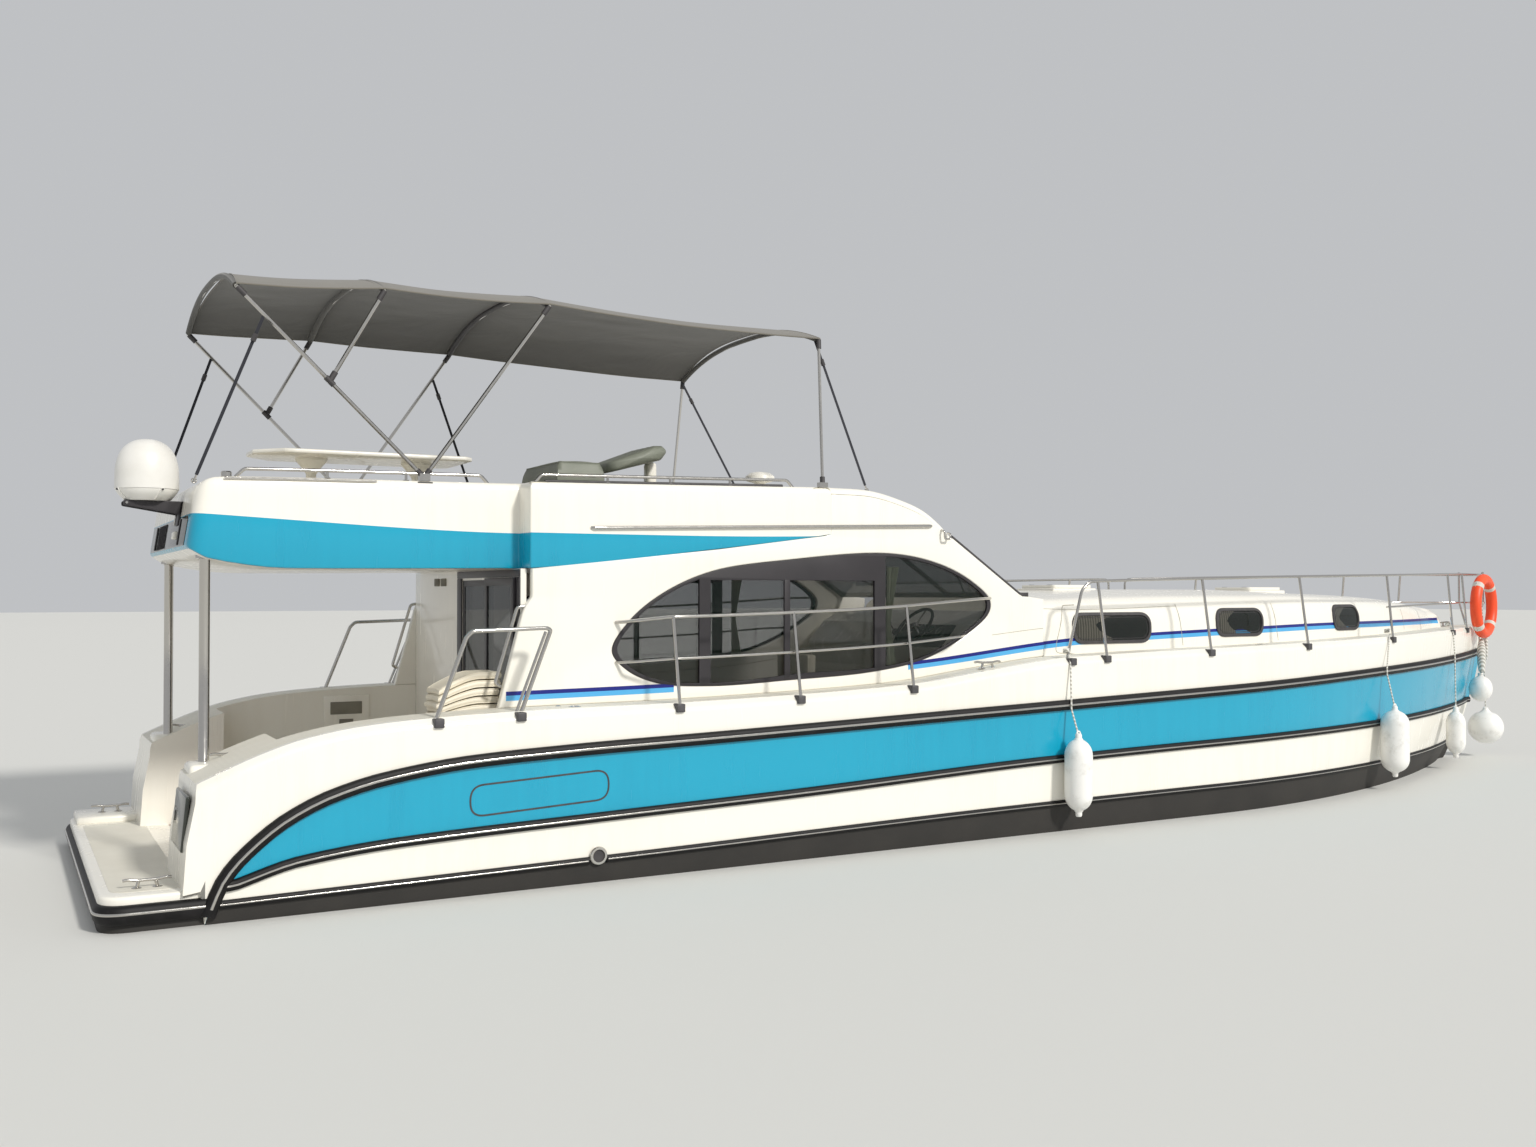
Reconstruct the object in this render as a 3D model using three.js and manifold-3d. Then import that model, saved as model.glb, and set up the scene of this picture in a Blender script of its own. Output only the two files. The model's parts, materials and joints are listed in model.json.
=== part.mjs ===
// A river motor cruiser with a flybridge, afloat. Millimetres, +X to the bow, +Y to port, +Z up.
// The origin lies amidships on the centreline, at the height of the water.
import * as THREE from 'three';
import { mergeVertices } from 'three/addons/utils/BufferGeometryUtils.js';
import Module from 'manifold-3d';

const wasm = await Module();
wasm.setup();

// Driving dimensions.
const HALF_LENGTH = 7475;
const HALF_BEAM = 1690;
const DRAFT = 800;
const FLOOR = 200;
const WALL = 60;
const GAP = 0.3;
const ROUND_SIDES = 8;

const cruiser = new THREE.Group();

// Materials, named for the real surfaces.
const finish = (color, roughness, metalness = 0, opacity = 1) => new THREE.MeshStandardMaterial({
  color, roughness, metalness, opacity, transparent: opacity < 1,
});
const gelcoat = finish('#f6f2e6', 0.3);
const bandedHull = finish('#2dbad6', 0.3);
const blackRubber = finish('#141216', 0.6);
const stainless = finish('#c9ccd0', 0.25, 1);
const darkFrame = finish('#38353a', 0.5);
const tintedGlass = finish('#3c5a50', 0.05, 0, 0.35);
const canvas = finish('#4b4841', 0.9);
const cushionCloth = finish('#e9e2cf', 0.85);
const sofaCloth = finish('#c9b48c', 0.9);
const cabinetWood = finish('#6b4630', 0.5);
const bronze = finish('#a5803f', 0.35, 1);
const antifouling = finish('#1e1c1e', 0.7);
const fenderVinyl = finish('#f4f4f2', 0.45);
const buoyOrange = finish('#ff3c0a', 0.5);
const engineGrey = finish('#5a6066', 0.5, 0.4);

// Closed geometry to a solid for cutting and joining, and back.
function toSolid(geometry) {
  const bare = new THREE.BufferGeometry();
  bare.setAttribute('position', geometry.getAttribute('position').clone());
  if (geometry.index) bare.setIndex(geometry.index.clone());
  const merged = mergeVertices(bare, 1e-3);
  return new wasm.Manifold(new wasm.Mesh({
    numProp: 3,
    vertProperties: Float32Array.from(merged.getAttribute('position').array),
    triVerts: Uint32Array.from(merged.index.array),
  }));
}

function toGeometry(solid) {
  const mesh = solid.getMesh();
  const geometry = new THREE.BufferGeometry();
  geometry.setAttribute('position', new THREE.BufferAttribute(mesh.vertProperties, 3));
  geometry.setIndex(new THREE.BufferAttribute(mesh.triVerts, 1));
  geometry.computeVertexNormals();
  return geometry;
}

function joined(solids) {
  return solids.reduce((sum, solid) => sum.add(solid));
}

function addPiece(name, solid, material) {
  const piece = new THREE.Mesh(toGeometry(solid), material);
  piece.name = name;
  cruiser.add(piece);
  return piece;
}

// A block between two corners, given as ranges along X, Y and Z.
function block([x0, x1], [y0, y1], [z0, z1]) {
  const box = new THREE.BoxGeometry(x1 - x0, y1 - y0, z1 - z0);
  box.translate((x0 + x1) / 2, (y0 + y1) / 2, (z0 + z1) / 2);
  return toSolid(box);
}

// A plate cut from a side outline of [x, z] points and as thick as the range along Y.
function sidePlate(outline, [y0, y1]) {
  const shape = new THREE.Shape(outline.map(([x, z]) => new THREE.Vector2(x, z)));
  const plate = new THREE.ExtrudeGeometry(shape, { depth: y1 - y0, bevelEnabled: false });
  plate.rotateX(Math.PI / 2);
  plate.translate(0, y1, 0);
  return toSolid(plate);
}

// A plate cut from a plan outline of [x, y] points and as thick as the range along Z.
function planPlate(outline, [z0, z1]) {
  const shape = new THREE.Shape(outline.map(([x, y]) => new THREE.Vector2(x, y)));
  const plate = new THREE.ExtrudeGeometry(shape, { depth: z1 - z0, bevelEnabled: false });
  plate.translate(0, 0, z0);
  return toSolid(plate);
}

// A round bar through the points, mitred where it turns.
function bar(points, radius, sides = ROUND_SIDES) {
  const path = points.map((p) => new THREE.Vector3(...p));
  const rings = [];
  let across = null;
  for (let i = 0; i < path.length; i += 1) {
    const before = path[Math.max(i - 1, 0)];
    const after = path[Math.min(i + 1, path.length - 1)];
    const arriving = path[i].clone().sub(before);
    const leaving = after.clone().sub(path[i]);
    const tangent = arriving.normalize().add(leaving.normalize()).normalize();
    const stretch = arriving.lengthSq() && leaving.lengthSq()
      ? 1 / Math.max(Math.sqrt((1 + arriving.dot(leaving)) / 2), 0.5) : 1;
    if (!across) {
      const seed = Math.abs(tangent.z) > 0.9 ? new THREE.Vector3(1, 0, 0) : new THREE.Vector3(0, 0, 1);
      across = new THREE.Vector3().crossVectors(tangent, seed).normalize();
    } else {
      across.sub(tangent.clone().multiplyScalar(across.dot(tangent))).normalize();
    }
    const second = new THREE.Vector3().crossVectors(tangent, across);
    const bend = leaving.clone().sub(arriving);
    bend.sub(tangent.clone().multiplyScalar(bend.dot(tangent)));
    if (bend.lengthSq() > 1e-9) bend.normalize();
    const ring = [];
    for (let k = 0; k < sides; k += 1) {
      const angle = (2 * Math.PI * (k + 0.5)) / sides;
      const spoke = across.clone().multiplyScalar(Math.cos(angle) * radius)
        .add(second.clone().multiplyScalar(Math.sin(angle) * radius));
      spoke.add(bend.clone().multiplyScalar(spoke.dot(bend) * (stretch - 1)));
      ring.push(path[i].clone().add(spoke).toArray());
    }
    rings.push(ring);
  }
  return loft(rings);
}

// A closed skin over rings with the same number of points, its two ends closed by flat caps.
function loft(rings) {
  const count = rings[0].length;
  const index = [];
  for (let r = 0; r < rings.length - 1; r += 1) {
    for (let k = 0; k < count; k += 1) {
      const next = (k + 1) % count;
      const [a, b, c, d] = [r * count + k, r * count + next, (r + 1) * count + next, (r + 1) * count + k];
      index.push(a, b, c, a, c, d);
    }
  }
  const cap = capTriangles(rings[0]);
  const last = (rings.length - 1) * count;
  for (const [a, b, c] of cap) {
    index.push(a, c, b);
    index.push(last + a, last + b, last + c);
  }
  return solidFromFaces(rings.flat(), index);
}

// Triangles that fill a ring, wound the same way as the ring.
function capTriangles(ring) {
  const normal = new THREE.Vector3();
  ring.forEach((p, i) => {
    const q = ring[(i + 1) % ring.length];
    normal.x += (p[1] - q[1]) * (p[2] + q[2]);
    normal.y += (p[2] - q[2]) * (p[0] + q[0]);
    normal.z += (p[0] - q[0]) * (p[1] + q[1]);
  });
  const size = [Math.abs(normal.x), Math.abs(normal.y), Math.abs(normal.z)];
  const drop = size.indexOf(Math.max(...size));
  const [u, v] = [[1, 2], [2, 0], [0, 1]][drop];
  const flat = ring.map((p) => new THREE.Vector2(p[u], p[v]));
  const turn = Math.sign(THREE.ShapeUtils.area(flat));
  return THREE.ShapeUtils.triangulateShape(flat, []).map(([a, b, c]) => {
    const area = THREE.ShapeUtils.area([flat[a], flat[b], flat[c]]);
    return Math.sign(area) === turn ? [a, b, c] : [a, c, b];
  });
}

function solidFromFaces(points, index) {
  let volume = 0;
  for (let i = 0; i < index.length; i += 3) {
    const [a, b, c] = [0, 1, 2].map((k) => new THREE.Vector3(...points[index[i + k]]));
    volume += a.dot(b.cross(c));
  }
  const wound = volume > 0 ? index : index.slice().reverse();
  const geometry = new THREE.BufferGeometry();
  geometry.setAttribute('position', new THREE.Float32BufferAttribute(points.flat(), 3));
  geometry.setIndex(wound);
  return toSolid(geometry);
}

// A turned piece: profile of [radius, height] points about an axis along Z, moved to its place.
function turned(profile, [x, y, z], sides = 16, alongX = false) {
  const lathe = new THREE.LatheGeometry(profile.map(([r, h]) => new THREE.Vector2(r, h)), sides);
  if (alongX) {
    lathe.rotateZ(-Math.PI / 2);
  } else {
    lathe.rotateX(Math.PI / 2);
  }
  lathe.translate(x, y, z);
  return toSolid(lathe);
}

function mirrored(solid) {
  return solid.mirror([0, 1, 0]);
}

// Straight lines between the rows of a table that is sorted by x.
function between(table, x, column) {
  if (x <= table[0].x) return table[0][column];
  for (let i = 1; i < table.length; i += 1) {
    const [low, high] = [table[i - 1], table[i]];
    if (x <= high.x) return low[column] + ((high[column] - low[column]) * (x - low.x)) / (high.x - low.x);
  }
  return table[table.length - 1][column];
}

// The hull. Its levels run from the flat of the bottom up to the deck.
// A level's height is set from the water or, for the upper ones, down from the deck's edge.
const BOW_START = 1200;
const BOW_END = 7440;
const RUN_START = -4400;
const TRANSOM = -6900;
const STEM_HALF = 25;

const DECK_EDGE = [
  { x: -6950, z: 800 },
  { x: -6600, z: 950 },
  { x: -6350, z: 1030 },
  { x: -6000, z: 1090 },
  { x: -5600, z: 1120 },
  { x: -5000, z: 1140 },
  { x: -3900, z: 1150 },
  { x: -3000, z: 1170 },
  { x: -2000, z: 1210 },
  { x: -1200, z: 1300 },
  { x: -400, z: 1380 },
  { x: 1200, z: 1420 },
  { x: 4000, z: 1470 },
  { x: 7440, z: 1530 },
];
const deckHeight = (x) => between(DECK_EDGE, x, 'z');

const HULL_LEVELS = [
  { z: -550, half: 300, aft: -6860, stem: 5500, fullness: 1.5, rise: 440 },
  { z: -490, half: 1080, aft: -6870, stem: 5900, fullness: 1.6, rise: 400 },
  { z: -320, half: 1570, aft: -6880, stem: 6250, fullness: 1.7, rise: 250 },
  { z: -60, half: 1650, aft: -6900, stem: 6600, fullness: 1.8, rise: 20 },
  { z: FLOOR, half: 1675, aft: -7020, stem: 6830, fullness: 1.9, rise: 0 },
  { z: 620, half: HALF_BEAM, aft: -6980, stem: 7130, fullness: 1.9, rise: 0 },
  { belowDeck: 180, half: HALF_BEAM, aft: -6960, stem: 7410, fullness: 1.9, rise: 0 },
  { belowDeck: 50, half: HALF_BEAM, aft: -6955, stem: 7440, fullness: 1.9, rise: 0 },
  { belowDeck: 0, half: 1640, aft: -6945, stem: 7420, fullness: 1.9, rise: 0 },
];
const HULL_STATIONS = [
  -6950, -6600, -6350, -6000, -5600, -5000, -3900, -3000, -2000, -1200, -400, 1200,
  2000, 2800, 3500, 4200, 4900, 5500, 6000, 6450, 6850, 7170, 7440,
];

// Where a level meets a station: [x, half breadth, z], with the whole skin pushed out by grow.
function hullPoint(level, station, grow) {
  const towardsStem = Math.max(0, (station - BOW_START) / (BOW_END - BOW_START));
  let x = station;
  if (station > BOW_START) x = BOW_START + towardsStem * (level.stem + grow - BOW_START);
  if (station === HULL_STATIONS[0]) x = level.aft - grow;
  const half = Math.max(level.half * (1 - towardsStem ** level.fullness), STEM_HALF) + grow;
  const run = Math.max(0, (RUN_START - x) / (RUN_START - TRANSOM));
  const deck = deckHeight(x);
  const free = level.belowDeck === undefined
    ? Math.min(level.z, deck - 200 - (620 - level.z) * 0.3)
    : deck - level.belowDeck;
  const push = level === HULL_LEVELS[0] ? -grow : level.belowDeck === 0 ? grow : 0;
  return [x, half, free + level.rise * run ** 1.4 + push];
}

function hullSkin(grow) {
  const count = HULL_STATIONS.length;
  const rings = HULL_LEVELS.map((level) => {
    const side = HULL_STATIONS.map((station) => hullPoint(level, station, grow));
    const starboard = side.map(([x, half, z]) => [x, -half, z]);
    const port = side.map(([x, half, z]) => [x, half, z]).reverse();
    return [...starboard, ...port];
  });
  const size = count * 2;
  const index = [];
  for (let r = 0; r < rings.length - 1; r += 1) {
    for (let k = 0; k < size; k += 1) {
      const next = (k + 1) % size;
      const [a, b, c, d] = [r * size + k, r * size + next, (r + 1) * size + next, (r + 1) * size + k];
      if (k < count) {
        index.push(a, b, c, a, c, d);
      } else {
        index.push(a, b, d, b, c, d);
      }
    }
  }
  const top = (rings.length - 1) * size;
  for (let k = 0; k < count - 1; k += 1) {
    const [a, b, c, d] = [k, k + 1, size - 2 - k, size - 1 - k];
    index.push(a, c, b, a, d, c);
    index.push(top + a, top + b, top + c, top + a, top + c, top + d);
  }
  return solidFromFaces(rings.flat(), index);
}

const shell = hullSkin(0);
const shellClear = hullSkin(GAP);

// Half breadth of the hull at a place along it and a height.
function sideAt(x, z) {
  const profile = HULL_LEVELS.map((level) => {
    const reach = level.stem - BOW_START;
    const station = x > BOW_START ? BOW_START + ((x - BOW_START) * (BOW_END - BOW_START)) / reach : x;
    const [, half, height] = hullPoint(level, Math.min(Math.max(station, -6949), BOW_END), 0);
    return { x: height, half };
  });
  return between(profile, z, 'half');
}

// The upper rub rail hides the joint between the hull and the deck moulding.
// It rises in an arc from the platform, then runs forward with the sheer.
const ARC = { x: -4900, z: -100, reach: 2000, rise: 1055 };
const UPPER_RAIL = [
  { x: -4900, z: 955 },
  { x: -3760, z: 995 },
  { x: -2100, z: 1060 },
  { x: -560, z: 1125 },
  { x: 2300, z: 1145 },
  { x: 5200, z: 1200 },
  { x: 7440, z: 1225 },
];
const LOWER_RAIL = [
  { x: -6750, z: 215 },
  { x: -6380, z: 320 },
  { x: -5800, z: 380 },
  { x: -4500, z: 430 },
  { x: -3000, z: 480 },
  { x: -600, z: 580 },
  { x: 2600, z: 635 },
  { x: 7160, z: 655 },
];
const BOOT_RAIL = [
  { x: -6800, z: 110 },
  { x: -4500, z: 150 },
  { x: -600, z: 225 },
  { x: 3000, z: 245 },
  { x: 6850, z: 215 },
];

function arcPoint(turn) {
  return { x: ARC.x - ARC.reach * Math.cos(turn), z: ARC.z + ARC.rise * Math.sin(turn) };
}

function railLine(table, ends) {
  const line = [];
  for (const x of HULL_STATIONS) {
    if (x > ends[0] + 60 && x < ends[1] - 60) line.push({ x, z: between(table, x, 'z') });
  }
  return [{ x: ends[0], z: between(table, ends[0], 'z') }, ...line,
    { x: ends[1], z: between(table, ends[1], 'z') }];
}

// A rubber rail along one side, round the stem and back along the other. Columns: how far from the skin, how far along its height.
function rubRail(line, height, proud) {
  const section = [[-40, -0.5], [0.5 * proud, -0.5], [proud, -0.22], [proud, 0.22], [0.5 * proud, 0.5],
    [-40, 0.5]];
  const path = line.map(({ x, z }) => new THREE.Vector3(x, -sideAt(x, z), z));
  const rings = path.map((p, i) => {
    const tangent = path[Math.min(i + 1, path.length - 1)].clone()
      .sub(path[Math.max(i - 1, 0)]).normalize();
    const flat = Math.hypot(tangent.x, tangent.y);
    const out = flat > 0.6 && p.x > BOW_START
      ? new THREE.Vector3(tangent.y / flat, -tangent.x / flat, 0)
      : new THREE.Vector3(0, -1, 0);
    const up = new THREE.Vector3().crossVectors(out, tangent).normalize();
    return section.map(([u, v]) => p.clone().add(out.clone().multiplyScalar(u))
      .add(up.clone().multiplyScalar(v * height)).toArray());
  });
  const end = path[path.length - 1];
  const nose = block([end.x - 60, end.x + proud], [-STEM_HALF - 12, STEM_HALF + 12],
    [end.z - height / 2, end.z + height / 2]);
  const starboard = loft(rings);
  return joined([starboard, mirrored(starboard), nose]).subtract(shellClear);
}

const upperLine = [0.16, 0.35, 0.55, 0.75, 0.95, 1.2, 1.4].map(arcPoint)
  .concat(railLine(UPPER_RAIL, [ARC.x, 7425]));
const UPPER_PROUD = 42;
const LOWER_PROUD = 32;
const upperRail = rubRail(upperLine, 80, UPPER_PROUD);
const lowerRail = rubRail(railLine(LOWER_RAIL, [-6690, 7145]), 64, LOWER_PROUD);
addPiece('rub_rail_upper', upperRail, blackRubber);
addPiece('rub_rail_lower', lowerRail, blackRubber);
addPiece('boot_rail', rubRail(railLine(BOOT_RAIL, [-6780, 6835]), 45, 22), blackRubber);

// Cockpit and saloon share one level floor, sunk between the side decks.
const WELL_AFT = -6450;
const BULKHEAD = -4900;
const WELL_FORE = -760;
const WELL_HALF = 1300;
const PASSAGE_HALF = 880;
const PIT = { x: [-5800, -5050], y: [-380, 380], z: [-250, FLOOR + 10] };

const well = joined([
  block([WELL_AFT, WELL_FORE], [-WELL_HALF, WELL_HALF], [FLOOR, 3000]),
  block([-7200, WELL_AFT + 10], [-PASSAGE_HALF, PASSAGE_HALF], [FLOOR, 3000]),
  block(PIT.x, PIT.y, PIT.z),
]);

// The fin of the keel ends ahead of the propeller.
const SHAFT_Z = -500;
const FIN_AFT = -5900;
const FIN_HALF = 45;
const keelFin = sidePlate([
  [5200, -500], [4300, -DRAFT], [-5700, -DRAFT], [FIN_AFT, -740], [FIN_AFT, -300], [-5500, -300],
], [-FIN_HALF, FIN_HALF]);

// The joint of hull and deck moulding, as a side outline that the upper rail follows.
const jointOutline = [
  [-7300, -900], [-7300, ARC.z], ...[0, 0.16, 0.35, 0.55, 0.75, 0.95, 1.2, 1.4].map((turn) => {
    const { x, z } = arcPoint(turn);
    return [x, z];
  }),
  ...UPPER_RAIL.map(({ x, z }) => [x, z]), [8000, 1225], [8000, -900],
];
const belowJoint = sidePlate(jointOutline, [-2500, 2500]);
const LOCKER = { out: WELL_HALF - GAP, fore: BULKHEAD - 40, stbTop: 940 };
const lockers = joined([
  block([-5950, LOCKER.fore], [-LOCKER.out, -860], [FLOOR - 5, LOCKER.stbTop]),
  block([-6300, LOCKER.fore], [900, LOCKER.out], [FLOOR - 5, 640]),
]);
const PROPELLER = { x: -6230, radius: 185, blades: 4, hub: 45, ahead: 85 };
const TUBE_END = PROPELLER.x + PROPELLER.ahead + GAP;
const sternTube = turned([[0, TUBE_END], [40, TUBE_END], [52, FIN_AFT + 5], [0, FIN_AFT + 5]],
  [0, 0, SHAFT_Z], 12, true);
const RUDDER = { stock: -6620, gland: -215, top: -230, bottom: -770 };
const rudderGland = turned([[0, 0], [38, 0], [38, 120], [0, 120]], [RUDDER.stock, 0, RUDDER.gland], 12);
const lowerHull = joined([shell, keelFin]).intersect(belowJoint).subtract(well);
addPiece('hull', joined([lowerHull, lockers, sternTube, rudderGland]), bandedHull);

// A mooring cleat: foot, two necks and a horn.
function cleat([x, y, z]) {
  return joined([
    block([x - 60, x + 60], [y - 20, y + 20], [z - 8, z + 9]),
    block([x - 45, x - 25], [y - 12, y + 12], [z, z + 50]),
    block([x + 25, x + 45], [y - 12, y + 12], [z, z + 50]),
    bar([[x - 130, y, z + 60], [x - 40, y, z + 50], [x + 40, y, z + 50], [x + 130, y, z + 60]], 12, 6),
  ]);
}
const deckCleats = [[-1140, -1510], [-1140, 1510], [6650, 0]].map(([x, y]) => cleat([x, y, deckHeight(x)]));
const upperHull = shell.subtract(belowJoint.translate([0, 0, GAP])).subtract(well);
addPiece('deck_moulding', joined([upperHull, ...deckCleats]), gelcoat);

// The bathing platform, with a low ledge along its port side and a rubber rail around its edge.
const PLATFORM = { aft: -7446, fore: -6850, half: 1640, corner: 160, top: FLOOR, bottom: -60 };
const RAIL_PROUD = HALF_LENGTH + PLATFORM.aft;

function platformOutline(grow) {
  const aft = PLATFORM.aft - grow;
  const half = PLATFORM.half + grow;
  const cut = PLATFORM.corner;
  return [
    [PLATFORM.fore, -half], [PLATFORM.fore, half], [aft + cut, half], [aft + 0.3 * cut, half - 0.3 * cut],
    [aft, half - cut], [aft, cut - half], [aft + 0.3 * cut, 0.3 * cut - half], [aft + cut, -half],
  ];
}

const ledge = block([PLATFORM.aft + 30, -7000], [1180, PLATFORM.half - 20], [FLOOR - 10, FLOOR + 50]);
const platform = planPlate(platformOutline(0), [PLATFORM.bottom, PLATFORM.top])
  .add(ledge).subtract(shellClear);
const sternCleats = [[-7180, 1400, FLOOR + 50], [-7180, -1500, FLOOR]].map(cleat);
addPiece('swim_platform', joined([platform, ...sternCleats]), gelcoat);
const platformRail = planPlate(platformOutline(RAIL_PROUD), [40, 165])
  .subtract(planPlate(platformOutline(GAP), [0, 200]))
  .subtract(block([-7060, 0], [-3000, 3000], [-100, 300]));
addPiece('platform_rail', platformRail, blackRubber);

// Running gear below the water.
function propellerBlade(turn) {
  // Columns: distance from the shaft, half chord, half thickness, twist in radians.
  const stations = [
    [30, 42, 9, 1.05], [80, 62, 7, 0.85], [130, 66, 5, 0.65], [PROPELLER.radius, 34, 3, 0.5],
  ];
  const rings = stations.map(([reach, chord, thick, twist]) => (
    [[-chord, 0], [0, -thick], [chord, 0], [0, thick]].map(([u, v]) => [
      PROPELLER.x + u * Math.sin(twist) + v * Math.cos(twist),
      u * Math.cos(twist) - v * Math.sin(twist),
      reach,
    ])));
  return loft(rings).rotate([(turn * 180) / Math.PI, 0, 0]);
}

const blades = Array.from({ length: PROPELLER.blades }, (_, k) => (
  propellerBlade((2 * Math.PI * k) / PROPELLER.blades)));
const hub = turned([[0, -95], [30, -80], [PROPELLER.hub, -50], [PROPELLER.hub, PROPELLER.ahead - 15],
  [38, PROPELLER.ahead], [0, PROPELLER.ahead]], [PROPELLER.x, 0, 0], 12, true);
addPiece('propeller', joined([hub, ...blades]).translate([0, 0, SHAFT_Z]), bronze);

const rudderBlade = loft([RUDDER.bottom, RUDDER.top].map((z) => [
  [RUDDER.stock + 120, 0, z], [RUDDER.stock + 60, 22, z], [RUDDER.stock - 60, 18, z],
  [RUDDER.stock - 250, 4, z], [RUDDER.stock - 250, -4, z], [RUDDER.stock - 60, -18, z],
  [RUDDER.stock + 60, -22, z],
]));
const stockTop = RUDDER.gland - GAP - RUDDER.top;
const stock = turned([[0, -20], [20, -20], [20, stockTop], [0, stockTop]], [RUDDER.stock, 0, RUDDER.top], 12);
addPiece('rudder', rudderBlade.add(stock), antifouling);

addPiece('engine_block', block([-5700, -5100], [-280, 280], [PIT.z[0] + GAP, 120]), engineGrey);

// The superstructure. The cabin sides stand on the side decks and carry the roof.
const SIDE_OUT = 1360;
const SIDE_IN = SIDE_OUT - WALL;
const CEILING = 2060;

// Side outline of a cabin side, from its aft foot round over the roof line to the windscreen's foot.
const ROOF_LINE = [
  [-2500, 2690], [-2130, 2680], [-1870, 2625], [-1640, 2545], [-1480, 2440], [-1370, 2340],
  [-660, 1875], [-440, 1850],
];
const sideFoot = DECK_EDGE.filter(({ x }) => x > -5070 && x < -440)
  .map(({ x, z }) => [x, z + GAP]).reverse();
const cabinSideOutline = [
  [-5070, deckHeight(-5070) + GAP], [-4900, 1790], [-4840, 1870], [-4840, CEILING],
  [-3440, 2210], [-2550, 2325], [-2500 + GAP, 2340], ...ROOF_LINE.slice(0, 1).map(([x, z]) => [x + GAP, z]),
  ...ROOF_LINE.slice(1), [-440, deckHeight(-440) + GAP], ...sideFoot,
];

// The eye-shaped saloon window, as a smooth closed line through its marks.
const EYE_MARKS = [
  [-4266, 1500], [-4160, 1370], [-3925, 1270], [-3500, 1236], [-2870, 1258], [-2120, 1300],
  [-1640, 1385], [-1250, 1560], [-1010, 1740], [-1000, 1840], [-1200, 2000], [-1520, 2130],
  [-1980, 2200], [-2870, 2140], [-3500, 2050], [-3890, 1890], [-4140, 1700],
];
const EYE_POINTS = 40;

function eyeOutline(inset) {
  const marks = EYE_MARKS.map(([x, z]) => new THREE.Vector3(x, z, 0));
  const line = new THREE.CatmullRomCurve3(marks, true, 'centripetal').getPoints(EYE_POINTS).slice(0, -1);
  const middle = [-2700, 1720];
  return line.map((p) => {
    const dx = p.x - middle[0];
    const dz = p.y - middle[1];
    const reach = Math.hypot(dx, dz);
    return [p.x - (dx / reach) * inset, p.y - (dz / reach) * inset * 1.1];
  });
}

const cabinSide = sidePlate(cabinSideOutline, [-SIDE_OUT, -SIDE_IN])
  .subtract(sidePlate(eyeOutline(0), [-SIDE_OUT - 10, -SIDE_IN + 10]));
addPiece('cabin_side_stb', cabinSide, gelcoat);
addPiece('cabin_side_port', mirrored(cabinSide), gelcoat);

// The window's dark frame with its posts, and one pane of tinted glass behind it.
const FRAME_DEPTH = 22;
const POSTS = [[-3600, -3510], [-2900, -2860], [-2110, -2010]];
const frameOpenings = eyeOutline(38);
const windowPosts = POSTS.map(([x0, x1]) => block([x0, x1], [-SIDE_OUT, -SIDE_OUT + FRAME_DEPTH], [1200, 2250]));
const header = block([-3510, -2110], [-SIDE_OUT, -SIDE_OUT + FRAME_DEPTH], [1990, 2250]);
const frameBlank = sidePlate(eyeOutline(GAP * 2), [-SIDE_OUT, -SIDE_OUT + FRAME_DEPTH]);
const openFrame = frameBlank.subtract(sidePlate(frameOpenings, [-SIDE_OUT - 5, -SIDE_OUT + FRAME_DEPTH + 5]));
const windowFrame = openFrame.add(joined([...windowPosts, header]).intersect(frameBlank));
addPiece('window_frame_stb', windowFrame, darkFrame);
addPiece('window_frame_port', mirrored(windowFrame), darkFrame);
const pane = sidePlate(eyeOutline(4), [-SIDE_OUT + FRAME_DEPTH + GAP, -SIDE_OUT + FRAME_DEPTH + 10]);
addPiece('side_glass_stb', pane, tintedGlass);
addPiece('side_glass_port', mirrored(pane), tintedGlass);

// The flybridge: one moulding with its floor, coamings and the overhang above the cockpit.
const FLY = { aft: -6950, fore: -2500, step: -4960, aftHalf: 1160, floor: 2120, wall: 80, aftWall: 160 };
const flyProfile = [
  [FLY.aft, 2175], [-6800, 2100], [-6350, CEILING - 12], [-4900, CEILING], [FLY.fore, CEILING],
  [FLY.fore, 2685], [-4900, 2640], [-6830, 2610], [-6880, 2590], [-6895, 2550],
];

function flyPlan(inset, aftInset = inset) {
  const [aft, fore, narrow, wide] = [FLY.aft + aftInset, FLY.fore - inset, FLY.aftHalf - inset, SIDE_OUT - inset];
  const half = [
    [aft, narrow - 180], [aft + 50, narrow - 60], [aft + 170, narrow], [FLY.step + inset, narrow],
    [FLY.step + inset + 70, wide], [fore, wide],
  ];
  return [...half, ...half.map(([x, y]) => [x, -y]).reverse()];
}

const sideBlank = sidePlate(cabinSideOutline, [-SIDE_OUT - 5, -SIDE_IN + GAP]);
const sideClear = joined([sideBlank.translate([0, 0, GAP]), mirrored(sideBlank).translate([0, 0, GAP])]);
// Ahead of the flybridge the same moulding runs down to the windscreen's head, between the cabin sides.
const cowl = sidePlate([
  [FLY.fore - 40, CEILING], [FLY.fore - 40, 2688], ...ROOF_LINE.slice(0, 6), [-1420, 2200],
  [FLY.fore + 200, 2200], [FLY.fore + 100, CEILING],
], [-SIDE_IN + GAP, SIDE_IN - GAP]);
const flybridge = sidePlate(flyProfile, [-SIDE_OUT, SIDE_OUT])
  .intersect(planPlate(flyPlan(0), [1900, 2800]))
  .subtract(planPlate(flyPlan(FLY.wall, FLY.aftWall), [FLY.floor, 2900]))
  .add(cowl)
  .subtract(sideClear);
addPiece('flybridge', flybridge, gelcoat);

// Windscreen: a black frame with two posts, and one sheet of glass behind it.
const SCREEN = { head: [-1375, 2325], foot: [-690, 1876], frame: 26, glass: 8, border: 55 };

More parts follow.
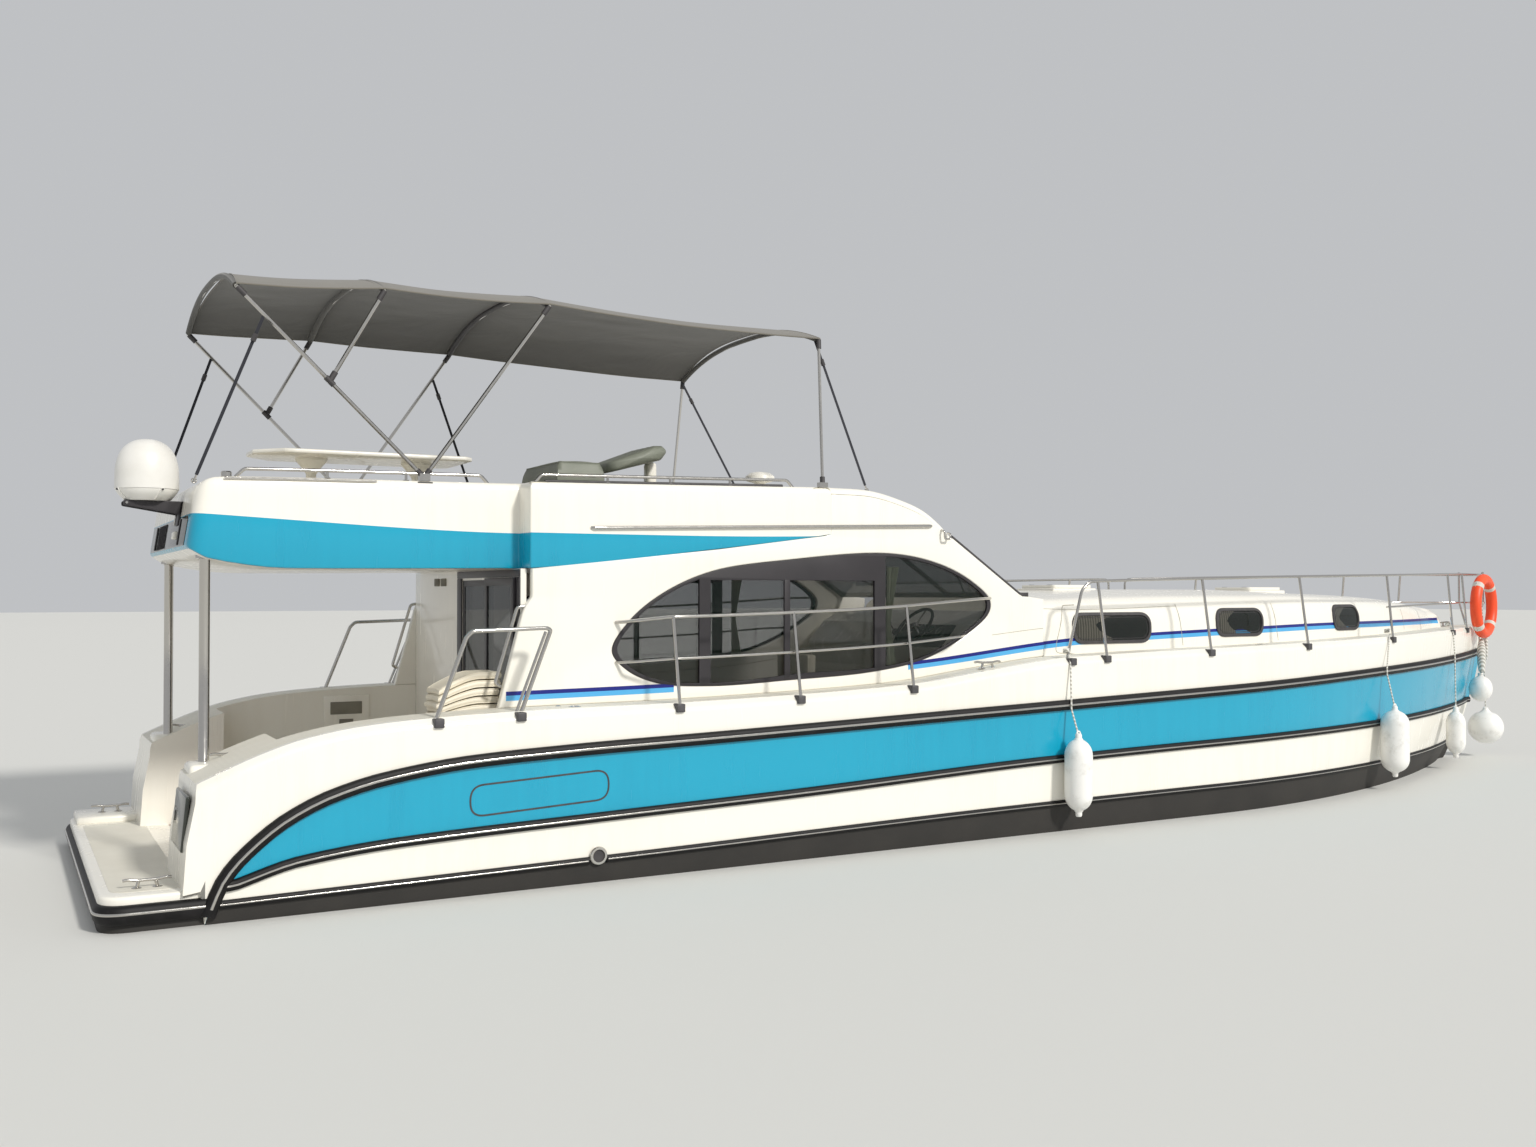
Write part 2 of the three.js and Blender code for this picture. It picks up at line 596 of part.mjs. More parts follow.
function screenSlab(front, back, trim) {
  const [hx, hz] = SCREEN.head;
  const [fx, fz] = SCREEN.foot;
  const length = Math.hypot(fx - hx, fz - hz);
  const [ux, uz] = [(fx - hx) / length, (fz - hz) / length];
  const at = (along, deep) => [hx + ux * along + uz * deep, hz + uz * along - ux * deep];
  return [at(trim, front), at(length - trim, front), at(length - trim, back), at(trim, back)];
}

const screenHalf = SIDE_IN - GAP;
const screenPanes = [[-screenHalf + SCREEN.border, -450], [-400, 400], [450, screenHalf - SCREEN.border]];
const screenFrame = sidePlate(screenSlab(0, SCREEN.frame, 0), [-screenHalf, screenHalf])
  .subtract(joined(screenPanes.map((range) => sidePlate(screenSlab(-10, SCREEN.frame + 10, SCREEN.border), range))));
const screenHead = flybridge.add(flybridge.translate([GAP, 0, -GAP]));
addPiece('windscreen_frame', screenFrame.subtract(screenHead), darkFrame);
addPiece('windscreen_glass', sidePlate(screenSlab(SCREEN.frame + GAP, SCREEN.frame + SCREEN.glass, 20),
  [-screenHalf + 15, screenHalf - 15]), tintedGlass);

// The coachroof over the forward cabins. Columns: place, height at the shoulder and at the crown.
const COACHROOF = [
  [-660, 1830, 1868], [0, 1850, 1905], [1200, 1870, 1935], [2600, 1875, 1935], [3600, 1855, 1905],
  [4500, 1800, 1850], [5200, 1735, 1780], [5800, 1670, 1705], [6180, 1620, 1640],
];
const roofHalf = (x) => Math.max(sideAt(x, 1300) - 340, 210);
const coachroof = loft(COACHROOF.map(([x, shoulder, crown]) => {
  const half = Math.min(roofHalf(x), SIDE_OUT - 10);
  const side = [[half, 1200], [half - 10, shoulder - 230], [half - 55, shoulder - 60], [half - 150, shoulder]];
  return [...side.map(([y, z]) => [x, -y, z]), [x, 0, crown], ...side.map(([y, z]) => [x, y, z]).reverse()];
}));
const cabinEnds = joined([
  block([-700, -440 + GAP], [-SIDE_OUT - 10, -SIDE_IN + GAP], [1000, 2000]),
  block([-700, -440 + GAP], [SIDE_IN - GAP, SIDE_OUT + 10], [1000, 2000]),
]);
// Deck hatches. Each has a low coaming on the coachroof and a lid on it.
// Columns: aft edge, fore edge, top of the coaming.
const HATCHES = { fore_hatch_lid: [3240, 3720, 1928], mid_hatch_lid: [640, 1120, 1944] };
const HATCH_HALF = 240;
const coamings = Object.values(HATCHES).map(([x0, x1, z]) => (
  block([x0 - 25, x1 + 25], [-HATCH_HALF - 25, HATCH_HALF + 25], [z - 80, z])));
addPiece('coachroof', joined([coachroof, ...coamings]).subtract(shellClear).subtract(cabinEnds), gelcoat);
for (const [name, [x0, x1, z]] of Object.entries(HATCHES)) {
  addPiece(name, block([x0, x1], [-HATCH_HALF, HATCH_HALF], [z + GAP, z + 34]), tintedGlass);
}

// The lid over the engine lies in the cockpit floor.
addPiece('engine_hatch_lid', block([PIT.x[0] - 60, PIT.x[1] + 60], [-450, 450], [FLOOR + GAP, FLOOR + 25]), gelcoat);

// Aft bulkhead with the doorway, a fixed leaf and the leaf that slides aft of it.
const DOOR = { y: [-1200, 0], top: 1990, leaf: 620, thick: 26 };
const bulkhead = block([BULKHEAD, BULKHEAD + 40], [-SIDE_IN + GAP, SIDE_IN - GAP], [FLOOR + GAP, CEILING - GAP])
  .subtract(block([BULKHEAD - 10, BULKHEAD + 50], DOOR.y, [FLOOR + 25, DOOR.top]));
addPiece('aft_bulkhead', bulkhead, gelcoat);

function doorLeaf(name, x0, y0, z0, z1) {
  const border = 55;
  const frame = block([x0, x0 + DOOR.thick], [y0, y0 + DOOR.leaf], [z0, z1])
    .subtract(block([x0 - 5, x0 + DOOR.thick + 5], [y0 + border, y0 + DOOR.leaf - border],
      [z0 + border, z1 - border]));
  addPiece(`${name}_frame`, frame, darkFrame);
  addPiece(`${name}_glass`, block([x0 + 9, x0 + 17], [y0 + border + GAP, y0 + DOOR.leaf - border - GAP],
    [z0 + border + GAP, z1 - border - GAP]), tintedGlass);
}
addPiece('door_fixed_pane', block([BULKHEAD + 7, BULKHEAD + 33], [DOOR.y[1] - DOOR.leaf, DOOR.y[1] - GAP],
  [FLOOR + 25 + GAP, DOOR.top - GAP]), tintedGlass);
doorLeaf('door_sliding', BULKHEAD - DOOR.thick - GAP, DOOR.y[0] - 20, FLOOR + 12, DOOR.top + 12);

// Posts under the overhang stand on the quarters.
const POST = { x: -6825, y: 980, radius: 32 };
const underFly = flybridge.add(block([-6950, -6600], [-1300, 1300], [2300, 2400]));
for (const [name, side] of [['post_stb', -1], ['post_port', 1]]) {
  const post = turned([[0, 0], [POST.radius, 0], [POST.radius, 1500], [0, 1500]], [POST.x, side * POST.y, 700], 12);
  const clear = underFly.translate([0, 0, -GAP]).add(shellClear);
  const cut = post.subtract(clear).decompose().sort((a, b) => b.volume() - a.volume())[0];
  addPiece(name, cut, stainless);
}

// Saloon furniture that shows through the glass.
addPiece('saloon_sofa', joined([
  block([-3300, -1900], [500, 1100], [FLOOR + GAP, 640]),
  block([-3300, -1900], [1000, 1270], [FLOOR + GAP, 1060]),
]), sofaCloth);
addPiece('saloon_cabinet', block([-3500, -2500], [-1280, -760], [FLOOR + GAP, 1010]), cabinetWood);
const HELM_FACE = [[-1200, 1440], [-1020, 1640]];
addPiece('helm_console', sidePlate([
  [-1130, FLOOR + GAP], [-1130, 1250], ...HELM_FACE, [-790, 1760], [-790, FLOOR + GAP],
], [-1150, 1150]), gelcoat);
addPiece('helm_seat', joined([
  block([-2150, -2050], [-650, -550], [FLOOR + GAP, 760]),
  block([-2330, -1850], [-860, -340], [750, 870]),
  block([-2400, -2310], [-850, -350], [760, 1420]),
]), sofaCloth);

// A steering wheel: rim, three spokes and a hub whose foot lies on the sloping face of its console.
// The face runs up from its first [x, z] point to its second.
function steeringWheel(name, [[x0, z0], [x1, z1]], y, radius, standOff) {
  const rim = toSolid(new THREE.TorusGeometry(radius, 13, 6, 24));
  const spokes = [0, 1, 2].map((k) => {
    const angle = Math.PI / 2 + (2 * Math.PI * k) / 3;
    return bar([[0, 0, 0], [radius * Math.cos(angle), radius * Math.sin(angle), 0]], 9, 6);
  });
  const hubLength = standOff - GAP + 20;
  const hub = toSolid(new THREE.CylinderGeometry(32, 32, hubLength, 12).rotateX(Math.PI / 2))
    .translate([0, 0, hubLength / 2 - 20]);
  const slope = Math.atan2(x1 - x0, z1 - z0);
  const centre = [(x0 + x1) / 2 - standOff * Math.cos(slope), y, (z0 + z1) / 2 + standOff * Math.sin(slope)];
  const tilt = (slope * 180) / Math.PI;
  const wheel = joined([rim, hub, ...spokes]).rotate([90, 0, 90]).rotate([0, tilt, 0]).translate(centre);
  addPiece(name, wheel, blackRubber);
}
steeringWheel('helm_wheel', HELM_FACE, -600, 190, 120);

// Flybridge fittings.
const FLY_FACE = [[-3060, 2380], [-2910, 2560]];
addPiece('fly_console', joined([
  sidePlate([[-3050, FLY.floor + GAP], ...FLY_FACE, [-2800, 2690], [-2600, 2690], [-2600, FLY.floor + GAP]],
    [-1050, -250]),
  block([-2800, -2625], [-770, -530], [2680, 2855]),
]), gelcoat);
steeringWheel('fly_wheel', FLY_FACE, -650, 170, 110);
// The helm seat on the flybridge: a box with two cushions and a back that is tipped forward on its arm.
addPiece('fly_helm_seat', joined([
  block([-4500, -3600], [-1000, -300], [FLY.floor + GAP, 2580]),
  block([-4520, -4200], [-1010, -290], [2570, 2840]),
  block([-3700, -3600], [-700, -600], [2570, 2900]),
  sidePlate([[-4090, 2765], [-3640, 2885], [-3600, 2950], [-3640, 2990], [-3720, 2985], [-4100, 2840]],
    [-940, -360]),
]), cushionCloth);
addPiece('fly_sofa', joined([
  block([-6610, -4700], [520, 1060], [FLY.floor + GAP, 2500]),
  block([-6610, -6190], [-1060, 560], [FLY.floor + GAP, 2500]),
]), cushionCloth);
addPiece('fly_table', joined([
  planPlate([[-6420, -130], [-6240, -360], [-4980, -360], [-4920, -300], [-4920, 300], [-4980, 360],
    [-6240, 360], [-6420, 130]], [2853, 2885]),
  ...[-6000, -5250].map((x) => turned([[0, 0], [170, 0], [170, 12], [35, 30], [35, 710], [110, 735], [0, 735]],
    [x, 0, FLY.floor + GAP], 12)),
]), gelcoat);

// The dome of the satellite aerial behind the flybridge, on its bracket.
const DOME = { x: -7112, y: -500, foot: 2510, radius: 207 };
const bracket = sidePlate([
  [DOME.x - 190, DOME.foot - 35], [-7010, DOME.foot - 80], [-6960, 2300], [-6850, 2300], [-6850, DOME.foot],
  [DOME.x - 190, DOME.foot],
], [DOME.y - 80, DOME.y + 80]);
addPiece('aerial_bracket', bracket.subtract(flybridge.add(flybridge.translate([-GAP, 0, 0]))), darkFrame);
addPiece('aerial_dome', turned([[0, 0], [160, 0], [186, 30], [DOME.radius, 75], [DOME.radius, 225], [190, 305],
  [142, 370], [75, 404], [0, 415]], [DOME.x, DOME.y, DOME.foot + GAP], 20), gelcoat);

// The sun canopy on its folding bows, which lean a little to starboard.
// Columns: place, height of the edges halfway across, how far the port edge stands above that.
const CANOPY = { half: 1200, crown: 190, thick: 24 };
const BOWS = [[-6680, 3835, 45], [-5780, 3880, 25], [-4660, 3880, 10], [-2500, 3830, 0]];
const ACROSS = [-1, -0.92, -0.75, -0.45, 0, 0.45, 0.75, 0.92, 1];
const clothZ = ([, z, lean], t) => z + lean * t + CANOPY.crown * (1 - Math.abs(t) ** 2.5);
const canopyRings = BOWS.map((row) => {
  const under = ACROSS.map((t) => [row[0], t * CANOPY.half, clothZ(row, t)]);
  const over = under.map(([px, py, pz]) => [px, py, pz + CANOPY.thick]).reverse();
  return [...under, ...over];
});
const canopySheet = loft(canopyRings);
addPiece('canopy', canopySheet, canvas);

// Frame of the canopy: four bows and the struts that hold them.
const HINGE = { x: -5500, y: FLY.aftHalf - FLY.wall / 2, z: 2655 };
const TUBE = 13;
const BRANCH = 0.52;
const onBow = (row, t) => [row[0], t * (CANOPY.half - 18), clothZ(row, t) - TUBE + 2];
const bow = (row) => bar(ACROSS.map((t) => onBow(row, t)), TUBE, 6);
const strut = (foot, row, side) => bar([foot, onBow(row, side)], TUBE, 6);
const footBlock = ([x, y, z]) => block([x - 35, x + 35], [y - 22, y + 22], [z - 90, z + 25]);

// On each side the aft and the third bow meet at a hinge, and the second bow branches off the aft strut.
const foldingStruts = [-1, 1].flatMap((side) => {
  const foot = [HINGE.x, side * HINGE.y, HINGE.z];
  const head = onBow(BOWS[0], side);
  const branch = foot.map((value, i) => value + (head[i] - value) * BRANCH);
  return [footBlock(foot), strut(foot, BOWS[0], side), strut(foot, BOWS[2], side), strut(branch, BOWS[1], side)];
});
const frontLegs = [-1, 1].flatMap((side) => {
  const foot = [BOWS[3][0] - 50, side * (SIDE_OUT - FLY.wall / 2), 2700];
  return [footBlock(foot), strut(foot, BOWS[3], side)];
});
const frameClear = joined([flybridge.translate([0, 0, GAP]), canopySheet, canopySheet.translate([0, 0, -GAP])]);
addPiece('canopy_frame', joined([...BOWS.slice(0, 3).map(bow), ...foldingStruts]).subtract(frameClear), stainless);
addPiece('canopy_front_frame', joined([bow(BOWS[3]), ...frontLegs]).subtract(frameClear), stainless);

// Stainless rails. A rail is one welded piece: bars, stanchions and their square sockets.
const RAIL_TUBE = 12;
const RAIL_INSET = 50;
const railY = (x) => RAIL_INSET - sideAt(x, deckHeight(x) - 20);
const railFoot = (x) => [x, railY(x), deckHeight(x) + GAP];

function stanchion(x, height, lean = 0) {
  const [fx, fy, fz] = railFoot(x);
  return joined([
    bar([[fx, fy, fz + 10], [fx - lean, fy, fz + height]], RAIL_TUBE, 6),
    block([fx - 22, fx + 22], [fy - 22, fy + 22], [fz, fz + 40]),
  ]);
}

const onRail = ([x, z]) => [x, railY(x), z];
const sideRail = joined([
  ...[-3910, -2960, -1980].map((x) => stanchion(x, 590, 15)),
  bar([[-4240, -SIDE_OUT - 2, 1695], [-4150, -1500, 1708], ...[[-3925, 1735], [-2975, 1758],
    [-1995, 1800]].map(onRail), [-1250, -1520, 1850], [-1000, -SIDE_OUT - 2, 1855]], RAIL_TUBE, 6),
  bar([[-4240, -SIDE_OUT - 2, 1420], [-4150, -1500, 1430], ...[[-3918, 1450], [-2968, 1480],
    [-1990, 1520]].map(onRail), [-1420, -1520, 1560], [-1260, -SIDE_OUT - 2, 1565]], RAIL_TUBE, 6),
]);
const sideClearOut = sidePlate(cabinSideOutline, [-SIDE_OUT - GAP, -SIDE_IN]);
const sideRailFitted = sideRail.subtract(shellClear).subtract(sideClearOut);
addPiece('side_rail_stb', sideRailFitted, stainless);
addPiece('side_rail_port', mirrored(sideRailFitted), stainless);

const topOf = (x, height) => {
  const [, y, z] = railFoot(x);
  return [x, y, z + height];
};
// Ahead of its last stanchion the pulpit leans out over the stem. Both sides stop short of the centreline.
const PULPIT = [[7000, -250], [7250, -150], [7370, -60], [7385, 10]];
const PULPIT_MID = 1790;
const pulpitBar = (z) => PULPIT.map(([x, y]) => [x, y, z]);
const LEG = -430;
const foreRail = joined([
  ...[-60, 1130, 2450, 4050, 5850, 6500].map((x) => stanchion(x, 605, x < 4000 ? 30 : 0)),
  bar([topOf(LEG, 12), topOf(-260, 540), topOf(-180, 600), topOf(-90, 605), topOf(1100, 605), topOf(2420, 605),
    topOf(4050, 605), topOf(5000, 605), topOf(5850, 605), topOf(6500, 603), ...pulpitBar(2115)], RAIL_TUBE, 6),
  block([LEG - 22, LEG + 22], [railY(LEG) - 22, railY(LEG) + 22], [deckHeight(LEG), deckHeight(LEG) + 40]),
  bar([topOf(4050, 290), topOf(5000, 290), topOf(5850, 285), topOf(6500, 280), ...pulpitBar(PULPIT_MID)],
    RAIL_TUBE, 6),
  bar([[7250, -60, 1500], [7250, -150, PULPIT_MID], [7250, -150, 2115]], RAIL_TUBE, 6),
]).subtract(shellClear).subtract(block([7000, 7600], [-GAP / 2, 100], [1400, 2300]));
addPiece('bow_rail_stb', foreRail, stainless);
addPiece('bow_rail_port', mirrored(foreRail), stainless);

// Hoops at the boarding places beside the cabin.
const hoop = joined([
  bar([[-5560, -1610, 1140], [-5365, -1610, 1615], [-5325, -1610, 1655], [-4830, -1610, 1670],
    [-4800, -1600, 1655], [-5010, -1600, 1150]], 14, 6),
  bar([[-4870, -1570, 1640], [-5060, -1570, 1150]], 10, 6),
  block([-5090, -4980], [-1630, -1550], [1135, 1175]),
  block([-5590, -5530], [-1640, -1580], [1110, 1150]),
  bar([[-4870, -1570, 1640], [-4840, -1605, 1660]], 9, 6),
]);
addPiece('boarding_hoop_stb', hoop.subtract(shellClear), stainless);
addPiece('boarding_hoop_port', mirrored(hoop.subtract(shellClear)), stainless);

// The stack of seat cushions on the cockpit locker.
addPiece('cushion_stack', block([-5490, -4990], [-1230, -900], [LOCKER.stbTop + GAP, 1370]), cushionCloth);

// Fenders press on the lower rub rail. Each hangs on a line from the foot of a rail.
// Columns: place, radius, lower end, length of the body, and the foot that the line is tied to.
const FENDERS = {
  fender_mid: { x: -490, radius: 110, low: 135, length: 610, foot: LEG },
  fender_bow: { x: 3810, radius: 130, low: 130, length: 640, foot: 4050 },
  fender_fore: { x: 5790, radius: 97, low: 125, length: 500, foot: 5850 },
};
const LINE_RADIUS = 7;
const DENT = 9;
const railsClear = joined([upperRail, lowerRail]).translate([0, -GAP, 0]);
for (const [name, { x, radius, low, length, foot }] of Object.entries(FENDERS)) {
  const railZ = between(LOWER_RAIL, x, 'z');
  // A step square to the side of the hull grows by this much when it is taken along Y.
  const slant = Math.hypot(1, (sideAt(x - 50, railZ) - sideAt(x + 50, railZ)) / 100);
  const y = -(sideAt(x, railZ) + (LOWER_PROUD + radius - DENT) * slant);
  const body = turned([[0, 0], [radius * 0.4, 6], [radius * 0.85, 60], [radius, 130], [radius, length - 130],
    [radius * 0.85, length - 60], [radius * 0.35, length], [30, length + 45], [0, length + 45]], [x, y, low], 14);
  const outOf = (place, z, gap) => -(sideAt(place, z) + (gap + LINE_RADIUS) * slant);
  const overRail = between(UPPER_RAIL, x, 'z');
  const edge = (x + foot) / 2;
  const line = bar([[x, y, low + length + 30], [x, outOf(x, overRail, UPPER_PROUD - 3), overRail - 25],
    [x, outOf(x, overRail, UPPER_PROUD - 3), overRail + 25],
    [edge, outOf(edge, deckHeight(edge) - 50, 1), deckHeight(edge) - 30],
    [foot, railY(foot) - 22 - LINE_RADIUS, deckHeight(foot) + 22]], LINE_RADIUS, 6);
  addPiece(name, body.add(line).subtract(railsClear).subtract(shellClear), fenderVinyl);
}

// Two round fenders hang beside the stem, on lines from the pulpit's middle bar.
// Columns: place of the middle, radius, and the place where the line meets the bar.
const BALLS = {
  ball_fender_low: { at: [7210, -200, 340], radius: 190, rail: [7210, -166] },
  ball_fender_high: { at: [7000, -222, 810], radius: 100, rail: [7000, -250] },
};
for (const [name, { at: [x, y, z], radius, rail }] of Object.entries(BALLS)) {
  const ball = toSolid(new THREE.SphereGeometry(radius, 14, 9).rotateX(Math.PI / 2).translate(x, y, z));
  const line = bar([[x, y, z + radius - 10], [...rail, PULPIT_MID]], LINE_RADIUS, 6);
  const hung = ball.add(line).subtract(foreRail.translate([0, 0, -GAP])).subtract(railsClear).subtract(shellClear);
  addPiece(name, hung.decompose().sort((a, b) => b.volume() - a.volume())[0], fenderVinyl);
}
const buoy = toSolid(new THREE.TorusGeometry(310, 60, 8, 24)).rotate([90, 0, 0]).rotate([0, 0, 15])
  .translate([7000, -326, 1750]);
addPiece('lifebuoy', buoy, buoyOrange);

export default cruiser;
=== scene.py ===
import json
import math

import bmesh
import bpy
import numpy as np
from mathutils import Matrix, Vector, noise


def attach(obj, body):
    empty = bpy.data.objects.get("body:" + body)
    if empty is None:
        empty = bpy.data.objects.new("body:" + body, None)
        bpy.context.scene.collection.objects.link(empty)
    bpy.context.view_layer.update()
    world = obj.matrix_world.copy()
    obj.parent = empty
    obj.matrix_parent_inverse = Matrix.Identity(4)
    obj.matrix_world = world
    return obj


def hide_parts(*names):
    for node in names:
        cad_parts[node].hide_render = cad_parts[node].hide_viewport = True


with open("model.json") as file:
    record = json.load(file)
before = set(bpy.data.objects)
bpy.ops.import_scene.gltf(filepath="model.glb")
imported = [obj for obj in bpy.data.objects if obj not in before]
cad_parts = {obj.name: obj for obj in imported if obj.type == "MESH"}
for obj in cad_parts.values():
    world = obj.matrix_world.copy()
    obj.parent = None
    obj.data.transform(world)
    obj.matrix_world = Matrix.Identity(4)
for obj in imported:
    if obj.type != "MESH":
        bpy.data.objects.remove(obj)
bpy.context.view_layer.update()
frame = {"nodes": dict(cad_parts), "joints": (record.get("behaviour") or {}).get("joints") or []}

# The camera stands 1.9 m above the water off the starboard quarter and looks forward along the side.
camera_data = bpy.data.cameras.new("camera")
camera_data.sensor_width = 36
camera_data.lens = 32.34
camera_data.clip_end = 400
camera = bpy.data.objects.new("camera", camera_data)
camera.location = (-7.98, -10.12, 1.89)
camera.rotation_euler = (math.radians(90.851), 0, math.radians(-29.41))
bpy.context.scene.collection.objects.link(camera)
bpy.context.scene.camera = camera


def linear(code):
    """A colour written as sRGB hex, as the linear values that a socket takes."""
    parts = [int(code[i:i + 2], 16) / 255 for i in (1, 3, 5)]
    return [c / 12.92 if c <= 0.04045 else ((c + 0.055) / 1.055) ** 2.4 for c in parts] + [1.0]


def node(tree, kind, settings=None, links=None):
    """Adds a node, sets its properties and sockets, and links the named sockets to (node, output)."""
    added = tree.nodes.new(kind)
    for key, value in (settings or {}).items():
        if isinstance(key, int) or key in added.inputs:
            added.inputs[key].default_value = value
        else:
            setattr(added, key, value)
    for key, (source, output) in (links or {}).items():
        tree.links.new(source.outputs[output], added.inputs[key])
    return added


def new_material(name, colour, **settings):
    """A material with its Principled shader set, and its tree and shader for what is added to it."""
    material = bpy.data.materials.new(name)
    material.use_nodes = True
    tree = material.node_tree
    shader = tree.nodes["Principled BSDF"]
    shader.inputs["Base Color"].default_value = linear(colour)
    for key, value in settings.items():
        shader.inputs[key.replace("_", " ").title().replace("Ior", "IOR")].default_value = value
    return material, tree, shader


# The studio: a plain pale floor at the height of the water, and soft light that comes mostly from
# the starboard side and a little from ahead, as the sun does in the photograph.
studio_floor, floor_tree, floor_shader = new_material("studio_floor", "#dcdcd8", roughness=0.75)
floor_grain = node(floor_tree, "ShaderNodeTexNoise", {"Scale": 0.4, "Detail": 4.0})
floor_tone = node(floor_tree, "ShaderNodeMix", {"data_type": "RGBA", 6: linear("#dededa"), 7: linear("#d6d6d2")},
                  {0: (floor_grain, "Fac")})
floor_tree.links.new(floor_tone.outputs[2], floor_shader.inputs["Base Color"])
floor_mesh = bpy.data.meshes.new("floor")
floor_mesh.from_pydata([(-150, -150, 0), (150, -150, 0), (150, 150, 0), (-150, 150, 0)], [], [(0, 1, 2, 3)])
floor_mesh.materials.append(studio_floor)
floor = bpy.data.objects.new("floor", floor_mesh)
bpy.context.scene.collection.objects.link(floor)

world = bpy.data.worlds.new("studio")
world.use_nodes = True
world.node_tree.nodes["Background"].inputs["Color"].default_value = (0.95, 0.97, 1.0, 1)
world.node_tree.nodes["Background"].inputs["Strength"].default_value = 0.55
bpy.context.scene.world = world
key_data = bpy.data.lights.new("key", "SUN")
key_data.energy = 2.5
key_data.angle = math.radians(7)
key_data.color = (1.0, 0.97, 0.92)
key = bpy.data.objects.new("key", key_data)
key.rotation_euler = Vector((0.24, -0.78, 0.57)).to_track_quat("Z", "Y").to_euler()
bpy.context.scene.collection.objects.link(key)
bpy.context.scene.view_settings.view_transform = "Standard"


# The hull: glass fibre laid up in a mould with a polished gelcoat face. It is teal between its two
# rub rails, white down to the boot rail and coated with black antifouling below that.
def gelcoat(name, colour, worn):
    """Polished polyester gelcoat: glossy, with a faint ripple, slow shifts of tone and rain streaks."""
    material, tree, shader = new_material(name, colour, roughness=0.24, ior=1.5, coat_weight=0.25)
    place = node(tree, "ShaderNodeTexCoord")
    streak_space = node(tree, "ShaderNodeMapping", {"Scale": (11.0, 11.0, 0.9)}, {"Vector": (place, "Object")})
    streaks = node(tree, "ShaderNodeTexNoise", {"Scale": 1.0, "Detail": 5.0, "Roughness": 0.6},
                   {"Vector": (streak_space, "Vector")})
    tone = node(tree, "ShaderNodeTexNoise", {"Scale": 0.9, "Detail": 3.0}, {"Vector": (place, "Object")})
    spread = node(tree, "ShaderNodeMath", {"operation": "MULTIPLY"}, {0: (streaks, "Fac"), 1: (tone, "Fac")})
    reach = node(tree, "ShaderNodeMapRange", {"From Min": 0.22, "From Max": 0.5, "To Min": 0.0, "To Max": 0.42},
                 {"Value": (spread, "Value")})
    mixed = node(tree, "ShaderNodeMix", {"data_type": "RGBA", 6: linear(colour), 7: linear(worn)},
                 {0: (reach, "Result")})
    tree.links.new(mixed.outputs[2], shader.inputs["Base Color"])
    gloss = node(tree, "ShaderNodeMapRange", {"To Min": 0.17, "To Max": 0.34}, {"Value": (streaks, "Fac")})
    tree.links.new(gloss.outputs["Result"], shader.inputs["Roughness"])
    # The ripple of the mould is some 5 mm long on the real skin. It is drawn at 16 mm so that it shows.
    ripple = node(tree, "ShaderNodeTexNoise", {"Scale": 60.0, "Detail": 2.0}, {"Vector": (place, "Object")})
    bump = node(tree, "ShaderNodeBump", {"Strength": 0.05, "Distance": 0.002}, {"Height": (ripple, "Fac")})
    tree.links.new(bump.outputs["Normal"], shader.inputs["Normal"])
    return material


white_gelcoat = gelcoat("white_gelcoat", "#f6f3e9", "#e8e2d3")
teal_gelcoat = gelcoat("teal_gelcoat", "#0ca1c2", "#0990b2")


def finished(name, colour, tones, pattern, spread=None, gloss=None, relief=None, **settings):
    """The material of one real finish. Its pattern, a kind of texture and its settings, mixes two tones
    and shifts the roughness over the range gloss. spread is a Map Range that narrows where the second
    tone shows. relief is a pattern that stands out: its kind, settings, strength and depth."""
    material, tree, shader = new_material(name, colour, **settings)
    place = node(tree, "ShaderNodeTexCoord")
    drawn = [(node(tree, "ShaderNodeTex" + kind, values, {"Vector": (place, "Object")}),
              "Distance" if kind == "Voronoi" else "Fac")
             for kind, values in [pattern] + ([relief[:2]] if relief else [])]
    wear = drawn[0]
    if tones:
        share = (node(tree, "ShaderNodeMapRange", spread, {"Value": wear}), "Result") if spread else wear
        mixed = node(tree, "ShaderNodeMix",
                     {"data_type": "RGBA", 6: linear(tones[0]), 7: linear(tones[1])}, {0: share})
        tree.links.new(mixed.outputs[2], shader.inputs["Base Color"])
    if gloss:
        rough = node(tree, "ShaderNodeMapRange", {"To Min": gloss[0], "To Max": gloss[1]}, {"Value": wear})
        tree.links.new(rough.outputs["Result"], shader.inputs["Roughness"])
    if relief:
        bump = node(tree, "ShaderNodeBump", {"Strength": relief[2], "Distance": relief[3]}, {"Height": drawn[1]})
        tree.links.new(bump.outputs["Normal"], shader.inputs["Normal"])
    return material


# Antifouling is a soft paint, rolled on. It is dull and dark, with paler stains.
antifouling = finished("black_antifouling", "#1c1a1b", ("#1c1b1a", "#35322e"),
                       ("Noise", {"Scale": 2.5, "Detail": 6.0}),
                       relief=("Noise", {"Scale": 45.0, "Detail": 4.0}, 0.2, 0.002), roughness=0.62, ior=1.5)

TRANSOM = -6.95
BOW_START = 1.2
BOW_END = 7.44
FLOOR = 0.2
DECK_EDGE = [
    (TRANSOM, 0.80), (-6.60, 0.95), (-6.35, 1.03), (-6.0, 1.09), (-5.6, 1.12), (-5.0, 1.14), (-3.9, 1.15),
    (-3.0, 1.17), (-2.0, 1.21), (-1.2, 1.30), (-0.4, 1.38), (1.2, 1.42), (4.0, 1.47), (7.44, 1.53),
]
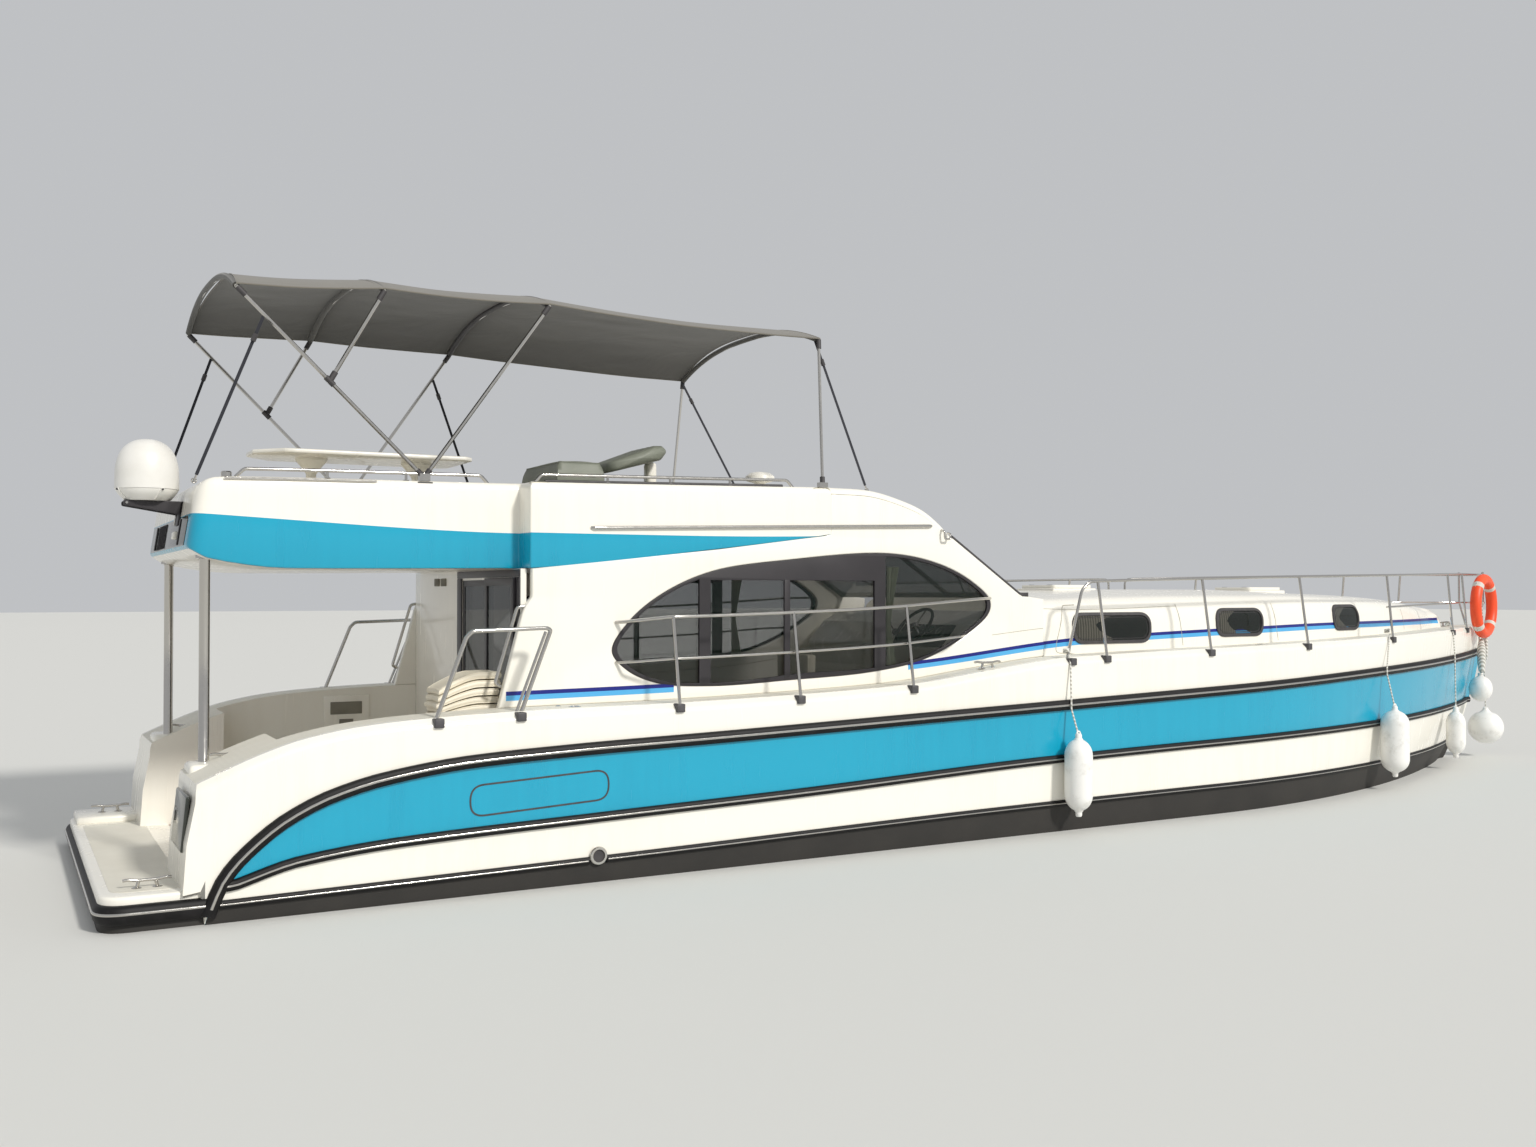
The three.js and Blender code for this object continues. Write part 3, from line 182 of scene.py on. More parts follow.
# Columns: height, or depth below the deck; half breadth; aft end; stem; fullness; rise of the run.
LOW_LEVELS = [
    (-0.55, 0.30, -6.86, 5.50, 1.5, 0.44), (-0.49, 1.08, -6.87, 5.90, 1.6, 0.40),
    (-0.32, 1.57, -6.88, 6.25, 1.7, 0.25), (-0.06, 1.65, -6.90, 6.60, 1.8, 0.02),
    (FLOOR, 1.675, -7.02, 6.83, 1.9, 0.0), (0.62, 1.69, -6.98, 7.13, 1.9, 0.0),
]
HIGH_LEVELS = [(0.18, 1.69, -6.96, 7.41, 1.9), (0.05, 1.69, -6.955, 7.44, 1.9), (0.0, 1.64, -6.945, 7.42, 1.9)]


def eased(table, x):
    """A smooth line through the rows of a table, which never swings past them."""
    xs = [row[0] for row in table]
    ys = [row[1] for row in table]
    if x <= xs[0]:
        return ys[0]
    if x >= xs[-1]:
        return ys[-1]
    i = max(k for k in range(len(xs) - 1) if xs[k] <= x)
    slopes = [(ys[k + 1] - ys[k]) / max(xs[k + 1] - xs[k], 1e-6) for k in range(len(xs) - 1)]

    def tangent(k):
        if k in (0, len(xs) - 1):
            return slopes[min(k, len(slopes) - 1)]
        a, b = slopes[k - 1], slopes[k]
        return 0 if a * b <= 0 else 2 * a * b / (a + b)

    span = max(xs[i + 1] - xs[i], 1e-6)
    t = (x - xs[i]) / span
    return ((2 * t ** 3 - 3 * t * t + 1) * ys[i] + (t ** 3 - 2 * t * t + t) * tangent(i) * span
            + (3 * t * t - 2 * t ** 3) * ys[i + 1] + (t ** 3 - t * t) * tangent(i + 1) * span)


def deck_height(x):
    return eased(DECK_EDGE, x)


def hull_profile(x):
    """The hull's section at x, from the bottom up: height, half breadth, aft end and stem of each level."""
    deck = deck_height(x)
    run = max(0.0, (-4.4 - x) / 2.5)
    rows = []
    for z, half, aft, stem, fullness, rise in LOW_LEVELS:
        height = min(z, deck - 0.2 - (0.62 - z) * 0.3) + rise * run ** 1.4
        rows.append((height, half, aft, stem, fullness))
    for below, half, aft, stem, fullness in HIGH_LEVELS:
        rows.append((deck - below, half, aft, stem, fullness))
    section = []
    for height, half, aft, stem, fullness in rows:
        t = min(max((x - BOW_START) / (stem - BOW_START), 0.0), 1.0)
        section.append((height, max(half * (1 - t ** fullness), 0.025), aft, stem))
    return section


def side_at(x, z):
    """Half breadth of the hull at a place and a height."""
    return eased([(row[0], row[1]) for row in hull_profile(x)], z)


def stem_at(line):
    """Where a line, whose height is a function of x, meets the stem."""
    x = 7.0
    for _ in range(12):
        x = eased([(row[0], row[3]) for row in hull_profile(x)], line(x))
    return x


# The joint of hull and deck moulding sweeps up from the stern and then follows the sheer.
UPPER_RAIL = [
    (-6.93, -0.10), (-6.885, 0.05), (-6.8, 0.255), (-6.654, 0.42), (-6.449, 0.575), (-6.2, 0.69), (-5.874, 0.775),
    (-5.353, 0.843), (-4.65, 0.878), (-3.63, 0.907), (-1.58, 0.972), (-0.1, 1.018), (1.61, 1.072), (3.7, 1.138),
    (5.3, 1.172), (7.44, 1.215),
]
LOWER_RAIL = [
    (-6.75, 0.215), (-6.38, 0.32), (-5.8, 0.38), (-4.5, 0.43), (-3.0, 0.48), (-0.6, 0.58), (2.6, 0.635),
    (7.16, 0.655),
]
BOOT_RAIL = [(-6.8, 0.11), (-4.5, 0.15), (-0.6, 0.225), (3.0, 0.245), (6.85, 0.215)]


def upper_line(x):
    return eased(UPPER_RAIL, x)


def lower_line(x):
    return min(eased(LOWER_RAIL, x), upper_line(x) - 0.002)


def boot_line(x):
    return min(eased(BOOT_RAIL, x), upper_line(x) - 0.004)


arc_stations = [-4.9 - 2.0 * math.cos(turn) for turn in np.linspace(0.0, 1.5, 26)]
STATIONS = ([TRANSOM, -6.925] + arc_stations + list(np.linspace(-4.6, BOW_START, 34))
            + list(BOW_START + (BOW_END - BOW_START) * np.linspace(0, 1, 60)[1:] ** 0.85))


def hull_row(height, drop=0.0):
    """Points of one side along a line whose height is a function of x, or a depth below that line."""
    stem = stem_at(lambda x: height(x) - drop)
    aft = eased([(row[0], row[2]) for row in hull_profile(TRANSOM)], height(TRANSOM) - drop)
    points = []
    for station in STATIONS:
        x = station
        if station > BOW_START:
            x = BOW_START + (station - BOW_START) * (stem - BOW_START) / (BOW_END - BOW_START)
        z = height(x) - drop
        half = side_at(x, z)
        points.append(Vector((aft if station == STATIONS[0] else x, -half, z)))
    return points


def flipped(p):
    """The same place on the other side of the boat."""
    return Vector((p[0], -p[1], p[2]))


def lofted(rings, finish=0, closed=False):
    """A skin over rings with the same number of points, capped at both ends. A closed loft joins its
    last ring to the first instead. Returns points, faces and a finish, as every shape here does."""
    n = len(rings[0])
    faces = []
    for r in range(len(rings) - (0 if closed else 1)):
        s = (r + 1) % len(rings)
        faces += [(r * n + k, r * n + (k + 1) % n, s * n + (k + 1) % n, s * n + k) for k in range(n)]
    if not closed:
        last = (len(rings) - 1) * n
        faces += [tuple(range(n))[::-1], tuple(last + k for k in range(n))]
    return [p for ring in rings for p in ring], faces, finish


def ringed(rows, faces_of, cap_low, cap_high):
    """A closed skin over rows of one side and their mirror images, with a finish for each row of faces."""
    points, faces, _ = lofted([row + [flipped(p) for p in reversed(row)] for row in rows])
    size = 2 * len(rows[0])
    faces = faces[:-2]
    finishes = [faces_of[r] for r in range(len(rows) - 1) for _ in range(size)]
    top = (len(rows) - 1) * size
    for k in range(len(rows[0]) - 1):
        low = (k, k + 1, size - 2 - k, size - 1 - k)
        faces += [low[::-1], tuple(top + i for i in low)]
        finishes += [cap_low, cap_high]
    return points, faces, finishes


def make(name, shapes, materials, body="boat", replaces=(), sharp=35):
    """One object out of (points, faces, finishes) shapes. finishes is one number, or one for each face."""
    points, faces, finishes = [], [], []
    for shape_points, shape_faces, shape_finishes in shapes:
        start = len(points)
        points += [tuple(p) for p in shape_points]
        faces += [tuple(start + i for i in face) for face in shape_faces]
        if isinstance(shape_finishes, int):
            shape_finishes = [shape_finishes] * len(shape_faces)
        finishes += shape_finishes
    mesh = bpy.data.meshes.new(name)
    mesh.from_pydata(points, [], faces)
    for material in materials:
        mesh.materials.append(material)
    mesh.polygons.foreach_set("material_index", finishes)
    tidy = bmesh.new()
    tidy.from_mesh(mesh)
    bmesh.ops.recalc_face_normals(tidy, faces=tidy.faces)
    tidy.to_mesh(mesh)
    tidy.free()
    mesh.shade_smooth()
    mesh.set_sharp_from_angle(angle=math.radians(sharp))
    piece = bpy.data.objects.new(name, mesh)
    bpy.context.scene.collection.objects.link(piece)
    if body:
        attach(piece, body)
    if replaces:
        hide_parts(*replaces)
    return piece


def rounded_box(low, high, edge, finish=0, segments=3):
    """A block with rounded edges between its lowest and highest corner."""
    block = bmesh.new()
    bmesh.ops.create_cube(block, size=1)
    low, high = Vector(low), Vector(high)
    for v in block.verts:
        v.co = Vector((low[i] + high[i]) / 2 + v.co[i] * (high[i] - low[i]) for i in range(3))
    if edge:
        bmesh.ops.bevel(block, geom=block.edges[:], offset=edge, segments=segments, profile=0.5,
                        affect="EDGES", clamp_overlap=True)
    points = [v.co.copy() for v in block.verts]
    faces = [tuple(v.index for v in f.verts) for f in block.faces]
    block.free()
    return points, faces, finish


def carved(piece, shapes, material):
    """Cuts shapes out of a piece for good. The cut faces take the given material."""
    for shape in shapes:
        tool = make("cutter", [shape], [material], body=None, sharp=30)
        cut = piece.modifiers.new("cut", "BOOLEAN")
        cut.operation = "DIFFERENCE"
        cut.solver = "MANIFOLD"
        cut.object = tool
        cut.material_mode = "TRANSFER"
        bpy.context.view_layer.update()
        view = bpy.context.evaluated_depsgraph_get()
        mesh = bpy.data.meshes.new_from_object(piece.evaluated_get(view), depsgraph=view)
        piece.modifiers.clear()
        piece.data = mesh
        bpy.data.objects.remove(tool)
    piece.data.shade_smooth()
    piece.data.set_sharp_from_angle(angle=math.radians(35))
    return piece


# The floor inside is laid with boards of varnished wood, 120 mm wide, with dark seams between them.
sole_boards, tree, shader = new_material("varnished_sole_boards", "#8a6544", roughness=0.35, ior=1.5)
place = node(tree, "ShaderNodeTexCoord")
boards = node(tree, "ShaderNodeTexBrick",
              {"Scale": 1.0, "Brick Width": 1.6, "Row Height": 0.12, "Mortar Size": 0.004,
               "Color1": linear("#8f6a48"), "Color2": linear("#7c5738"), "Mortar": linear("#2a1c12")},
              {"Vector": (place, "Object")})
tree.links.new(boards.outputs["Color"], shader.inputs["Base Color"])


def between(low, high, share):
    return hull_row(lambda x: low(x) + share * (high(x) - low(x)))


# The rows of the skin from the keel up. The first five bands of faces are antifouling, the next three
# white and the last four teal.
hull_rows = [hull_row(lambda x, k=k: min(hull_profile(x)[k][0], upper_line(x) - 0.006 + 0.001 * k))
             for k in range(4)]
hull_rows += [hull_row(lambda x: min(0.03, boot_line(x) - 0.002)), hull_row(boot_line)]
hull_rows += [between(boot_line, lower_line, share) for share in (0.33, 0.67)] + [hull_row(lower_line)]
hull_rows += [between(lower_line, upper_line, share) for share in (0.25, 0.5, 0.75)] + [hull_row(upper_line)]
hull = make("hull_skin", [ringed(hull_rows, [0] * 5 + [1] * 3 + [2] * 4, 0, 1)],
            [antifouling, white_gelcoat, teal_gelcoat], replaces=["hull"])
WELL_HALF, PASSAGE_HALF = 1.3, 0.88
well_shapes = [rounded_box((-6.45, -WELL_HALF, FLOOR), (-0.76, WELL_HALF, 3.0), 0),
               rounded_box((-7.2, -PASSAGE_HALF, FLOOR - 0.0001), (-6.44, PASSAGE_HALF, 3.01), 0)]
pit_shape = rounded_box((-5.8, -0.38, -0.25), (-5.05, 0.38, 0.25), 0)
carved(hull, well_shapes, sole_boards)
carved(hull, [pit_shape], white_gelcoat)
boards_slot = hull.data.materials.find("varnished_sole_boards")
for face in hull.data.polygons:
    if face.material_index == boards_slot and face.normal.z < 0.5:
        face.material_index = 1


def heading(path, i):
    """The direction of an open path at one of its points."""
    return (path[min(i + 1, len(path) - 1)] - path[max(i - 1, 0)]).normalized()


def round_angles(count):
    return np.linspace(0, 2 * math.pi, count, endpoint=False)


def tube(path, radius, finish=0, sides=14, bend=0.0):
    """A round tube through the points, its corners bent to the given radius."""
    path = [Vector(p) for p in path]
    line = [path[0]]
    for i in range(1, len(path) - 1):
        before, here, after = path[i - 1], path[i], path[i + 1]
        arrive, leave = (here - before), (after - here)
        turn = arrive.angle(leave, 0)
        if bend and turn > 0.08:
            reach = min(bend * math.tan(turn / 2), 0.45 * arrive.length, 0.45 * leave.length)
            start, end = here - arrive.normalized() * reach, here + leave.normalized() * reach
            steps = max(3, int(turn / 0.16))
            line += [start.lerp(here, t).lerp(here.lerp(end, t), t) for t in np.linspace(0, 1, steps)]
        else:
            line.append(here)
    line.append(path[-1])
    rings, across = [], None
    for i, p in enumerate(line):
        tangent = heading(line, i)
        if across is None:
            seed = Vector((1, 0, 0)) if abs(tangent.z) > 0.9 else Vector((0, 0, 1))
            across = tangent.cross(seed).normalized()
        else:
            across = (across - tangent * across.dot(tangent)).normalized()
        second = tangent.cross(across)
        rings.append([p + across * math.cos(a) * radius + second * math.sin(a) * radius
                      for a in round_angles(sides)])
    return lofted(rings, finish)


def turned(profile, centre, finish=0, axis="z", sides=40):
    """A turned shape from (radius, height) rows about an axis, moved to its centre."""
    rings = []
    for radius, height in profile:
        ring = []
        for angle in round_angles(sides):
            u, v = max(radius, 1e-5) * math.cos(angle), max(radius, 1e-5) * math.sin(angle)
            local = {"z": (u, v, height), "x": (height, u, v), "y": (u, height, v)}[axis]
            ring.append(Vector(centre) + Vector(local))
        rings.append(ring)
    return lofted(rings, finish)


# The fin of the keel, the stern tube with its shaft and the rudder's gland are bonded to the hull and
# coated with it. The seat lockers of the cockpit are moulded with the hull and show from astern.
FIN_HALF = 0.045
FIN_LINE = [(5.2, -0.5), (4.3, -0.8), (-5.7, -0.8), (-5.9, -0.74), (-5.9, -0.3), (-5.5, -0.3)]
make("keel_and_shaft", [
    lofted([[Vector((x, y, z)) for x, z in FIN_LINE] for y in (-FIN_HALF, FIN_HALF)]),
    turned([(0.0, -6.14), (0.04, -6.14), (0.052, -5.89), (0.0, -5.89)], (0, 0, -0.5), 0, "x"),
    turned([(0.0, -0.21), (0.038, -0.21), (0.038, -0.1), (0.0, -0.1)], (-6.62, 0, 0)),
], [antifouling])
# Gelcoat deep inside a locker or behind a grille, where little light reaches it.
niche_dark = finished("shaded_locker_inside", "#7b786e", ("#6f6c62", "#918d80"),
                      ("Noise", {"Scale": 8.0, "Detail": 5.0}), roughness=0.7, ior=1.5)
make("cockpit_lockers", [
    rounded_box((-5.95, -1.3, 0.19), (-4.94, -0.86, 0.94), 0.02),
    rounded_box((-6.3, 0.9, 0.19), (-4.94, 1.3, 0.64), 0.02),
    rounded_box((-5.64, 1.286, 0.72), (-5.28, 1.306, 1.07), 0.008),
    rounded_box((-5.59, 1.28, 0.92), (-5.34, 1.288, 1.02), 0.004, 1),
    rounded_box((-5.52, 1.28, 0.835), (-5.41, 1.288, 0.88), 0.004, 1),
    rounded_box((-6.93, -1.18, 0.7), (-6.6, -0.885, 0.858), 0.03),
    rounded_box((-6.93, 0.885, 0.7), (-6.6, 1.18, 0.858), 0.03),
], [white_gelcoat, niche_dark])

# The deck moulding: white gelcoat, bonded to the hull under the upper rub rail. Its walking surface is
# moulded with a fine non-slip diamond and is a touch greyer than the polished parts.
nonslip, tree, shader = new_material("moulded_nonslip_deck", "#e6e3d8", roughness=0.6, ior=1.5)
place = node(tree, "ShaderNodeTexCoord")
turn_space = node(tree, "ShaderNodeMapping", {"Rotation": (0, 0, math.radians(45))}, {"Vector": (place, "Object")})
# The real diamonds are 6 mm wide. They are drawn at 14 mm so that they show.
diamonds = node(tree, "ShaderNodeTexVoronoi", {"Scale": 70.0, "Randomness": 0.0}, {"Vector": (turn_space, "Vector")})
bump = node(tree, "ShaderNodeBump", {"Strength": 0.5, "Distance": 0.003}, {"Height": (diamonds, "Distance")})
tree.links.new(bump.outputs["Normal"], shader.inputs["Normal"])
dirt = node(tree, "ShaderNodeTexNoise", {"Scale": 3.0, "Detail": 6.0}, {"Vector": (place, "Object")})
mixed = node(tree, "ShaderNodeMix", {"data_type": "RGBA", 6: linear("#eae7dc"), 7: linear("#d6d2c4")},
             {0: (dirt, "Fac")})
tree.links.new(mixed.outputs[2], shader.inputs["Base Color"])

JOINT_GAP = 0.001
deck_rows = [hull_row(lambda x, s=share: upper_line(x) + JOINT_GAP + s * (deck_height(x) - 0.1 - upper_line(x)))
             for share in (0, 0.35, 0.7)]
deck_rows += [hull_row(deck_height, below) for below in (0.1, 0.06, 0.045, 0.032, 0.02, 0.01, 0.003, 0.0)]
inner_row = [Vector((p.x, -max(abs(p.y) - 0.05, 0.008), p.z)) for p in deck_rows[-1]]
deck = make("deck_shell", [ringed(deck_rows + [inner_row], [0] * len(deck_rows), 0, 1)],
            [white_gelcoat, nonslip], replaces=["deck_moulding"])
carved(deck, well_shapes, white_gelcoat)

# The rub rails: extruded black rubber, bent round the hull and screwed on. Each carries a half-round
# strip of stainless steel in its middle.
rail_rubber = finished("extruded_rail_rubber", "#151316", ("#0a090a", "#2c292b"),
                       ("Noise", {"Scale": 9.0, "Detail": 8.0, "Roughness": 0.65}),
                       spread={"From Min": 0.5, "From Max": 0.75, "To Max": 0.5}, gloss=(0.42, 0.65),
                       roughness=0.5, ior=1.52, specular_ior_level=0.3)
# Stainless tube and strip are polished bright, with rub marks that change how sharply they mirror.
stainless = finished("polished_stainless_steel", "#c3c0bb", None, ("Noise", {"Scale": 30.0, "Detail": 5.0}),
                     gloss=(0.1, 0.26), roughness=0.16, metallic=1.0)


def side_rail(line, section, ends):
    """Sweeps a section of (out, up) points along a line of the hull, round the stem if it has no fore end."""
    fore = stem_at(line) if ends[1] is None else ends[1]
    xs = [x for x in STATIONS if ends[0] + 0.02 < x < min(fore, 7.0) - 0.02]
    xs = [ends[0]] + xs + (list(np.linspace(max(xs[-1] + 0.03, 6.8), fore, 10)) if ends[1] is None else [fore])
    path = [Vector((x, -side_at(x, line(x)), line(x))) for x in xs]
    starboard = []
    for i, p in enumerate(path):
        tangent = heading(path, i)
        flat = math.hypot(tangent.x, tangent.y)
        out = Vector((tangent.y / flat, -tangent.x / flat, 0)) if p.x > BOW_START else Vector((0, -1, 0))
        starboard.append((p, out, out.cross(tangent).normalized()))
    port = [tuple(flipped(v) for v in place) for place in reversed(starboard)]
    if ends[1] is None:
        tip, out, _ = starboard[-1]
        nose = []
        for t in (0.25, 0.5, 0.75):
            turn = math.atan2(out.y, out.x) * (1 - 2 * t)
            nose.append((Vector((tip.x + 0.004, tip.y * (1 - 2 * t), tip.z)),
                         Vector((math.cos(turn), math.sin(turn), 0)), Vector((0, 0, 1))))
        runs = [starboard + nose + port]
    else:
        runs = [starboard, port]
    return [lofted([[p + out * u + up * v for u, v in section] for p, out, up in run]) for run in runs]


def d_section(height, proud):
    """A D section with its back in the hull's skin: (out, up) points."""
    curve = [(proud * (0.35 + 0.65 * math.cos(a)), 0.5 * height * math.sin(a)) for a in np.linspace(-1.25, 1.25, 9)]
    return [(-0.012, -0.47 * height), (0.1 * proud, -0.5 * height)] + curve + [
        (0.1 * proud, 0.5 * height), (-0.012, 0.47 * height)]


def strip_section(reach, half):
    """The half-round strip: its place out from the hull and half its height."""
    return [(reach + 0.6 * half * math.cos(a), half * math.sin(a)) for a in np.linspace(-1.57, 1.57, 7)]


make("rub_rail_upper_rubber", side_rail(upper_line, d_section(0.084, 0.04), ends=(-6.885, None)), [rail_rubber],
     replaces=["rub_rail_upper"])
make("rub_rail_lower_rubber", side_rail(lower_line, d_section(0.064, 0.031), ends=(-6.82, None)), [rail_rubber],
     replaces=["rub_rail_lower"])
make("boot_rail_rubber", side_rail(boot_line, d_section(0.05, 0.021), ends=(-4.44, None))
     + side_rail(boot_line, d_section(0.05, 0.021), ends=(-6.86, -4.56)), [rail_rubber],
     replaces=["boot_rail"])
make("rail_strips", side_rail(upper_line, strip_section(0.037, 0.009), ends=(-6.87, None))
     + side_rail(lower_line, strip_section(0.028, 0.007), ends=(-6.8, None))
     + side_rail(boot_line, strip_section(0.019, 0.005), ends=(-4.43, None))
     + side_rail(boot_line, strip_section(0.019, 0.005), ends=(-6.85, -4.57)), [stainless])


# The bathing platform: a white moulding bolted behind the transom, with a non-slip floor, a low ledge
# along its port side and a black rubber rail round its edge.
def rounded_line(corners, radius, steps=6):
    """A closed outline with its corners rounded. A corner may carry its own radius as a third number."""
    line = []
    count = len(corners)
    for i, corner in enumerate(corners):
        here = Vector(corner[:2])
        before, after = Vector(corners[i - 1][:2]), Vector(corners[(i + 1) % count][:2])
        size = corner[2] if len(corner) > 2 else radius
        arrive, leave = here - before, after - here
        turn = abs(arrive.angle_signed(leave, 0))
        if not size or turn < 0.03:
            line.append(tuple(here))
            continue
        reach = min(size * math.tan(turn / 2), 0.48 * arrive.length, 0.48 * leave.length)
        start, end = here - arrive.normalized() * reach, here + leave.normalized() * reach
        line += [tuple(start.lerp(here, t).lerp(here.lerp(end, t), t)) for t in np.linspace(0, 1, steps)]
    return line


def plate(outlines, plane, low, high, edge=0.0, finish=0):
    """A flat plate between two places along its normal, with rounded edges. Inner outlines are holes.
    plane is xz for a side view, xy for a plan and yz for a cross section."""
    curve = bpy.data.curves.new("plate", "CURVE")
    curve.dimensions = "2D"
    curve.fill_mode = "BOTH"
    curve.extrude = max((high - low) / 2 - edge, 0)
    curve.bevel_depth = edge
    curve.bevel_resolution = 2 if edge else 0
    curve.offset = -edge
    for outline in outlines:
        spline = curve.splines.new("POLY")
        spline.points.add(len(outline) - 1)
        spline.points.foreach_set("co", [c for a, b in outline for c in (a, b, 0.0, 1.0)])
        spline.use_cyclic_u = True
    holder = bpy.data.objects.new("plate", curve)
    bpy.context.scene.collection.objects.link(holder)
    view = bpy.context.evaluated_depsgraph_get()
    mesh = bpy.data.meshes.new_from_object(holder.evaluated_get(view), depsgraph=view)
    middle = (low + high) / 2
    points = []
    for v in mesh.vertices:
        a, b, c = v.co
        points.append({"xz": (a, middle + c, b), "xy": (a, b, middle + c), "yz": (middle + c, a, b)}[plane])
    faces = [tuple(p.vertices) for p in mesh.polygons]
    bpy.data.objects.remove(holder)
    bpy.data.curves.remove(curve)
    welded = bmesh.new()
    verts = [welded.verts.new(p) for p in points]
    for face in faces:
        try:
            welded.faces.new([verts[i] for i in face])
        except ValueError:
            continue
    bmesh.ops.remove_doubles(welded, verts=welded.verts, dist=1e-5)
    welded.verts.index_update()
    shape = ([v.co.copy() for v in welded.verts], [tuple(v.index for v in f.verts) for f in welded.faces], finish)
    welded.free()
    return shape


def mirror(shape):
    points, faces, finish = shape
    return [flipped(p) for p in points], faces, finish


PLATFORM_HALF = 1.64
platform_line = rounded_line([(-6.87, -PLATFORM_HALF, 0), (-6.87, PLATFORM_HALF, 0),
                              (-7.446, PLATFORM_HALF), (-7.446, -PLATFORM_HALF)], 0.16, 10)
floor_line = rounded_line([(-6.98, -1.52), (-6.98, 1.1), (-7.38, 1.1), (-7.38, -1.52, 0.12)], 0.03)
make("platform_moulding", [
    plate([platform_line], "xy", 0.045, FLOOR, 0.018),
    # The lower slab, at the water under the rubber rail, takes the black antifouling as painted shade under the
    # platform's edge.
    plate([platform_line], "xy", -0.06, 0.05, 0.012, 2),
    plate([floor_line], "xy", FLOOR - 0.01, FLOOR + 0.002, 0, 1),
    rounded_box((-7.416, 1.18, 0.19), (-7.0, 1.62, FLOOR + 0.05), 0.02),
], [white_gelcoat, nonslip, antifouling], replaces=["swim_platform"])
RAIL_PROUD = 0.052


def platform_edge(proud, z):
    """The line round the platform at a distance out from its side."""
    half, aft = PLATFORM_HALF + proud, -7.423 - proud
    outer = rounded_line([(-6.86, -half, 0), (-6.86, half, 0), (aft, half), (aft, -half)], 0.18, 12)
    return [Vector((x, y, z)) for x, y in outer[1:] + outer[:1]]


def edge_rail(path, height, proud):
    """A D section rail along an open level path. The path is the rail's outermost line."""
    section = [(-proud, -0.5 * height)] + [
        (-0.6 * proud + 0.6 * proud * math.cos(a), 0.5 * height * math.sin(a)) for a in np.linspace(-1.5, 1.5, 9)
    ] + [(-proud, 0.5 * height)]
    rings = []
    for i, p in enumerate(path):
        tangent = heading(path, i)
        out = Vector((tangent.y, -tangent.x, 0)).normalized()
        rings.append([p + out * u + Vector((0, 0, v)) for u, v in section])
    return lofted(rings)


make("platform_rubber", [edge_rail(platform_edge(RAIL_PROUD, 0.1), 0.11, RAIL_PROUD)], [rail_rubber],
     replaces=["platform_rail"])
make("platform_strip", [edge_rail(platform_edge(RAIL_PROUD + 0.004, 0.112), 0.018, 0.012)], [stainless])


# The cabin sides: white glass fibre, each cut out for the eye-shaped saloon window. They stand on the
# side decks and run forward into the pillars of the windscreen.
def through(marks, closed=False, steps=8):
    """A smooth line through marks of two numbers, by Catmull and Rom's centripetal rule."""
    pts = [Vector(m) for m in marks]
    count = len(pts)
    line = []
    for i in range(count if closed else count - 1):
        if closed:
            p0, p1, p2, p3 = (pts[(i + k) % count] for k in (-1, 0, 1, 2))
        else:
            p1, p2 = pts[i], pts[i + 1]
            p0 = pts[i - 1] if i else p1 * 2 - p2
            p3 = pts[i + 2] if i + 2 < count else p2 * 2 - p1
        t0 = 0.0
        t1 = t0 + max((p1 - p0).length, 1e-6) ** 0.5
        t2 = t1 + max((p2 - p1).length, 1e-6) ** 0.5
        t3 = t2 + max((p3 - p2).length, 1e-6) ** 0.5
        for t in np.linspace(t1, t2, steps, endpoint=False):
            a1 = p0 * ((t1 - t) / (t1 - t0)) + p1 * ((t - t0) / (t1 - t0))
            a2 = p1 * ((t2 - t) / (t2 - t1)) + p2 * ((t - t1) / (t2 - t1))
            a3 = p2 * ((t3 - t) / (t3 - t2)) + p3 * ((t - t2) / (t3 - t2))
            b1 = a1 * ((t2 - t) / (t2 - t0)) + a2 * ((t - t0) / (t2 - t0))
            b2 = a2 * ((t3 - t) / (t3 - t1)) + a3 * ((t - t1) / (t3 - t1))
            line.append(tuple(b1 * ((t2 - t) / (t2 - t1)) + b2 * ((t - t1) / (t2 - t1))))
    if not closed:
        line.append(tuple(pts[-1]))
    return line


SIDE_OUT, SIDE_IN, CEILING = 1.36, 1.3, 2.06
ROOF_MARKS = [(-2.5, 2.69), (-2.13, 2.68), (-1.87, 2.625), (-1.64, 2.545), (-1.48, 2.44), (-1.37, 2.34)]
roof_line = through(ROOF_MARKS, steps=6)
ROOF_EDGE = 0.05
under_roof = [(x, z - ROOF_EDGE) for x, z in roof_line[:-2]]
cabin_foot = [(x, deck_height(x)) for x in np.linspace(-0.44, -5.07, 40)]
SIDE_TOP = [(-4.84, CEILING), (-3.44, 2.21), (-2.55, 2.325), (-2.5, 2.34)]
cabin_outline = ([(-5.07, deck_height(-5.07))] + rounded_line([(-5.05, 1.22), (-4.9, 1.79, 0.3), (-4.84, 1.87, 0.05),
                 (-4.84, CEILING, 0), (-4.7, 1.6, 0)], 0.0)[1:-2] + SIDE_TOP + under_roof
                 + [(-1.37, 2.34), (-0.66, 1.875), (-0.44, 1.85)] + cabin_foot[:-1])
EYE_MARKS = [
    (-4.266, 1.5), (-4.16, 1.37), (-3.925, 1.27), (-3.5, 1.236), (-2.87, 1.258), (-2.12, 1.3), (-1.64, 1.385),
    (-1.25, 1.56), (-1.01, 1.74), (-1.0, 1.84), (-1.2, 2.0), (-1.52, 2.13), (-1.98, 2.2), (-2.87, 2.14),
    (-3.5, 2.05), (-3.89, 1.89), (-4.14, 1.7),
]
EYE_MIDDLE = (-2.7, 1.72)
eye_line = through(EYE_MARKS, closed=True, steps=8)


def eye(inset):
    """The window's outline, drawn in towards its middle."""
    line = []
    for x, z in eye_line:
        dx, dz = x - EYE_MIDDLE[0], z - EYE_MIDDLE[1]
        reach = math.hypot(dx, dz)
        line.append((x - dx / reach * inset, z - dz / reach * inset * 1.1))
    return line


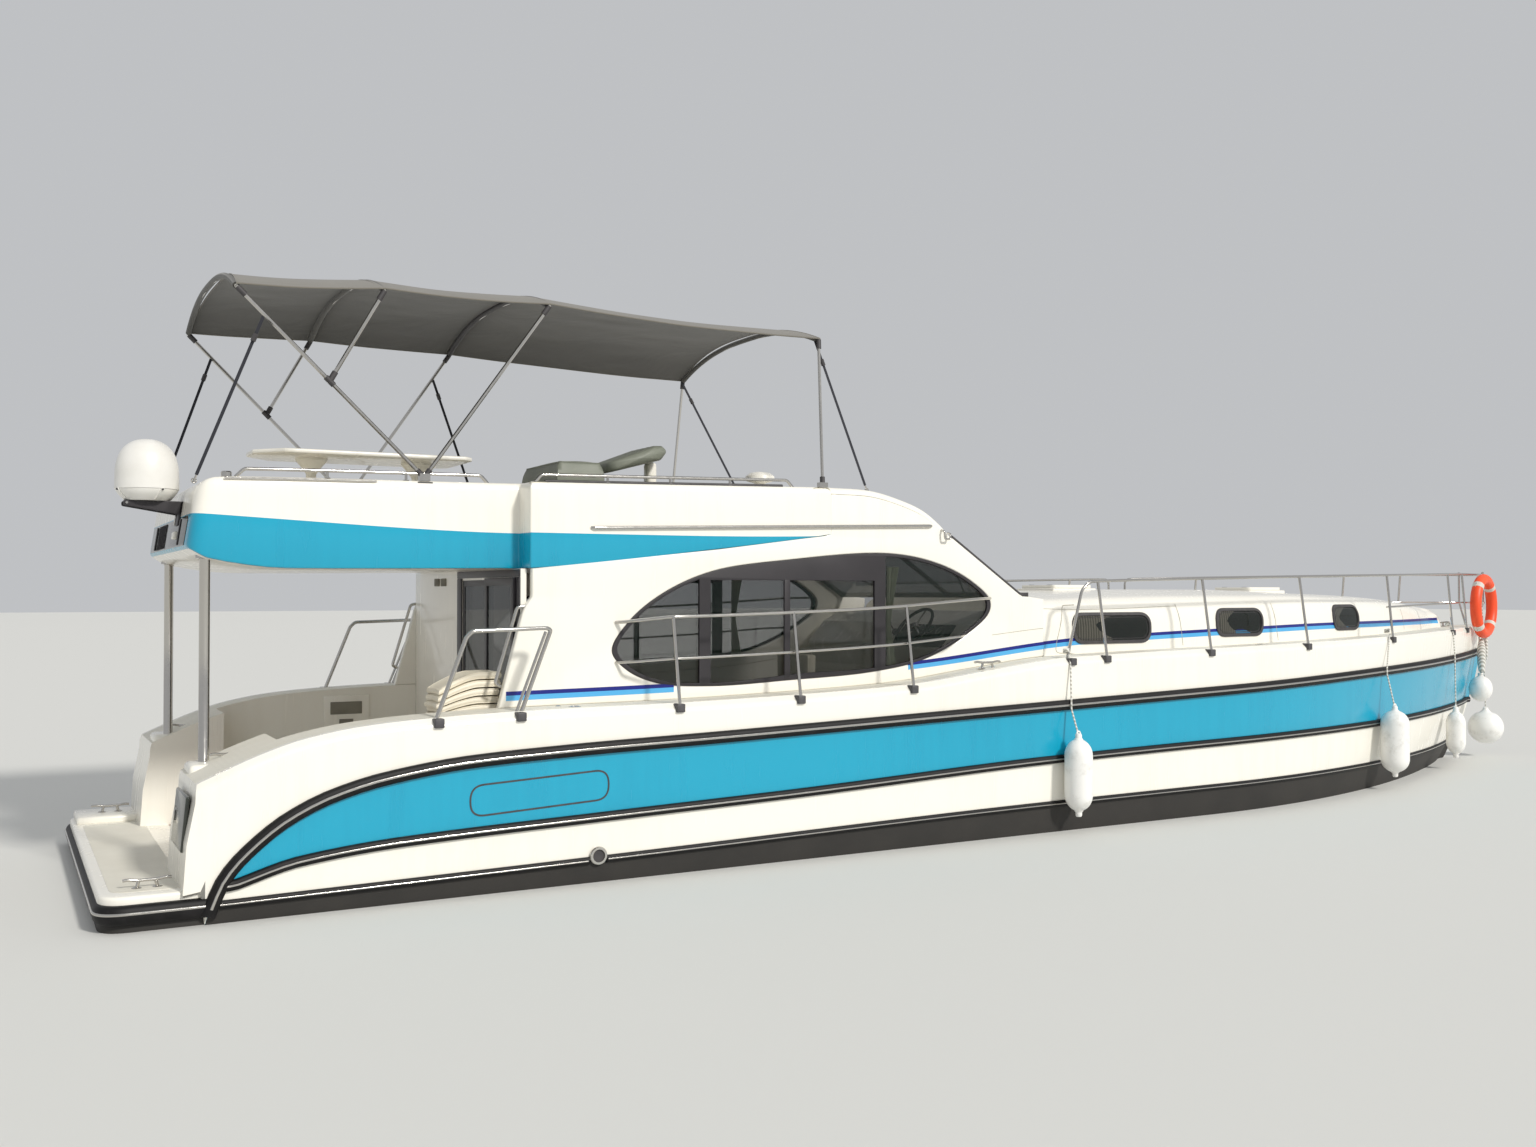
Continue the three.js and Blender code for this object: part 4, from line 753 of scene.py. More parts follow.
cabin_side = plate([cabin_outline, eye(0)], "xz", -SIDE_OUT, -SIDE_IN, 0.012)
for side, shape in (("stb", cabin_side), ("port", mirror(cabin_side))):
    make(f"cabin_side_{side}_skin", [shape], [white_gelcoat], replaces=[f"cabin_side_{side}"])

# The saloon windows: dark powder coated aluminium frames with two posts and a sliding pane between
# them, and green tinted toughened glass.
# The orange peel of the coat is 1 mm on the real frame. It is drawn at 6 mm so that it shows.
powder_coat = finished("dark_powder_coated_aluminium", "#3a373c", ("#201e21", "#363236"),
                       ("Noise", {"Scale": 4.0, "Detail": 5.0}),
                       relief=("Noise", {"Scale": 160.0}, 0.12, 0.001), roughness=0.42, ior=1.5)

# Toughened glass tinted green lets a third of the light through and mirrors the sky at a low angle.
tinted_glass, tree, shader = new_material("green_tinted_toughened_glass", "#0d1a15", roughness=0.03, ior=1.52)
facing = node(tree, "ShaderNodeLayerWeight", {"Blend": 0.35})
cover = node(tree, "ShaderNodeMapRange", {"To Min": 0.3, "To Max": 0.9}, {"Value": (facing, "Facing")})
tree.links.new(cover.outputs["Result"], shader.inputs["Alpha"])


def refinished(name, material):
    """Gives a node that is carried over from the frame its material."""
    frame["nodes"][name].data.materials.clear()
    frame["nodes"][name].data.materials.append(material)


for pane_node in ("side_glass_stb", "side_glass_port", "windscreen_glass", "door_sliding_glass", "door_fixed_pane"):
    refinished(pane_node, tinted_glass)


def clipped(outline, low, high, top):
    """The part of an outline between two places along x and below a height."""
    for inside, cross in (
        (lambda p: p[0] >= low, lambda p, q: (low - p[0]) / (q[0] - p[0])),
        (lambda p: p[0] <= high, lambda p, q: (high - p[0]) / (q[0] - p[0])),
        (lambda p: p[1] <= top, lambda p, q: (top - p[1]) / (q[1] - p[1])),
    ):
        kept = []
        for i, p in enumerate(outline):
            q = outline[(i + 1) % len(outline)]
            if inside(p):
                kept.append(p)
            if inside(p) != inside(q):
                t = cross(p, q)
                kept.append((p[0] + (q[0] - p[0]) * t, p[1] + (q[1] - p[1]) * t))
        outline = kept
    return outline


# Each bay of the window: its aft and fore end and its top. Beyond is a number that clips nothing.
BEYOND = 9.0
BAYS = [(-BEYOND, -3.60, BEYOND), (-3.51, -2.90, 1.99), (-2.86, -2.11, 1.99), (-2.01, BEYOND, BEYOND)]
window_parts = [
    plate([eye(0.001)] + [clipped(eye(0.038), *bay) for bay in BAYS], "xz", -SIDE_OUT - 0.002, -SIDE_OUT + 0.022,
          0.003),
    rounded_box((-2.905, -SIDE_OUT - 0.004, 1.27), (-2.855, -SIDE_OUT + 0.004, 1.995), 0.004),
]
for side, shapes in (("stb", window_parts), ("port", [mirror(s) for s in window_parts])):
    make(f"window_frame_{side}_dressed", shapes, [powder_coat], replaces=[f"window_frame_{side}"])

# The flybridge is one white moulding: floor, coamings with a rounded top, and the overhang above the
# cockpit. A teal band runs round its lower half and thins out to a point under the windscreen.
# Its aft face leans forward by the rake for each metre above its foot. The side steps out at the cabin.
FLY_AFT, FLY_FORE, FLY_STEP = -6.95, -2.5, -4.93
AFT_FOOT, AFT_RAKE = 2.175, 0.147
FLY_BOTTOM = [(FLY_AFT, AFT_FOOT), (-6.8, 2.1), (-6.35, 2.048), (-4.96, CEILING)]
FLY_SIDE_FOOT = [(-4.96, 2.055), (-4.84, CEILING), (-3.44, 2.21), (-2.55, 2.325), (FLY_FORE, 2.335)]
FLY_BORDER = [(FLY_AFT, 2.382), (-4.84, 2.3), (-3.7, 2.302), (-2.62, 2.32), (FLY_FORE, 2.336)]
FLY_TOP = [(FLY_AFT, 2.56), (-6.88, 2.595), (-6.78, 2.612), (-4.9, 2.64), (FLY_FORE, 2.69)]
FLY_FLOOR = 2.12
fly_corners = [(FLY_AFT, 1.16, 0.12), (-4.863, 1.16, 0.008), (-4.855, SIDE_OUT, 0.014), (FLY_FORE, SIDE_OUT, 0.001)]
fly_plan = rounded_line([(FLY_FORE, 0.0, 0), (FLY_AFT, 0.0, 0)] + fly_corners, 0.05, 9)


def resampled(line, step):
    """The same open line with points no further apart than step."""
    fine = [Vector(line[0])]
    for a, b in zip(line, line[1:]):
        a, b = Vector(a), Vector(b)
        count = max(1, math.ceil((b - a).length / step))
        fine += [a.lerp(b, (k + 1) / count) for k in range(count)]
    return fine


half_plan = resampled(fly_plan[1:], 0.12)
half_normals = []
for i, p in enumerate(half_plan):
    along = heading(half_plan, i)
    half_normals.append(Vector((-1, 0)) if i == 0 else Vector((-along.y, along.x)))


def fly_row(inset, height, inner=False):
    """Points of the starboard side along the plan, drawn in by inset, at a height that is a function of x."""
    row = []
    for p, n in zip(half_plan, half_normals):
        x = p.x - n.x * inset * (2 if inner else 1)
        y = p.y - n.y * inset
        z = height(min(max(x, FLY_AFT), FLY_FORE))
        lean = (z - AFT_FOOT) * AFT_RAKE * min(max((-6.6 - p.x) / 0.35, 0), 1)
        row.append(Vector((x + lean, -max(y, 0.0005), z)))
    return row


def fly_foot(x):
    return eased(FLY_BOTTOM, x) if x < FLY_STEP else eased(FLY_SIDE_FOOT, x)


def fly_border(x):
    return max(eased(FLY_BORDER, x), fly_foot(x) + 0.004)


def fly_top(x):
    return eased(FLY_TOP, x)


fly_rows = [
    fly_row(0.068, lambda x: min(fly_foot(x), CEILING) if x > FLY_STEP else fly_foot(x) + 0.001),
    fly_row(0.066, lambda x: fly_foot(x) + 0.002), fly_row(0.02, lambda x: fly_foot(x) + 0.002),
    fly_row(0.006, lambda x: min(fly_foot(x) + 0.006, fly_border(x) - 0.001)),
    fly_row(0.0, lambda x: min(fly_foot(x) + 0.02, fly_border(x) - 0.0005)),
    fly_row(0.0, fly_border),
    fly_row(0.0, lambda x: (fly_border(x) + fly_top(x)) / 2), fly_row(0.0, lambda x: fly_top(x) - ROOF_EDGE),
    fly_row(0.006, lambda x: fly_top(x) - 0.022), fly_row(0.02, lambda x: fly_top(x) - 0.006),
    fly_row(0.034, fly_top), fly_row(0.055, fly_top, True), fly_row(0.072, lambda x: fly_top(x) - 0.008, True),
    fly_row(0.08, lambda x: fly_top(x) - 0.03, True), fly_row(0.08, lambda x: FLY_FLOOR + 0.03, True),
    fly_row(0.088, lambda x: FLY_FLOOR + 0.006, True), fly_row(0.11, lambda x: FLY_FLOOR, True),
]
fly_finishes = [0, 0, 1, 1, 1, 0, 0, 0, 0, 0, 0, 0, 0, 0, 0, 0]
fly_shape = ringed(fly_rows, fly_finishes, 0, 2)

# The roof's section in (y, depth under its line): over the top from starboard and back underneath.
outer = [(SIDE_OUT - ROOF_EDGE * (1 - math.cos(a)), ROOF_EDGE * (1 - math.sin(a)))
         for a in np.linspace(0, 1.571, 7)]
outer += [(y, -0.008 * math.cos(y * 1.18)) for y in np.linspace(1.1, 0.0, 6)]
inner = [(0.0, 0.035), (1.26, 0.035), (SIDE_OUT - 0.03, ROOF_EDGE)]
roof_section = ([(-y, depth) for y, depth in outer] + outer[-2::-1] + inner[::-1]
                + [(-y, depth) for y, depth in inner[1:]])
roof_path = [Vector(p) for p in [(-2.56, 2.69)] + roof_line]
rings = []
for i, p in enumerate(roof_path):
    along = heading(roof_path, i)
    rings.append([Vector((p.x + along.y * depth, y, p.y - along.x * depth)) for y, depth in roof_section])


make("flybridge_moulding", [fly_shape, lofted(rings)], [white_gelcoat, teal_gelcoat, nonslip],
     replaces=["flybridge"])

# The windscreen: a black bonded frame between the pillars, two posts and its glass behind them.
SCREEN_HEAD, SCREEN_FOOT = Vector((-1.37, 2.325)), Vector((-0.69, 1.876))
screen_along = (SCREEN_FOOT - SCREEN_HEAD).normalized()
screen_deep = Vector((screen_along.y, -screen_along.x))
screen_length = (SCREEN_FOOT - SCREEN_HEAD).length
pane_lines = [rounded_line([(a, 0.05), (b, 0.05), (b, screen_length - 0.05), (a, screen_length - 0.05)], 0.05)
              for a, b in ((-1.245, -0.45), (-0.4, 0.4), (0.45, 1.245))]
screen_line = [(-1.299, 0.0), (1.299, 0.0), (1.299, screen_length), (-1.299, screen_length)]
points, faces, _ = plate([screen_line] + pane_lines, "xy", 0.0, 0.024, 0.003)
screen_points = [Vector((SCREEN_HEAD.x + screen_along.x * p[1] + screen_deep.x * (p[2] - 0.002), p[0],
                         SCREEN_HEAD.y + screen_along.y * p[1] + screen_deep.y * (p[2] - 0.002))) for p in points]
make("windscreen_surround", [(screen_points, faces, 0)], [powder_coat], replaces=["windscreen_frame"])

# The coachroof over the forward cabins: white glass fibre with a rounded shoulder and a low crown.
COACHROOF = [(-0.66, 1.83, 1.868), (0.0, 1.85, 1.905), (1.2, 1.87, 1.935), (2.6, 1.875, 1.935), (3.6, 1.855, 1.905),
             (4.5, 1.835, 1.88), (5.2, 1.8, 1.845), (5.8, 1.755, 1.79), (6.46, 1.695, 1.715)]
SHOULDER = [(-0.7, 0.0), (-0.23, 0.01), (-0.06, 0.055), (0.0, 0.15)]


def shoulder_height(x):
    return eased([(row[0], row[1]) for row in COACHROOF], x)


def crown_height(x):
    return eased([(row[0], row[2]) for row in COACHROOF], x)


def roof_half(x):
    return min(max(side_at(x, 1.3) - 0.34, 0.21), SIDE_OUT - 0.01)


def coach_side(x, z):
    """Half breadth of the coachroof at a place and a height below its shoulder."""
    return roof_half(x) - eased(SHOULDER, z - shoulder_height(x))


coach_rings = []
for x in list(np.linspace(-0.43, 5.6, 60)) + list(np.linspace(5.65, 6.38, 10)) + [6.41, 6.435, 6.452, 6.46]:
    nose = max(0.0, (x - 6.38) / 0.08)
    tuck = 0.05 * (1 - math.sqrt(max(1 - nose * nose, 0)))
    shoulder, crown = shoulder_height(x) - tuck, crown_height(x) - tuck
    heights = [1.15, 1.3, 1.45] + [shoulder - d for d in (0.23, 0.15, 0.1, 0.06, 0.035, 0.015, 0.004)]
    half_ring = [(roof_half(x) - tuck - eased(SHOULDER, z - shoulder), z) for z in heights]
    edge = half_ring[-1][0]
    half_ring += [(edge * s, shoulder + (crown - shoulder) * (1 - s * s)) for s in (0.93, 0.8, 0.6, 0.4, 0.2)]
    coach_rings.append([Vector((x, -y, z)) for y, z in half_ring] + [Vector((x, 0, crown))]
                       + [Vector((x, y, z)) for y, z in reversed(half_ring)])
hatch_places = {"fore": (3.24, 3.72, 1.928), "mid": (0.64, 1.12, 1.944)}
coamings = [rounded_box((x0 - 0.025, -0.265, z - 0.09), (x1 + 0.025, 0.265, z), 0.012)
            for x0, x1, z in hatch_places.values()]
make("coachroof_moulding", [lofted(coach_rings)] + coamings, [white_gelcoat], replaces=["coachroof"])


# Two coach lines, navy over sky blue, are self-adhesive tape. They run along the cabin and the
# coachroof and stop at the windows.
def banded(rows, surface, finish=0, proud=0.0012):
    """A strip on the starboard side out of rows of x, lowest and highest height."""
    rings = []
    for x, low, high in rows:
        rings.append([Vector((x, -surface(x, z) - out, z)) for z, out in
                      ((low, -0.004), (low, proud), (high, proud), (high, -0.004))])
    return lofted(rings, finish)


def cabin_face(x, z):
    return SIDE_OUT if x < -0.44 else coach_side(x, z)


def tape(name, colour, faded):
    """Vinyl tape: a flat even colour, a little glossy, bleached in patches by the sun."""
    return finished(name, colour, (colour, faded), ("Noise", {"Scale": 1.6, "Detail": 5.0}), roughness=0.3,
                    ior=1.48)


navy_tape = tape("navy_vinyl_tape", "#060c74", "#1b2a86")
sky_tape = tape("sky_blue_vinyl_tape", "#3fa4e2", "#63b6e6")
COACH_LINE = [(-5.02, 1.22), (-3.64, 1.24), (-1.79, 1.34), (-0.05, 1.5), (0.78, 1.53), (1.66, 1.555), (3.5, 1.587),
              (6.1, 1.592)]
NAVY_HIGH, SKY_LOW = 0.027, 0.034
eye_foot = sorted(p for p in eye_line if p[1] < 1.62)


def eye_low(x):
    if not eye_foot[0][0] < x < eye_foot[-1][0]:
        return 9.0
    return float(np.interp(x, [p[0] for p in eye_foot], [p[1] for p in eye_foot]))


coach_lines = []
for above, below, finish in ((NAVY_HIGH, 0.0, 0), (0.0, SKY_LOW, 1)):
    run = []
    xs = [x for start, end, count in ((-5.02, -3.8, 33), (-1.8, -0.445, 34), (-0.435, 6.37, 90))
          for x in np.linspace(start, end, count)]
    for x in xs:
        line = eased(COACH_LINE, x)
        low, high = line - below, min(line + above, eye_low(x) + 0.001)
        if high - low > 0.002:
            run.append((x, low, high))
        if run and (high - low <= 0.002 or x in (xs[32], xs[-1])):
            coach_lines.append(banded(run, cabin_face, finish))
            run = []
coach_lines += [mirror(s) for s in coach_lines]
make("coach_lines", coach_lines, [navy_tape, sky_tape])

# Three portlights on each side: a black rubber frame with round ends, smoked glass and a pleated
# beige curtain drawn over part of it.
# Cotton whose pleats are drawn flat: its bands of dark and light are painted shade and light of the folds. Its threads
# are 0.5 mm apart and are drawn 4 mm apart so that they show.
curtain_cloth_and_pleat_shade = finished("cotton_curtain_with_painted_pleat_shade", "#b9b09c", ("#56524a", "#8f8a7d"),
                         ("Wave", {"Scale": 11.0, "Distortion": 1.2, "Detail": 1.0}),
                         relief=("Noise", {"Scale": 250.0}, 0.3, 0.001), roughness=0.9, ior=1.45,
                         sheen_weight=0.4)
# The unlit cabin that lies behind a portlight's glass.
dark_cabin = finished("dark_cabin_behind_glass", "#0c0d0e", ("#070809", "#25231f"),
                      ("Noise", {"Scale": 6.0, "Detail": 4.0}), roughness=0.5, ior=1.5)
# Moulded rubber of seals and small fittings, chalky grey where it has aged.
seal_rubber = finished("moulded_seal_rubber", "#2c2a2d", ("#262427", "#4f4c4d"),
                       ("Noise", {"Scale": 20.0, "Detail": 6.0}), roughness=0.55, ior=1.52)


def disc(outline, surface, proud, finish):
    """A patch on the starboard side inside an outline, domed to the side's own shape."""
    cx = sum(p[0] for p in outline) / len(outline)
    cz = (min(p[1] for p in outline) + max(p[1] for p in outline)) / 2
    rings = []
    for share, out in [(1, -0.004)] + [(share, proud) for share in (1, 0.8, 0.6, 0.4, 0.2, 0.02)]:
        ring = [(cx + (x - cx) * share, cz + (z - cz) * share) for x, z in outline]
        rings.append([Vector((x, -surface(x, z) - out, z)) for x, z in ring])
    return lofted(rings, finish)


def rimmed(x0, x1, low, high, radius, width, surface, proud, finish):
    """A flat ring with round corners on the starboard side."""
    sets = []
    for inset, out in ((0, -0.004), (0, proud * 0.6), (0.004, proud), (width - 0.005, proud), (width, proud * 0.4),
                       (width, -0.004)):
        corner = max(radius - inset, 0.004)
        line = rounded_line([(x0 + inset, low + inset), (x1 - inset, low + inset), (x1 - inset, high - inset),
                             (x0 + inset, high - inset)], corner, 9)
        sets.append([Vector((x, -surface(x, z) - out, z)) for x, z in line])
    return lofted(sets, finish, closed=True)


PORTLIGHTS = [(-0.12, 0.77, 1.47, 1.735, 0.5), (1.57, 2.23, 1.505, 1.765, 0.4), (3.43, 3.97, 1.532, 1.788, 0.5)]
portlight_shapes = []
for x0, x1, low, high, drawn in PORTLIGHTS:
    radius = 0.46 * (high - low)
    inside = rounded_line([(x0 + 0.02, low + 0.02), (x1 - 0.02, low + 0.02), (x1 - 0.02, high - 0.02),
                           (x0 + 0.02, high - 0.02)], radius - 0.02, 9)
    split = x0 + (x1 - x0) * drawn
    cloth_side = [(x, z) for x, z in inside if x < split] + [(split, high - 0.021), (split, low + 0.021)]
    cloth_side.sort(key=lambda p: math.atan2(p[1] - (low + high) / 2, p[0] - (x0 + split) / 2))
    portlight_shapes += [
        rimmed(x0, x1, low, high, radius, 0.03, coach_side, 0.014, 0),
        rimmed(x0 + 0.045, x1 - 0.045, low + 0.04, high - 0.04, radius - 0.045, 0.006, coach_side, 0.006, 0),
        disc(inside, coach_side, 0.0018, 2), disc(cloth_side, coach_side, 0.003, 1),
        disc(inside, coach_side, 0.0048, 3),
    ]
portlight_shapes += [mirror(s) for s in portlight_shapes]
make("portlights", portlight_shapes, [seal_rubber, curtain_cloth_and_pleat_shade, dark_cabin, tinted_glass])

# The mould's joints: fine grooves in the gelcoat around the panels that the portlights sit in, and around the oval
# inspection hatch in the teal quarter. The grooves round the panels are not cut: thin grey strips of painted shade lie
# on the surface in their place.
groove_shade = finished("painted_groove_shade", "#b9b5a6", ("#c3bfae", "#8f8b7d"), ("Noise", {"Scale": 14.0, "Detail": 6.0}),
                   roughness=0.6, ior=1.45)


def ribbon(path, width, surface, finish=0, proud=0.0015, closed=False):
    """A thin strip along (x, z) marks on the starboard side."""
    rings = []
    n = len(path)
    for i, (x, z) in enumerate(path):
        before = path[i - 1] if i or closed else path[0]
        after = path[(i + 1) % n] if i + 1 < n or closed else path[-1]
        along = Vector((after[0] - before[0], after[1] - before[1])).normalized()
        across = Vector((-along.y, along.x)) * width / 2
        ring = []
        for side, out in ((-1, -0.004), (-1, proud), (1, proud), (1, -0.004)):
            px, pz = x + across.x * side, z + across.y * side
            ring.append(Vector((px, -surface(px, pz) - out, pz)))
        rings.append(ring)
    return lofted(rings, finish, closed)


GROOVES = [
    [(-0.05, 1.8, 0), (-0.19, 1.795, 0.05), (-0.29, 1.5, 0.05), (-0.31, 1.405, 0.04), (-0.1, 1.39, 0)],
    [(1.1, 1.8, 0), (1.13, 1.6, 0), (1.15, 1.44, 0)], [(2.4, 1.81, 0), (2.43, 1.6, 0), (2.46, 1.46, 0)],
    [(5.15, 1.73, 0), (5.16, 1.6, 0), (5.17, 1.51, 0)],
]
groove_shapes = []
for marks in GROOVES:
    fine = [tuple(p) for p in resampled(rounded_line(marks, 0.0, 5), 0.03)]
    groove_shapes.append(ribbon(fine, 0.005, coach_side))
shoulder_line = [(x, eased([(-0.9, 1.79), (0.0, 1.76), (1.1, 1.785)], x)) for x in np.linspace(-0.43, 1.1, 40)]
groove_shapes.append(ribbon(shoulder_line, 0.004, coach_side))
waist_line = [(x, eased([(-1.0, 1.56), (-0.43, 1.61), (0.2, 1.64)], x)) for x in np.linspace(-0.98, -0.45, 16)]
groove_shapes.append(ribbon(waist_line, 0.004, cabin_face))
make("moulded_grooves", groove_shapes + [mirror(s) for s in groove_shapes], [groove_shade])

oval_line = rounded_line([(-5.36, 0.497), (-4.43, 0.545), (-4.43, 0.738), (-5.36, 0.69)], 0.094, 10)
oval = [tuple(p) for p in resampled(oval_line + oval_line[:1], 0.06)][:-1]
hull_marks = [ribbon(oval, 0.011, side_at, 0, 0.0022, closed=True)]
make("inspection_hatch_seals", hull_marks + [mirror(s) for s in hull_marks], [seal_rubber])

# The deck hatches: cast white frames with smoked acrylic, hinged at their fore edge, with two handles.
acrylic = finished("smoked_cast_acrylic", "#15191b", None, ("Noise", {"Scale": 7.0, "Detail": 8.0}),
                   gloss=(0.04, 0.22), roughness=0.09, ior=1.49, coat_weight=0.6)
for key, (x0, x1, z) in hatch_places.items():
    lid_line = rounded_line([(x0, -0.24), (x1, -0.24), (x1, 0.24), (x0, 0.24)], 0.05, 8)
    pane_line = rounded_line([(x0 + 0.035, -0.205), (x1 - 0.035, -0.205), (x1 - 0.035, 0.205), (x0 + 0.035, 0.205)],
                             0.03, 8)
    make(f"{key}_hatch_dressed", [
        plate([lid_line, pane_line], "xy", z + 0.0005, z + 0.031, 0.006),
        plate([pane_line], "xy", z + 0.012, z + 0.026, 0.002, 1),
        rounded_box((x0 + 0.03, -0.15, z + 0.026), (x0 + 0.07, -0.11, z + 0.034), 0.004, 2),
        rounded_box((x0 + 0.03, 0.11, z + 0.026), (x0 + 0.07, 0.15, z + 0.034), 0.004, 2),
    ], [white_gelcoat, acrylic, powder_coat], body=f"{key}_hatch_lid", replaces=[f"{key}_hatch_lid"])

# The engine hatch in the cockpit sole: a moulded non-slip lid with a flush stainless ring pull.
lid_line = rounded_line([(-5.86, -0.45), (-4.99, -0.45), (-4.99, 0.45), (-5.86, 0.45)], 0.04, 6)
panel_line = rounded_line([(-5.82, -0.41), (-5.03, -0.41), (-5.03, 0.41), (-5.82, 0.41)], 0.03, 6)
# Cockpit and saloon share one level sole at 0.2 m. What stands on it starts half a millimetre higher.
SOLE = 0.2005
make("engine_hatch_dressed", [
    plate([lid_line], "xy", SOLE, 0.2235, 0.004),
    plate([panel_line], "xy", 0.221, 0.225, 0.001, 1),
    turned([(0.018, 0.0), (0.034, 0.0), (0.034, 0.004), (0.018, 0.004), (0.018, 0.0)], (-5.74, 0, 0.2235), 2),
], [white_gelcoat, nonslip, stainless], body="engine_hatch_lid", replaces=["engine_hatch_lid"])

# The aft bulkhead: a glass fibre wall with the doorway in it, two small ventilators under the ceiling
# and an aluminium track above and below the sliding door.
wall_line = [(-1.3, 0.2), (1.3, 0.2), (1.3, CEILING), (-1.3, CEILING)]
door_hole = [(-1.2, 0.225), (0.0, 0.225), (0.0, 1.99), (-1.2, 1.99)]
make("aft_bulkhead_wall", [plate([wall_line, door_hole], "yz", -4.9, -4.86, 0.002)], [white_gelcoat],
     replaces=["aft_bulkhead"])
vent_shapes = []
for y in (0.42, 0.6):
    line = rounded_line([(y, 1.95), (y + 0.13, 1.95), (y + 0.13, 2.01), (y, 2.01)], 0.012)
    vent_shapes.append(plate([line], "yz", -4.908, -4.899, 0.003))
    vent_shapes += [rounded_box((-4.912, y + 0.012, 1.959 + k * 0.016), (-4.905, y + 0.118, 1.966 + k * 0.016), 0.002)
                    for k in range(3)]
make("bulkhead_ventilators", vent_shapes, [niche_dark])
fixed_hole = [(-0.575, 0.27), (-0.045, 0.27), (-0.045, 1.945), (-0.575, 1.945)]
fixed_line = [(-0.62, 0.225), (0.0, 0.225), (0.0, 1.99), (-0.62, 1.99)]
make("door_fixed_frame", [
    plate([fixed_line, fixed_hole], "yz", -4.8985, -4.862, 0.003),
    rounded_box((-4.9, -1.2, 1.982), (-4.862, 0.0, 1.99), 0.002),
    rounded_box((-4.909, -1.29, 2.006), (-4.899, 0.11, 2.056), 0.003),
    rounded_box((-4.909, 0.0, 0.225), (-4.899, 0.11, 2.004), 0.003),
    rounded_box((-4.909, -1.29, 0.225), (-4.899, -1.226, 2.004), 0.003),
], [powder_coat])
leaf_line = [(-1.22, 0.212), (-0.6, 0.212), (-0.6, 2.002), (-1.22, 2.002)]
leaf_hole = [(-1.165, 0.267), (-0.655, 0.267), (-0.655, 1.947), (-1.165, 1.947)]
make("door_leaf_frame", [
    plate([leaf_line, leaf_hole], "yz", -4.926, -4.9005, 0.004),
    rounded_box((-4.934, -1.205, 1.06), (-4.925, -1.18, 1.34), 0.003),
], [powder_coat], body="door", replaces=["door_sliding_frame"])
make("door_handle", [tube([(-4.93, -1.192, 1.1), (-4.962, -1.192, 1.1), (-4.962, -1.192, 1.3), (-4.93, -1.192, 1.3)],
                          0.007, bend=0.02)], [stainless], body="door")

# Two posts of polished tube carry the flybridge over the cockpit, on welded round flanges.
post_profile = [(0.001, 0.84), (0.058, 0.84), (0.058, 0.847), (0.037, 0.85), (0.032, 0.858), (0.032, 2.1),
                (0.037, 2.108), (0.055, 2.112), (0.055, 2.128), (0.001, 2.128)]
make("flybridge_posts", [turned(post_profile, (-6.825, y, 0), sides=32) for y in (-0.98, 0.98)], [stainless],
 replaces=["post_stb", "post_port"])

# The flybridge's fittings: low grab rails on the coaming, a gutter rail along its side, a hand rail on
# the cabin's aft edge, the dark panel across its aft face with the stern light, and small brackets.
grab_shapes = []
for x0, x1, y, feet in ((-6.62, -5.12, -1.12, 4), (-4.76, -2.86, -1.32, 5)):
    top = [Vector((x, y, fly_top(x) + 0.048)) for x in np.linspace(x0, x1, 10)]
    ends = [Vector((x0 - 0.05, y, fly_top(x0) - 0.004)), *top, Vector((x1 + 0.05, y, fly_top(x1) - 0.004))]
    grab_shapes.append(tube(ends, 0.011, bend=0.04, sides=12))
    for x in np.linspace(x0, x1, feet)[1:-1]:
        grab_shapes.append(tube([(x, y, fly_top(x) - 0.004), (x, y, fly_top(x) + 0.048)], 0.009, sides=12))
        grab_shapes.append(turned([(0.02, 0.0), (0.02, 0.005), (0.001, 0.006)], (x, y, fly_top(x) - 0.001),
                                  sides=16))
gutter = [Vector((x, -1.371, 2.34 + (x + 4.4) * 0.0286)) for x in np.linspace(-4.4, -1.6, 30)]
grab_shapes.append(tube([gutter[0] + Vector((-0.02, 0.012, 0)), *gutter, gutter[-1] + Vector((0.02, 0.012, 0))], 0.013,
                        bend=0.01))
grab_shapes.append(tube([(-1.48, -1.36, 2.39), (-1.48, -1.4, 2.38), (-1.475, -1.4, 2.32), (-1.425, -1.4, 2.32),
                         (-1.42, -1.4, 2.36), (-1.42, -1.36, 2.37)], 0.008, bend=0.015))
grab_shapes.append(tube([(-5.045, -1.33, 1.28), (-5.085, -1.33, 1.3), (-4.935, -1.33, 1.8), (-4.885, -1.33, 1.81)], 0.012,
                        bend=0.03))
grab_shapes.append(tube([(x, -1.163, fly_top(x) - 0.014) for x in np.linspace(-6.74, -5.82, 12)], 0.007, sides=8))
# A dark strip in the seal rubber runs along the fore coaming under the grab rail: painted shade of the gap beneath the
# rail.
grab_shapes.append(tube([(x, -1.322, fly_top(x) + 0.004) for x in np.linspace(-4.74, -2.9, 20)], 0.012, 1, sides=8))
grab_shapes.append(tube([(-1.375, -1.345, 2.338), (-0.7, -1.345, 1.893), (-0.66, -1.345, 1.878)], 0.017, 1, sides=10))
grab_shapes.append(rounded_box((-0.71, -1.358, 1.868), (-0.6, -1.3, 1.902), 0.006, 1))
grab_shapes += [mirror(s) for s in grab_shapes]
grab_shapes.append(turned([(0.001, 0.0), (0.032, 0.0), (0.032, 0.028), (0.026, 0.034), (0.001, 0.036)],
                          (-6.72, -1.1, fly_top(-6.72) - 0.002), 0, sides=20))
make("flybridge_grab_rails", grab_shapes, [stainless, seal_rubber])

# Dark grey gelcoat of the aft panel and the transom's locker door, polished and slightly cloudy.
smoked_panel = finished("smoked_grey_gelcoat", "#353a34", ("#2a2e29", "#444940"),
                        ("Noise", {"Scale": 5.0, "Detail": 6.0}), roughness=0.2, ior=1.5, coat_weight=0.4)


